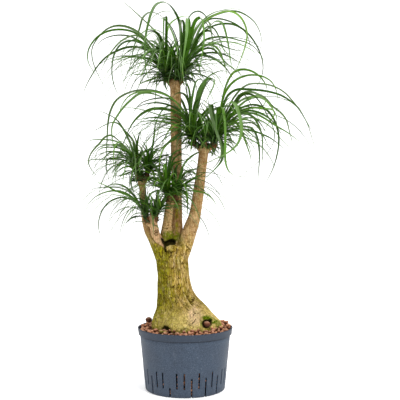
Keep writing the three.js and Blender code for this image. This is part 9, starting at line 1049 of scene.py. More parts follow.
    # stems: narrow scars round them, fine upright cracks, old knots
    rp = ring_p / np.maximum(np.linalg.norm(ring_p, axis=1)[:, None], 1e-6)
    sc_co = np.stack([rp[:, 0] * 1.4 + limb_id * 7.1, rp[:, 1] * 1.4, along / 4.6], 1)
    sc_co[:, 2] += 1.5 * (fbm(np.stack([P[:, 0] / 9.0, P[:, 1] / 9.0, along / 30.0], 1), 61, 2) - 0.5)
    t1, t2, tid = cells(sc_co, 51)
    scar = ramp(np.abs((along / 4.6 + 1.9 * fbm(P / 11.0, 77, 2)) % 1.0 - 0.5), 0.12, 0.02)
    scar = scar * ramp(fbm(P / 9.0, 88, 2), 0.44, 0.62)
    s_co = np.stack([rp[:, 0] * 3.2 + limb_id, rp[:, 1] * 3.2, along / 13.0], 1)
    u1, u2, uid = cells(s_co, 57)
    fine = ramp(u2 - u1, 0.14, 0.02) * ramp(fbm(P / 14.0, 66, 2), 0.42, 0.60)
    front = ((limb_id == 3) * 1.0) * ramp(z, 442, 474)            # the front stem is thick with curled leaf scars
    curl = np.abs((along / 9.2 + 1.5 * fbm(P / 10.0, 78, 2) + 0.22 * np.sin(np.arctan2(rp[:, 1], rp[:, 0]) * 2)) % 1.0 - 0.5)
    curl_in = ramp(curl, 0.17, 0.06) * ramp(fbm(P / 6.5, 89, 2), 0.38, 0.52) * front
    curl_rim = ramp(np.abs(curl - 0.20), 0.09, 0.02) * front
    scar = np.clip(np.maximum(scar * (1 - front), curl_in), 0, 1)
    marks = np.zeros(n)
    for line in MARKS:
        for (ax, az), (bx, bz) in zip(line[:-1], line[1:]):
            f = np.clip(((P[:, 0] - ax) * (bx - ax) + (P[:, 2] - az) * (bz - az)) / ((bx - ax) ** 2 + (bz - az) ** 2), 0, 1)
            dd = np.hypot(P[:, 0] - ax - f * (bx - ax), P[:, 2] - az - f * (bz - az))
            marks = np.maximum(marks, ramp(dd + 0.9 * (fbm(P / 2.2, 93, 2) - 0.5), 2.0, 0.8) * (Nn[:, 1] < -0.15))

    d = (-1.55 * crack + 0.75 * (rid - 0.5) + 3.4 * flute + 2.6 * lumps) * (1 - stem)
    d += (-0.60 * scar - 0.50 * fine + 1.3 * (fbm(P / 17.0, 111, 2) - 0.5) + 0.40 * (tid - 0.5)) * stem
    d += 0.9 * curl_rim - 0.7 * curl_in - 1.0 * marks - 1.6 * seam
    # small knots
    for kx, ky, kz, kr, kd in ((35.0, -66.0, 238.0, 7.0, -2.2), (17.0, -70.0, 222.0, 5.0, -1.6), (-72.0, -22.0, 268.0, 4.5, -2.0), (52.0, -55.0, 228.0, 6.0, 1.8)):
        d += kd * np.exp(-((P[:, 0] - kx) ** 2 + (P[:, 1] - ky) ** 2 + (P[:, 2] - kz) ** 2) / (kr * kr))
    tuft_d = np.min([np.linalg.norm(P - np.array(at), axis=1) for at, _, _ in TUFTS.values()], axis=0)

    # masks for the material
    # hollow: inside the hollows, where the material paints shade
    hollow = np.zeros(n)
    for hx, hy, hz, ax, ay, az in HOLLOWS:
        e = np.sqrt(((P[:, 0] - hx) / ax) ** 2 + ((P[:, 1] - hy) / ay) ** 2 + ((P[:, 2] - hz) / az) ** 2)
        hollow = np.maximum(hollow, ramp(e, 1.22, 1.0) if ax > 1 else 0)
    mn = fbm(P / 19.0, 131, 3)
    mf = fbm(P / 5.0, 137, 2)
    left = ramp((P[:, 0] - cx) / rx + 0.95 * (mn - 0.5) + 0.70 * (fbm(P / 9.0, 139, 3) - 0.5), 0.22, -0.50) * ramp(P[:, 1], 60, 0) * (1 - tint)
    moss = left * (0.60 + 0.40 * ramp(z, 215, 290)) * (0.74 + 0.26 * ramp(mn, 0.34, 0.56))
    edge = ramp((P[:, 0] - cx) / rx + 0.5 * (mn - 0.5), -0.48, -0.84) * ramp(P[:, 1], 60, 0) * (1 - tint)
    moss = np.maximum(moss, 0.88 * edge * ramp(mf, 0.22, 0.40))
    rim = ramp(z + 10 * (mf - 0.5), 203, 184) * ramp(mn, 0.34, 0.54) * 0.8
    moss = np.maximum(moss, rim)
    g = np.exp(-(((P[:, 0] + 42) / 32) ** 2 + ((P[:, 1] + 12) / 38) ** 2 + ((P[:, 2] - 446) / 26) ** 2))
    moss = np.maximum(moss, ramp(g, 0.30, 0.70) * ramp(mf, 0.26, 0.46))
    lush = np.zeros(n)
    for gx, gy, gz, ax, ay, az, k in ((64, -66, 216, 21, 34, 8.0, 1.0), (48, -70, 203, 6, 30, 12, 0.8), (83, -56, 207, 15, 34, 11, 1.0), (95, -44, 197, 13, 34, 12, 0.85),
                                      (-60, -78, 192, 24, 22, 5, 0.5), (-48, -16, 450, 24, 28, 15, 0.62), (-24, -8, 444, 17, 26, 17, 0.55), (-56, -30, 436, 8, 24, 10, 0.4), (-12, -22, 428, 12, 26, 18, 0.4)):
        g = np.exp(-(((P[:, 0] - gx) / ax) ** 2 + ((P[:, 1] - gy) / ay) ** 2 + ((P[:, 2] - gz) / az) ** 2))
        lush = np.maximum(lush, k * ramp(g, 0.30, 0.70))
    lush = lush * (0.45 + 0.55 * ramp(mf, 0.30, 0.52))
    # moss in the lee of every side, thin elsewhere
    moss = np.maximum(moss, 0.36 * ramp(mn, 0.52, 0.68) * (1 - stem) * (1 - 0.6 * foot))
    moss = moss * (1 - 0.9 * tint * ramp(z, 445, 475)) * (1 - 0.9 * shortm)
    tallm = (limb_id == 1) * ramp(z, 445, 470) * ramp(z, 600, 520)
    moss = np.maximum(moss, tallm * ramp(np.abs(P[:, 0] + 25 + 4 * wave), 6, 2) * 0.7 * ramp(mf, 0.36, 0.5) * (P[:, 1] < 24))
    pink = np.exp(-(((P[:, 0] - 29) / 17) ** 2 + ((P[:, 1] + 66) / 40) ** 2 + ((P[:, 2] - 222) / 24) ** 2)) * ramp(mn, 0.30, 0.46)
    pink = np.clip(pink * 2.0, 0, 1) * (1 - np.clip(moss, 0, 1) * 0.5)
    dry = np.zeros(n)
    for k in ("short_end", "tall_end"):
        e = EXTRA[k][-1]
        dd = np.linalg.norm((P - np.array(e[:3])) / np.array([e[3] + 3, e[3] + 3, 7.0]), axis=1)
        dry = np.maximum(dry, ramp(dd, 1.25, 0.75))
    # a stem is only stained under its own tufts, not where it passes those of another
    passing = ((limb_id == 1) & (z < 800)) | ((limb_id == 2) & (z < 600)) | ((limb_id == 4) & (z < 560))
    own = (1 - 0.55 * (limb_id == 5)) * (1 - 0.45 * (limb_id == 3)) * ~passing
    dry = np.maximum(dry, ramp(tuft_d + 16 * (mf - 0.5), 33, 23) * own)
    crack_all = np.clip(crack * (1 - stem) + np.maximum(scar * 0.85, fine * 0.8) * stem, 0, 1)
    crack_all = np.maximum(crack_all * 0.70, np.maximum(np.maximum(marks, curl_in * 0.9), seam * 0.75))
    paint(mesh, "bark_a", np.stack([crack_all, np.clip(moss, 0, 1), pink, tint], 1))
    paint(mesh, "bark_d", np.stack([np.clip(shortm, 0, 1), np.clip(front, 0, 1) * stem, np.clip(tallm, 0, 1), np.ones(n)], 1))
    paint(mesh, "bark_b", np.stack([hollow, dry, rid * (1 - stem) + tid * stem, foot], 1))
    paint(mesh, "bark_c", np.stack([np.clip(lush, 0, 1), along / 1000.0, top, np.ones(n)], 1))
    # cushions of moss stand a little off the bark
    d += (1.7 * lush + 0.45 * np.clip(moss, 0, 1)) * (0.3 + 1.3 * fbm(P / 2.6, 151, 2)) + SWELL
    P2 = P + Nn * (d * ramp(tuft_d, 10, 24))[:, None]
    mesh.vertices.foreach_set("co", (P2 * MM).ravel())
    mesh.polygons.foreach_set("use_smooth", [True] * len(mesh.polygons))
    return wood


def wood_material():
    m, nt, bsdf, out = material("bark_mat")
    N = Net(nt)
    crack, moss, pink, stem = N.attribute("bark_a")
    hollow, dry, rid, foot = N.attribute("bark_b")
    lush, along, top, _ = N.attribute("bark_c")
    shortm, front, tallm, _ = N.attribute("bark_d")
    p = N.object_coord()
    blot = N.noise(p, 34, 4, 0.6)
    fine = N.noise(p, 520, 3, 0.6)

    def bent(scale, amount):
        """Object coordinates, stretched and pushed about by noise so that no line is straight."""
        co = N.object_coord(scale)
        nz = N.put("ShaderNodeTexNoise")
        nz.inputs["Scale"].default_value = 55.0
        nz.inputs["Detail"].default_value = 3.0
        N.link(p, nz.inputs["Vector"])
        sub = N.put("ShaderNodeVectorMath", operation="SUBTRACT")
        N.link(nz.outputs["Color"], sub.inputs[0])
        sub.inputs[1].default_value = (0.5, 0.5, 0.5)
        mul = N.put("ShaderNodeVectorMath", operation="SCALE")
        N.link(sub.outputs[0], mul.inputs[0])
        mul.inputs["Scale"].default_value = amount
        add = N.put("ShaderNodeVectorMath", operation="ADD")
        N.link(co, add.inputs[0])
        N.link(mul.outputs[0], add.inputs[1])
        return add.outputs[0]

    tall = bent((1, 1, 0.19), 0.006)
    even = bent((1, 1, 0.80), 0.006)
    grain = N.noise(tall, 300, 4, 0.62)
    # line networks: tall furrow cells, broken plates at the foot, fine hair cracks
    furrow = N.spread(N.voronoi(tall, 175, "DISTANCE_TO_EDGE", "Distance"), 0.125, 0.020)
    plates = N.spread(N.voronoi(even, 125, "DISTANCE_TO_EDGE", "Distance"), 0.085, 0.015)
    hair = N.spread(N.voronoi(tall, 330, "DISTANCE_TO_EDGE", "Distance"), 0.12, 0.02)
    lines = N.math("ADD", N.math("MULTIPLY", furrow, N.spread(foot, 0.0, 1.0, 1.0, 0.25)), N.math("MULTIPLY", plates, foot), clamp=True)
    keep = N.spread(N.noise(p, 62, 3, 0.6), 0.34, 0.56, 0.25, 1.0)
    lines = N.math("MULTIPLY", lines, keep, clamp=True)

    c = N.ramp(rid, [(0.0, srgb(166, 136, 68)), (0.35, srgb(194, 163, 92)), (0.7, srgb(218, 188, 118)), (1.0, srgb(244, 216, 158))])
    c = N.mix(N.spread(blot, 0.35, 0.68, 0.0, 0.60), c, srgb(192, 166, 44))
    c = N.mix(N.math("MULTIPLY", foot, 0.80, clamp=True), c, srgb(255, 230, 142))
    s = N.ramp(rid, [(0.0, srgb(172, 134, 88)), (0.5, srgb(202, 164, 114)), (1.0, srgb(228, 192, 144))])
    s = N.mix(N.spread(N.noise(p, 70, 4, 0.65), 0.42, 0.70, 0.0, 0.55), s, srgb(146, 112, 64))
    s = N.mix(N.math("MULTIPLY", shortm, 0.75, clamp=True), s, srgb(214, 174, 134))
    s = N.mix(N.math("MULTIPLY", front, 0.70, clamp=True), s, srgb(214, 178, 122))
    s = N.mix(N.math("MULTIPLY", tallm, 0.45, clamp=True), s, srgb(128, 88, 52))
    c = N.mix(stem, c, s)
    c = N.mix(N.math("MULTIPLY", pink, 0.86, clamp=True), c, srgb(248, 214, 172))
    green = N.ramp(N.noise(p, 110, 4, 0.68), [(0.30, srgb(48, 58, 0)), (0.48, srgb(112, 118, 0)), (0.66, srgb(170, 166, 4)), (0.80, srgb(196, 186, 30))])
    mm = N.math("MULTIPLY", moss, N.spread(N.noise(p, 150, 3, 0.6), 0.26, 0.54, 0.45, 1.0), clamp=True)
    c = N.mix(N.math("MULTIPLY", mm, 0.97, clamp=True), c, green)
    c = N.mix(N.spread(grain, 0.36, 0.60, 0.40, 0.0), c, srgb(104, 76, 26))
    c = N.mix(N.spread(N.noise(tall, 130, 3, 0.6), 0.53, 0.72, 0.0, 0.42), c, srgb(240, 220, 158))
    c = N.mix(N.math("MULTIPLY", N.math("MULTIPLY", mm, 0.55), N.spread(foot, 0, 1, 1.0, 0.25), clamp=True), c, green)
    # scars round the stems
    w = N.math("ADD", N.math("MULTIPLY", along, 190.0), N.math("MULTIPLY", N.noise(p, 60, 3, 0.6), 2.4))
    ring = N.spread(N.math("PINGPONG", w, 0.5), 0.09, 0.01)
    ring = N.math("MULTIPLY", N.math("MULTIPLY", ring, stem), N.spread(N.noise(p, 45, 2, 0.5), 0.40, 0.62, 0.0, 0.75), clamp=True)
    c = N.mix(ring, c, srgb(106, 78, 42))
    calm = N.math("MULTIPLY", N.spread(foot, 0, 1, 1.0, 0.72), N.spread(pink, 0, 1, 1.0, 0.70))
    c = N.mix(N.math("MULTIPLY", N.math("MULTIPLY", hair, N.spread(stem, 0, 1, 0.46, 0.34)), calm, clamp=True), c, srgb(110, 80, 28))
    c = N.mix(N.math("MULTIPLY", N.math("MULTIPLY", lines, N.spread(stem, 0, 1, 0.94, 0.40)), calm, clamp=True), c, srgb(66, 46, 10))
    c = N.mix(N.math("MULTIPLY", N.spread(crack, 0.20, 0.95), 0.85, clamp=True), c, srgb(60, 42, 12))
    wet = N.ramp(N.noise(p, 230, 4, 0.7), [(0.25, srgb(28, 42, 1)), (0.5, srgb(72, 94, 2)), (0.75, srgb(132, 146, 10))])
    c = N.mix(N.math("MULTIPLY", lush, N.spread(N.noise(p, 170, 3, 0.6), 0.26, 0.48, 0.45, 1.0), clamp=True), c, wet)
    # painted shade inside the hollows and recesses
    hollow_shade = N.mix(N.spread(fine, 0.4, 0.7), srgb(20, 18, 5), srgb(48, 46, 10))
    c = N.mix(N.math("MULTIPLY", hollow, 0.90, clamp=True), c, hollow_shade)
    c = N.mix(N.math("MULTIPLY", dry, 0.90, clamp=True), c, N.ramp(N.noise(p, 210, 3), [(0.3, srgb(40, 26, 14)), (0.7, srgb(98, 64, 38))]))
    nt.links.new(c, bsdf.inputs["Base Color"])
    bsdf.inputs["Roughness"].default_value = 0.90
    bsdf.inputs["Specular IOR Level"].default_value = 0.03
    h = N.math("ADD", N.math("MULTIPLY", grain, 0.6), N.math("MULTIPLY", fine, 0.4))
    h = N.math("SUBTRACT", h, N.math("MULTIPLY", hair, 0.5))
    h = N.math("SUBTRACT", h, N.math("MULTIPLY", lines, 1.1))
    h = N.math("SUBTRACT", h, N.math("MULTIPLY", ring, 0.8))
    nt.links.new(N.bump(h, 0.60, 0.0012), bsdf.inputs["Normal"])
    return m


# ---------------------------------------------------------------- clay granulate
def icosphere(level):
    bpy.ops.mesh.primitive_ico_sphere_add(subdivisions=level, radius=1.0)
    o = bpy.context.object
    v = coords(o.data)
    f = np.array([tuple(p.vertices) for p in o.data.polygons])
    bpy.data.objects.remove(o, do_unlink=True)
    return v, f


def pebble_shapes(level, count, seed):
    v, f = icosphere(level)
    out = []
    for k in range(count):
        off = np.array([13.1 * k, 7.7 * k, 3.3 * k])
        r = 1 + 0.34 * (fbm(v * 1.15 + off, seed, 2) - 0.5) * 2 * 0.55 + 0.10 * (fbm(v * 3.4 + off, seed + 5, 2) - 0.5) * 2
        d1, d2, _ = cells(v * 1.25 + off, seed + 9)
        r = r * (1 - 0.10 * ramp(d2 - d1, 0.16, 0.0))
        out.append(v * r[:, None])
    return out, f


def turn(rg):
    q = rg.normal(size=4)
    q /= np.linalg.norm(q)
    w, x, y, z = q
    return np.array([[1 - 2 * (y * y + z * z), 2 * (x * y - z * w), 2 * (x * z + y * w)],
                     [2 * (x * y + z * w), 1 - 2 * (x * x + z * z), 2 * (y * z - x * w)],
                     [2 * (x * z - y * w), 2 * (y * z + x * w), 1 - 2 * (x * x + y * y)]])


def bed_level(x, y):
    r = math.hypot(x, y)
    w = math.atan2(y, x)
    c, rx, yf, yb = caudex_at(182.0)
    rel = math.hypot((x - c) / rx, y / (yf if y < 0 else yb))
    up = 5.0 * max(0.0, 1 - (rel - 1) * 3.0) + 3.0 * max(0.0, math.cos(w - 0.5)) * max(0.0, (r - 70) / 65)
    dip = 6.0 * math.exp(-((x + 58) ** 2 + (y + 84) ** 2) / 330.0)
    heap = 7.0 * math.exp(-(((x - 108) / 24.0) ** 2 + ((y - 18) / 46.0) ** 2))
    return 174.0 + up - dip + heap + 1.5 * math.sin(7 * w + r * 0.11) + 1.2 * math.sin(11 * w - r * 0.17 + 1.3)


def inner_r(z):
    if z > 164:
        return 133.2 + (z - 164) * 0.17
    return wall_r(z) - 3.0


def make_clay():
    fine_shapes, ff = pebble_shapes(3, 10, 201)
    rough_shapes, rf = pebble_shapes(2, 10, 231)
    V, F, C, base = [], [], [], 0
    rg = np.random.default_rng(41)

    def put(x, y, z, size, fine=True, tint=None, flat=None, shape=None):
        nonlocal base
        shapes, f = (fine_shapes, ff) if fine else (rough_shapes, rf)
        s = shapes[rg.integers(len(shapes)) if shape is None else shape]
        e = np.array([rg.uniform(1.0, 1.42), rg.uniform(0.86, 1.08), rg.uniform(0.66, 0.9)]) if flat is None else np.array(flat)
        v = (s * e * size / 2) @ turn(rg).T + np.array([x, y, z])
        V.append(v)
        F.append(f + base)
        base += len(v)
        t = rg.random() if tint is None else tint
        # second colour channel: height within the pebble, for painted shade below and a painted highlight on top
        up = np.clip(0.5 + (v[:, 2] - z) / size, 0, 1)
        col = np.tile([t, rg.random(), 0.0, 1.0], (len(v), 1))
        col[:, 1] = up
        C.append(col)

    # top layers: points kept apart from each other
    def layer(drop, gap, fine, tries, smax, tint=None):
        pts = []
        grid = {}
        for _ in range(tries):
            r = 131.5 * math.sqrt(rg.random())
            w = rg.random() * 2 * math.pi
            x, y = r * math.cos(w), r * math.sin(w)
            size = rg.uniform(8.0, smax)
            z = bed_level(x, y) - drop + rg.uniform(-1.3, 1.3)
            if r + size * 0.50 > inner_r(z) - 0.3:
                continue
            c, rx, yf, yb = caudex_at(z)
            rel = math.hypot((x - c) / rx, y / (yf if y < 0 else yb))
            if rel < 0.955:
                continue
            key = (int(x // 14), int(y // 14))
            ok = True
            for a in (-1, 0, 1):
                for b in (-1, 0, 1):
                    for (px, py, ps) in grid.get((key[0] + a, key[1] + b), ()):
                        if math.hypot(px - x, py - y) < gap * (ps + size) / 2:
                            ok = False
                            break
            if not ok:
                continue
            grid.setdefault(key, []).append((x, y, size))
            put(x, y, z, size, fine, tint)
            pts.append((x, y, size))
        return pts

    layer(0.5, 1.0, True, 12000, 13.0)
    # a lower layer of rough pebbles with a dark tint: painted shade deep in the bed
    layer(7.0, 0.92, False, 7000, 14.0, 0.04)
    layer(-4.5, 1.50, True, 900, 12.0)
    # behind the slots
    for k in range(36):
        kind = SLOT_ROW[k]
        lo, hi = (22, 73) if kind == "U" else (5, 31 if kind == "S" else 58)
        a = math.radians(90 + 10 * k)
        z = lo + rg.uniform(0, 4)
        while z < hi + 3:
            size = rg.uniform(7.0, 11.0)
            z += size * 0.40
            r = inner_r(max(z, 8)) - size * 0.5 - (rg.uniform(0.1, 0.7) if rg.random() < 0.55 else rg.uniform(5.0, 8.0))
            t = a + rg.uniform(-3.2, 3.2) / r
            put(r * math.cos(t), r * math.sin(t), max(z, 4.2 + size * 0.5), size, False, rg.uniform(0.62, 0.95))
            put((r - 7) * math.cos(t + 0.07), (r - 7) * math.sin(t + 0.07), max(z + rg.uniform(-3, 3), 4.2 + size * 0.5), size, False)
            z += size * 0.40 + rg.uniform(0.0, 4.5)
    # single pebbles that stand out
    put(-110.5, 46.0, 192.0, 20.0, True, 0.02, (1.12, 0.95, 0.84), 3)
    put(-103.0, 40.0, 181.5, 13.0, True, 0.30, (1.1, 1.0, 0.9), 2)
    put(-114.0, 36.0, 181.0, 12.0, True, 0.45, (1.0, 1.0, 0.9), 6)
    put(-102.0, 55.0, 182.0, 12.5, True, 0.40, (1.0, 1.0, 0.9), 5)
    put(63.0, -64.0, 198.0, 18.5, True, 0.05, (1.10, 1.0, 0.94), 2)
    put(-59.0, -73.0, 180.5, 12.0, True, 0.12, (1.20, 0.95, 0.80), 7)
    put(-50.0, -78.0, 179.0, 10.5, True, 0.10, (1.10, 0.95, 0.80), 4)
    put(-56.0, -92.5, 180.0, 12.5, True, 1.6, (1.25, 0.95, 0.72), 2)
    put(-66.0, -88.0, 180.5, 11.5, True, 1.5, (1.1, 0.95, 0.8), 6)
    # near-black filling under the pebbles: painted shade for the depth between them
    n = 72
    w = np.arange(n) / n * 2 * math.pi
    prof = [(10, 6.0), (101, 6.0), (105, 30), (108, 80), (116, 100), (120, 130), (124, 158), (125, 167), (110, 168.5), (80, 169), (10, 169)]
    rings = [np.stack([r * np.cos(w), r * np.sin(w), np.full(n, float(z))], 1) for r, z in prof]
    cv, cf = np.vstack(rings), skin(rings)
    faces = [tuple(x) for x in np.vstack(F)] + [tuple(base + i for i in f) for f in cf]
    # the third channel marks the filling for its painted shade
    C.append(np.tile([0.0, 0.5, 1.0, 1.0], (len(cv), 1)))
    clay = new_object("granulate_pebbles", np.vstack(V + [cv]), faces)
    paint(clay.data, "grain", np.vstack(C))
    return clay


def clay_material():
    m, nt, bsdf, out = material("clay_mat")
    N = Net(nt)
    tint, rnd, depth_shade, _ = N.attribute("grain")
    p = N.object_coord()
    nz = N.noise(p, 210, 4, 0.62)
    fine = N.noise(p, 900, 3, 0.7)
    c = N.ramp(tint, [(0.0, srgb(104, 58, 38)), (0.25, srgb(160, 98, 66)), (0.55, srgb(190, 124, 86)), (0.8, srgb(220, 158, 118)), (1.0, srgb(168, 112, 84))])
    c = N.mix(N.spread(nz, 0.35, 0.68, 0.55, 0.0), c, srgb(98, 58, 38))
    c = N.mix(N.spread(nz, 0.58, 0.78, 0.0, 0.55), c, srgb(205, 152, 118))
    c = N.mix(N.spread(fine, 0.55, 0.80, 0.0, 0.45), c, srgb(84, 52, 36))
    c = N.mix(N.spread(tint, 1.2, 1.5), c, N.mix(nz, srgb(96, 84, 30), srgb(142, 138, 40)))
    c = N.mix(N.spread(tint, 0.03, 0.0), c, N.mix(nz, srgb(62, 40, 28), srgb(104, 70, 48)))
    # the second channel is height within the pebble: painted shade on its lower half, painted highlight on its top
    c = N.mix(N.spread(rnd, 0.72, 0.30, 0.0, 0.72), c, srgb(44, 24, 15))
    c = N.mix(N.spread(rnd, 0.66, 0.92, 0.0, 0.36), c, srgb(240, 190, 158))
    # near-black painted shade on the filling seen between the pebbles
    c = N.mix(depth_shade, c, srgb(9, 6, 4))
    nt.links.new(c, bsdf.inputs["Base Color"])
    nt.links.new(N.spread(nz, 0.3, 0.7, 0.78, 0.92), bsdf.inputs["Roughness"])
    bsdf.inputs["Specular IOR Level"].default_value = 0.3
    nt.links.new(N.bump(fine, 0.6, 0.0007, N.bump(nz, 0.4, 0.0012)), bsdf.inputs["Normal"])
    return m


# ---------------------------------------------------------------- leaves
def strap(points, width, twist, bearing, seed, foot_r, samples, shade=1.0, tip=0.07, fold=0.34):
    """Strap leaf: a channelled blade with a thicker midrib that clasps the bud at its foot."""
    rg = np.random.default_rng(seed)
    p, length = curve_through(points, samples)
    s = np.linspace(0, 1, samples)
    # closer samples near the foot
    u = s ** 1.25
    p = np.stack([np.interp(u, s, p[:, k]) for k in range(3)], 1)
    s = u
    t = np.gradient(p, axis=0)
    t /= np.linalg.norm(t, axis=1)[:, None]
    a = np.array([-math.sin(bearing), math.cos(bearing), 0.0])
    wob = rg.uniform(0, 6.28, 3)
    amp = rg.uniform(0.05, 0.16)
    across = [-1.0, -0.55, 0.0, 0.55, 1.0]
    rings, col, uv = [], [], []
    rnd = rg.random()
    dist = s * length
    for i in range(samples):
        a = a - t[i] * a.dot(t[i])
        a /= np.linalg.norm(a)
        ang = twist * min(1.0, s[i] / 0.45) + amp * math.sin(dist[i] / 38.0 + wob[0]) * min(1, s[i] * 4)
        nrm0 = np.cross(t[i], a)
        w = math.cos(ang) * a + math.sin(ang) * nrm0
        nrm = np.cross(t[i], w)
        shape = (0.42 + 0.58 * min(1.0, s[i] / 0.16)) * max(tip, 1 - max(0.0, (s[i] - 0.12) / 0.88) ** 2.3)
        foot = math.exp(-dist[i] / 9.0)
        half = width / 2 * (shape + 0.55 * foot)
        bend = max(0.0, 1 - dist[i] / 34.0)
        R = 1.0 / (bend ** 1.3 / foot_r + 1e-4)
        v = fold * (1 - 0.55 * s[i]) * (1 - bend)
        mid, edge = 1.05 * (1 - 0.62 * s[i]), 0.30 * (1 - 0.4 * s[i])
        if s[i] > 0.9:
            mid = mid * (1 - (s[i] - 0.9) * 6)
        top, bot = [], []
        for x in across:
            f = x * half / R
            ox, oy = (R * math.sin(f), R * (1 - math.cos(f))) if abs(f) > 1e-5 else (x * half, 0.0)
            oy += v * half * abs(x) ** 1.15
            th = edge + (mid - edge) * (1 - abs(x)) ** 1.6
            q = p[i] + w * ox + nrm * oy
            top.append(q + nrm * th * 0.30)
            bot.append(q - nrm * th * 0.70)
        rings.append(np.array(top + bot[::-1]))
        # painted shade near the foot, where the leaves crowd together
        dark = shade * max(0.0, 1 - dist[i] / 62.0) ** 1.1
        col += [[s[i], rnd, 1.0, dark]] * 5 + [[s[i], rnd, 0.0, dark]] * 5
        uv += [(x * half, dist[i]) for x in across] + [(x * half, dist[i]) for x in across[::-1]]
    return np.vstack(rings), skin(rings), col, uv


def make_fan(node, items):
    V, F, C, U, base = [], [], [], [], 0
    for args in items:
        v, f, c, u = strap(*args)
        V.append(v)
        F.extend(tuple(base + i for i in face) for face in f)
        C.append(np.array(c))
        U.append(np.array(u))
        base += len(v)
    obj = new_object(node.replace("leaves_", "foliage_"), np.vstack(V), F)
    mesh = obj.data
    paint(mesh, "leaf", np.vstack(C))
    uv = np.vstack(U) * MM
    layer = mesh.uv_layers.new(name="blade")
    idx = np.empty(len(mesh.loops), dtype=np.int64)
    mesh.loops.foreach_get("vertex_index", idx)
    layer.data.foreach_set("uv", uv[idx].astype(np.float32).ravel())
    mesh.set_sharp_from_angle(angle=math.radians(55))
    return obj


def leaf_material(name, hue):
    m = bpy.data.materials.new(name)
    m.use_nodes = True
    nt = m.node_tree
    nt.nodes.clear()
    N = Net(nt)
    out = N.put("ShaderNodeOutputMaterial")
    bsdf = N.put("ShaderNodeBsdfPrincipled")
    tr = N.put("ShaderNodeBsdfTranslucent")
    mix = N.put("ShaderNodeMixShader")
    s, rnd, side, shade = N.attribute("leaf")
    uvn = N.put("ShaderNodeUVMap", uv_map="blade")
    mp = N.put("ShaderNodeMapping")
    mp.inputs["Scale"].default_value = (1.0, 0.02, 1.0)
    N.link(uvn.outputs["UV"], mp.inputs["Vector"])
    veins = N.noise(mp.outputs["Vector"], 1900, 2, 0.5)
    p = N.object_coord()
    blot = N.noise(p, 26, 3, 0.6)
    dark, mid, light = hue
    c = N.ramp(rnd, [(0.0, dark), (0.26, dark), (0.44, mid), (0.60, mid), (0.74, light), (0.86, srgb(66, 108, 30)), (1.0, srgb(104, 138, 78))])
    c = N.mix(N.spread(blot, 0.38, 0.66, 0.0, 0.50), c, dark)
    c = N.mix(N.spread(veins, 0.42, 0.66, 0.0, 0.35), c, light)
    # the top side is mixed towards pale grey-green as a painted sheen, the underside towards a deep green
    over = N.mix(0.30, c, srgb(118, 152, 78))
    under = N.mix(0.30, c, srgb(66, 112, 6))
    c = N.mix(side, under, over)
    # painted shade where the leaves crowd together near their feet, and a drying tip
    c = N.mix(N.math("MULTIPLY", shade, 0.86, clamp=True), c, srgb(7, 24, 4))
    tipm = N.math("MULTIPLY", N.spread(s, 0.93, 0.995), N.spread(rnd, 0.35, 0.75), clamp=True)
    c = N.mix(N.math("MULTIPLY", tipm, 0.8, clamp=True), c, srgb(138, 112, 60))
    N.link(c, bsdf.inputs["Base Color"])
    N.link(N.spread(blot, 0.3, 0.7, 0.36, 0.48), bsdf.inputs["Roughness"])
    bsdf.inputs["Specular IOR Level"].default_value = 0.28
    N.link(N.bump(veins, 0.30, 0.0003), bsdf.inputs["Normal"])
    tc = N.mix(0.5, c, srgb(110, 170, 0))
    N.link(tc, tr.inputs["Color"])
    mix.inputs["Fac"].default_value = 0.20
    N.link(bsdf.outputs["BSDF"], mix.inputs[1])
    N.link(tr.outputs["BSDF"], mix.inputs[2])
    N.link(mix.outputs["Shader"], out.inputs["Surface"])
    return m


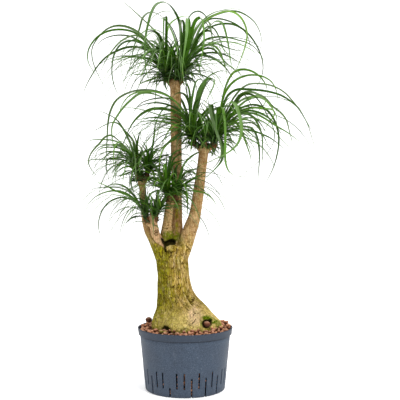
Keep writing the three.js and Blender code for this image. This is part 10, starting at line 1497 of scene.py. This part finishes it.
def all_fans():
    sector = {}
    items = {}
    for node, (tuft, lo, hi) in FANS.items():
        sector.setdefault(tuft, []).append((node, lo, hi))
        items[node] = []
    k = 0
    for node, leaves in LEAVES.items():
        tuft = FANS[node][0]
        at, bud, ring = TUFTS[tuft]
        big = bud > 6.5
        for width, twist, bearing, pts in leaves:
            k += 1
            width = width * 0.86
            rg = random.Random(900 + k)
            r = bud * 0.93
            low = rg.uniform(-9.5, 1.5)
            foot = (at[0] + r * math.cos(bearing), at[1] + r * math.sin(bearing), at[2] + low)
            P = [foot] + [list(q) for q in pts[0:1]] + [list(q) for q in pts[1:]]
            # the first traced point is lifted onto a smooth way out of the foot
            P[1] = [(foot[i] * 0.35 + pts[0][i] * 0.35 + pts[1][i] * 0.30) for i in range(3)]
            L = sum(math.dist(a, b) for a, b in zip(pts[:-1], pts[1:]))
            # the last value sets how strongly the painted shade darkens the leaf foot
            items[node].append((P, width, twist, bearing, 5000 + k, bud + 0.9, max(22, min(54, int(L / 7.5))), 0.9 if big else 0.66))

    def node_for(tuft, bearing):
        best = None
        for node, lo, hi in sector[tuft]:
            mid = (lo + hi) / 2
            d = abs((bearing - mid + math.pi) % (2 * math.pi) - math.pi)
            if best is None or d < best[0]:
                best = (d, node)
        return best[1]

    # leaves too crowded to follow one by one: young ones in the heart, a skirt of short ones, thin arching ones
    for ti, (tuft, (at, bud, ring)) in enumerate(TUFTS.items()):
        big = bud > 6.5
        k = 1.0 if big else 0.62
        rg = random.Random(4000 + ti)
        low = tuft.startswith("front") or tuft.startswith("short")
        kinds = ["heart"] * (11 if big else 6) + ["skirt"] * (15 if big else 6 if low else 9) + ["thin"] * (46 if big else 24 if low else 32)
        kinds += ["collar"] * (24 if big else 4 if low else 14) + ["crown"] * (0 if tuft.startswith("short") else 12 if big else 7)
        grow = np.array(GROWTHS[tuft])
        end = {"tall": (-34.0, 28.0, 902.0), "right": (56.0, -7.0, 712.0), "thin": (-130.5, 6.0, 616.0), "front": (-39.0, -22.0, 560.0)}.get(tuft.split("_")[0])
        for j, kind in enumerate(kinds):
            b = rg.uniform(0, 2 * math.pi)
            if kind == "heart":
                r0, z0, L = rg.uniform(0.5, bud * 0.6), 6, rg.uniform(60, 150) * k
                e0, e1, width = rg.uniform(74, 88), rg.uniform(-82, -35), rg.uniform(3.6, 6.6)
            elif kind == "skirt":
                r0, z0, L = bud * 0.9, rg.uniform(-9, 0), rg.uniform(55, 125) * k
                e0, e1, width = rg.uniform(14, 52), rg.uniform(24, 64) if low or tuft.startswith("tall") else rg.uniform(45, 86), rg.uniform(4.2, 7.0)
            elif kind == "collar":
                r0, z0, L = bud, 0.0, rg.uniform(30, 80) * k
                e0, e1, width = rg.uniform(8, 66), rg.uniform(20, 50) if low or tuft.startswith("tall") else rg.uniform(40, 86), rg.uniform(3.6, 6.4)
            elif kind == "crown":
                r0, z0, L = bud, 0.0, rg.uniform(60, 150) * k
                e0, e1, width = rg.uniform(48, 84), rg.uniform(-50, 50), rg.uniform(4.2, 7.4)
            else:
                r0, z0, L = bud * 0.9, rg.uniform(-5, 5), rg.uniform(150, 390) * (1.0 if big else 0.74)
                e0, e1, width = rg.uniform(34, 82), rg.uniform(58, 88), rg.uniform(2.8, 5.2)
            pts = [(at[0] + r0 * math.cos(b), at[1] + r0 * math.sin(b), at[2] + z0)]
            if kind == "collar":
                f = rg.uniform(1.0, 1.9) if tuft.startswith("tall") else rg.uniform(0.1, 1.9)
                q = grow[int(f)] + (grow[int(f) + 1] - grow[int(f)]) * (f - int(f))
                r0 = q[3] * 0.92
                pts = [(q[0] + r0 * math.cos(b), q[1] + r0 * math.sin(b), q[2])]
            if kind == "crown":
                r0 = rg.uniform(2.0, 9.0) * (1 if big else 0.7)
                pts = [(end[0] + r0 * math.cos(b), end[1] + r0 * math.sin(b), end[2] + rg.uniform(0, 6))]
            n = 9
            drift = rg.uniform(-0.35, 0.35)
            power = rg.uniform(0.80, 1.15)
            for cut in range(20):
                pts = pts[:1]
                for i in range(n):
                    f = (i + 0.5) / n
                    e = math.radians(e0 - (e0 + e1) * f ** power)
                    bb = b + drift * f
                    q = pts[-1]
                    pts.append((q[0] + L / n * math.cos(e) * math.cos(bb), q[1] + L / n * math.cos(e) * math.sin(bb), q[2] + L / n * math.sin(e)))
                # a leaf that would leave the space of the plant is grown shorter
                if all(lo < c < hi for q in pts for c, lo, hi in zip(q, (-316.0, -244.0, 20.0), (388.0, 288.0, 1168.0))):
                    break
                L *= 0.88
            spin = 0.6 if kind == "thin" else 1.0
            # the last value sets how strongly the painted shade darkens the leaf foot
            items[node_for(tuft, b)].append((pts, width, rg.uniform(-spin, spin), b, 7000 + 200 * ti + j, bud + 0.9, 30 if kind == "thin" else 18,
                                             {"heart": 0.35, "thin": 0.9, "skirt": 0.9, "collar": 1.0, "crown": 0.9}[kind] * (1.0 if big else 0.78)))
    return items


# ---------------------------------------------------------------- build
VOXEL = 1.55
SWELL = 0.9

pot = make_pot()
pot.data.materials.append(pot_material())
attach(pot, "root")
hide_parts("pot")

clay = make_clay()
clay.data.materials.append(clay_material())
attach(clay, "root")
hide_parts("clay_granulate")

wood = make_wood()
wood.data.materials.clear()
wood.data.materials.append(wood_material())
wood.data.polygons.foreach_set("material_index", [0] * len(wood.data.polygons))
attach(wood, "root")
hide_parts("caudex_and_stems")

GREENS = [
    (srgb(4, 24, 3), srgb(32, 78, 8), srgb(104, 156, 24)),
    (srgb(3, 21, 4), srgb(28, 72, 8), srgb(90, 144, 24)),
    (srgb(7, 30, 3), srgb(44, 90, 6), srgb(118, 166, 20)),
]
leaf_mats = [leaf_material("leaf_mat_%d" % (i + 1), g) for i, g in enumerate(GREENS)]
fans = all_fans()
for i, (node, items) in enumerate(fans.items()):
    fan = make_fan(node, items)
    fan.data.materials.append(leaf_mats[i % 3])
    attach(fan, "root")
    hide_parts(node)

# the CAD nodes keep plain procedural finishes of their own
plain = {}
for name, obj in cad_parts.items():
    key = "pot" if name == "pot" else "clay" if name == "clay_granulate" else "bark" if name == "caudex_and_stems" else "leaf"
    if key not in plain:
        m, nt, bsdf, out = material("node_%s" % key)
        N = Net(nt)
        a, b = {"pot": (srgb(70, 84, 104), srgb(90, 103, 120)), "clay": (srgb(120, 78, 54), srgb(176, 124, 90)),
                "bark": (srgb(150, 122, 70), srgb(200, 172, 108)), "leaf": (srgb(30, 70, 18), srgb(80, 128, 42))}[key]
        nt.links.new(N.ramp(N.noise(N.object_coord(), 60, 4), [(0.3, a), (0.7, b)]), bsdf.inputs["Base Color"])
        bsdf.inputs["Roughness"].default_value = {"pot": 0.55, "clay": 0.9, "bark": 0.85, "leaf": 0.45}[key]
        plain[key] = m
    obj.data.materials.clear()
    obj.data.materials.append(plain[key])

# ---------------------------------------------------------------- stage, light, camera
n_arc = 24
prof = [(-7.0, 0.0), (2.9, 0.0)] + [(2.9 + 0.9 * math.sin(t), 0.9 - 0.9 * math.cos(t)) for t in np.linspace(0.05, math.pi / 2, n_arc)] + [(3.8, 5.0)]
sv = [(x, y, z - 0.0002) for y, z in prof for x in (-7.0, 7.0)]
sf = [(2 * i, 2 * i + 1, 2 * i + 3, 2 * i + 2) for i in range(len(prof) - 1)]
sm = bpy.data.meshes.new("floor")
sm.from_pydata(sv, [], sf)
sm.polygons.foreach_set("use_smooth", [True] * len(sm.polygons))
floor = bpy.data.objects.new("floor", sm)
bpy.context.scene.collection.objects.link(floor)
fm, fnt, fb, fo = material("floor_mat")
fb.inputs["Base Color"].default_value = (0.90, 0.90, 0.90, 1.0)
fb.inputs["Roughness"].default_value = 0.95
fb.inputs["Specular IOR Level"].default_value = 0.0
fb.inputs["Emission Color"].default_value = (1.0, 1.0, 1.0, 1.0)
fb.inputs["Emission Strength"].default_value = 0.42
floor.data.materials.append(fm)

world = bpy.data.worlds.new("studio")
bpy.context.scene.world = world
world.use_nodes = True
bg = world.node_tree.nodes["Background"]
bg.inputs["Color"].default_value = (1.0, 1.0, 1.0, 1.0)
bg.inputs["Strength"].default_value = 0.42


def area(name, loc, size, power, aim=(0.0, 0.0, 0.55)):
    d = bpy.data.lights.new(name, "AREA")
    d.shape, d.size, d.size_y, d.energy = "RECTANGLE", size[0], size[1], power
    o = bpy.data.objects.new(name, d)
    o.location = loc
    o.rotation_euler = (Vector(aim) - Vector(loc)).to_track_quat("-Z", "Y").to_euler()
    bpy.context.scene.collection.objects.link(o)
    return o


area("key", (1.6, -2.2, 2.6), (1.1, 1.1), 82)
area("fill", (-2.2, -1.8, 1.5), (1.8, 1.8), 16)
area("top", (0.0, 0.1, 3.0), (1.8, 1.6), 50)

cam_d = bpy.data.cameras.new("camera")
cam_d.lens, cam_d.sensor_width = 64.26, 36.0
cam_d.clip_start, cam_d.clip_end = 0.05, 60
cam = bpy.data.objects.new("camera", cam_d)
cam.location = (0.0435, -2.100, 0.552)
cam.rotation_euler = (math.pi / 2, 0.0, 0.0)
bpy.context.scene.collection.objects.link(cam)
bpy.context.scene.camera = cam
bpy.context.scene.view_settings.view_transform = "Standard"
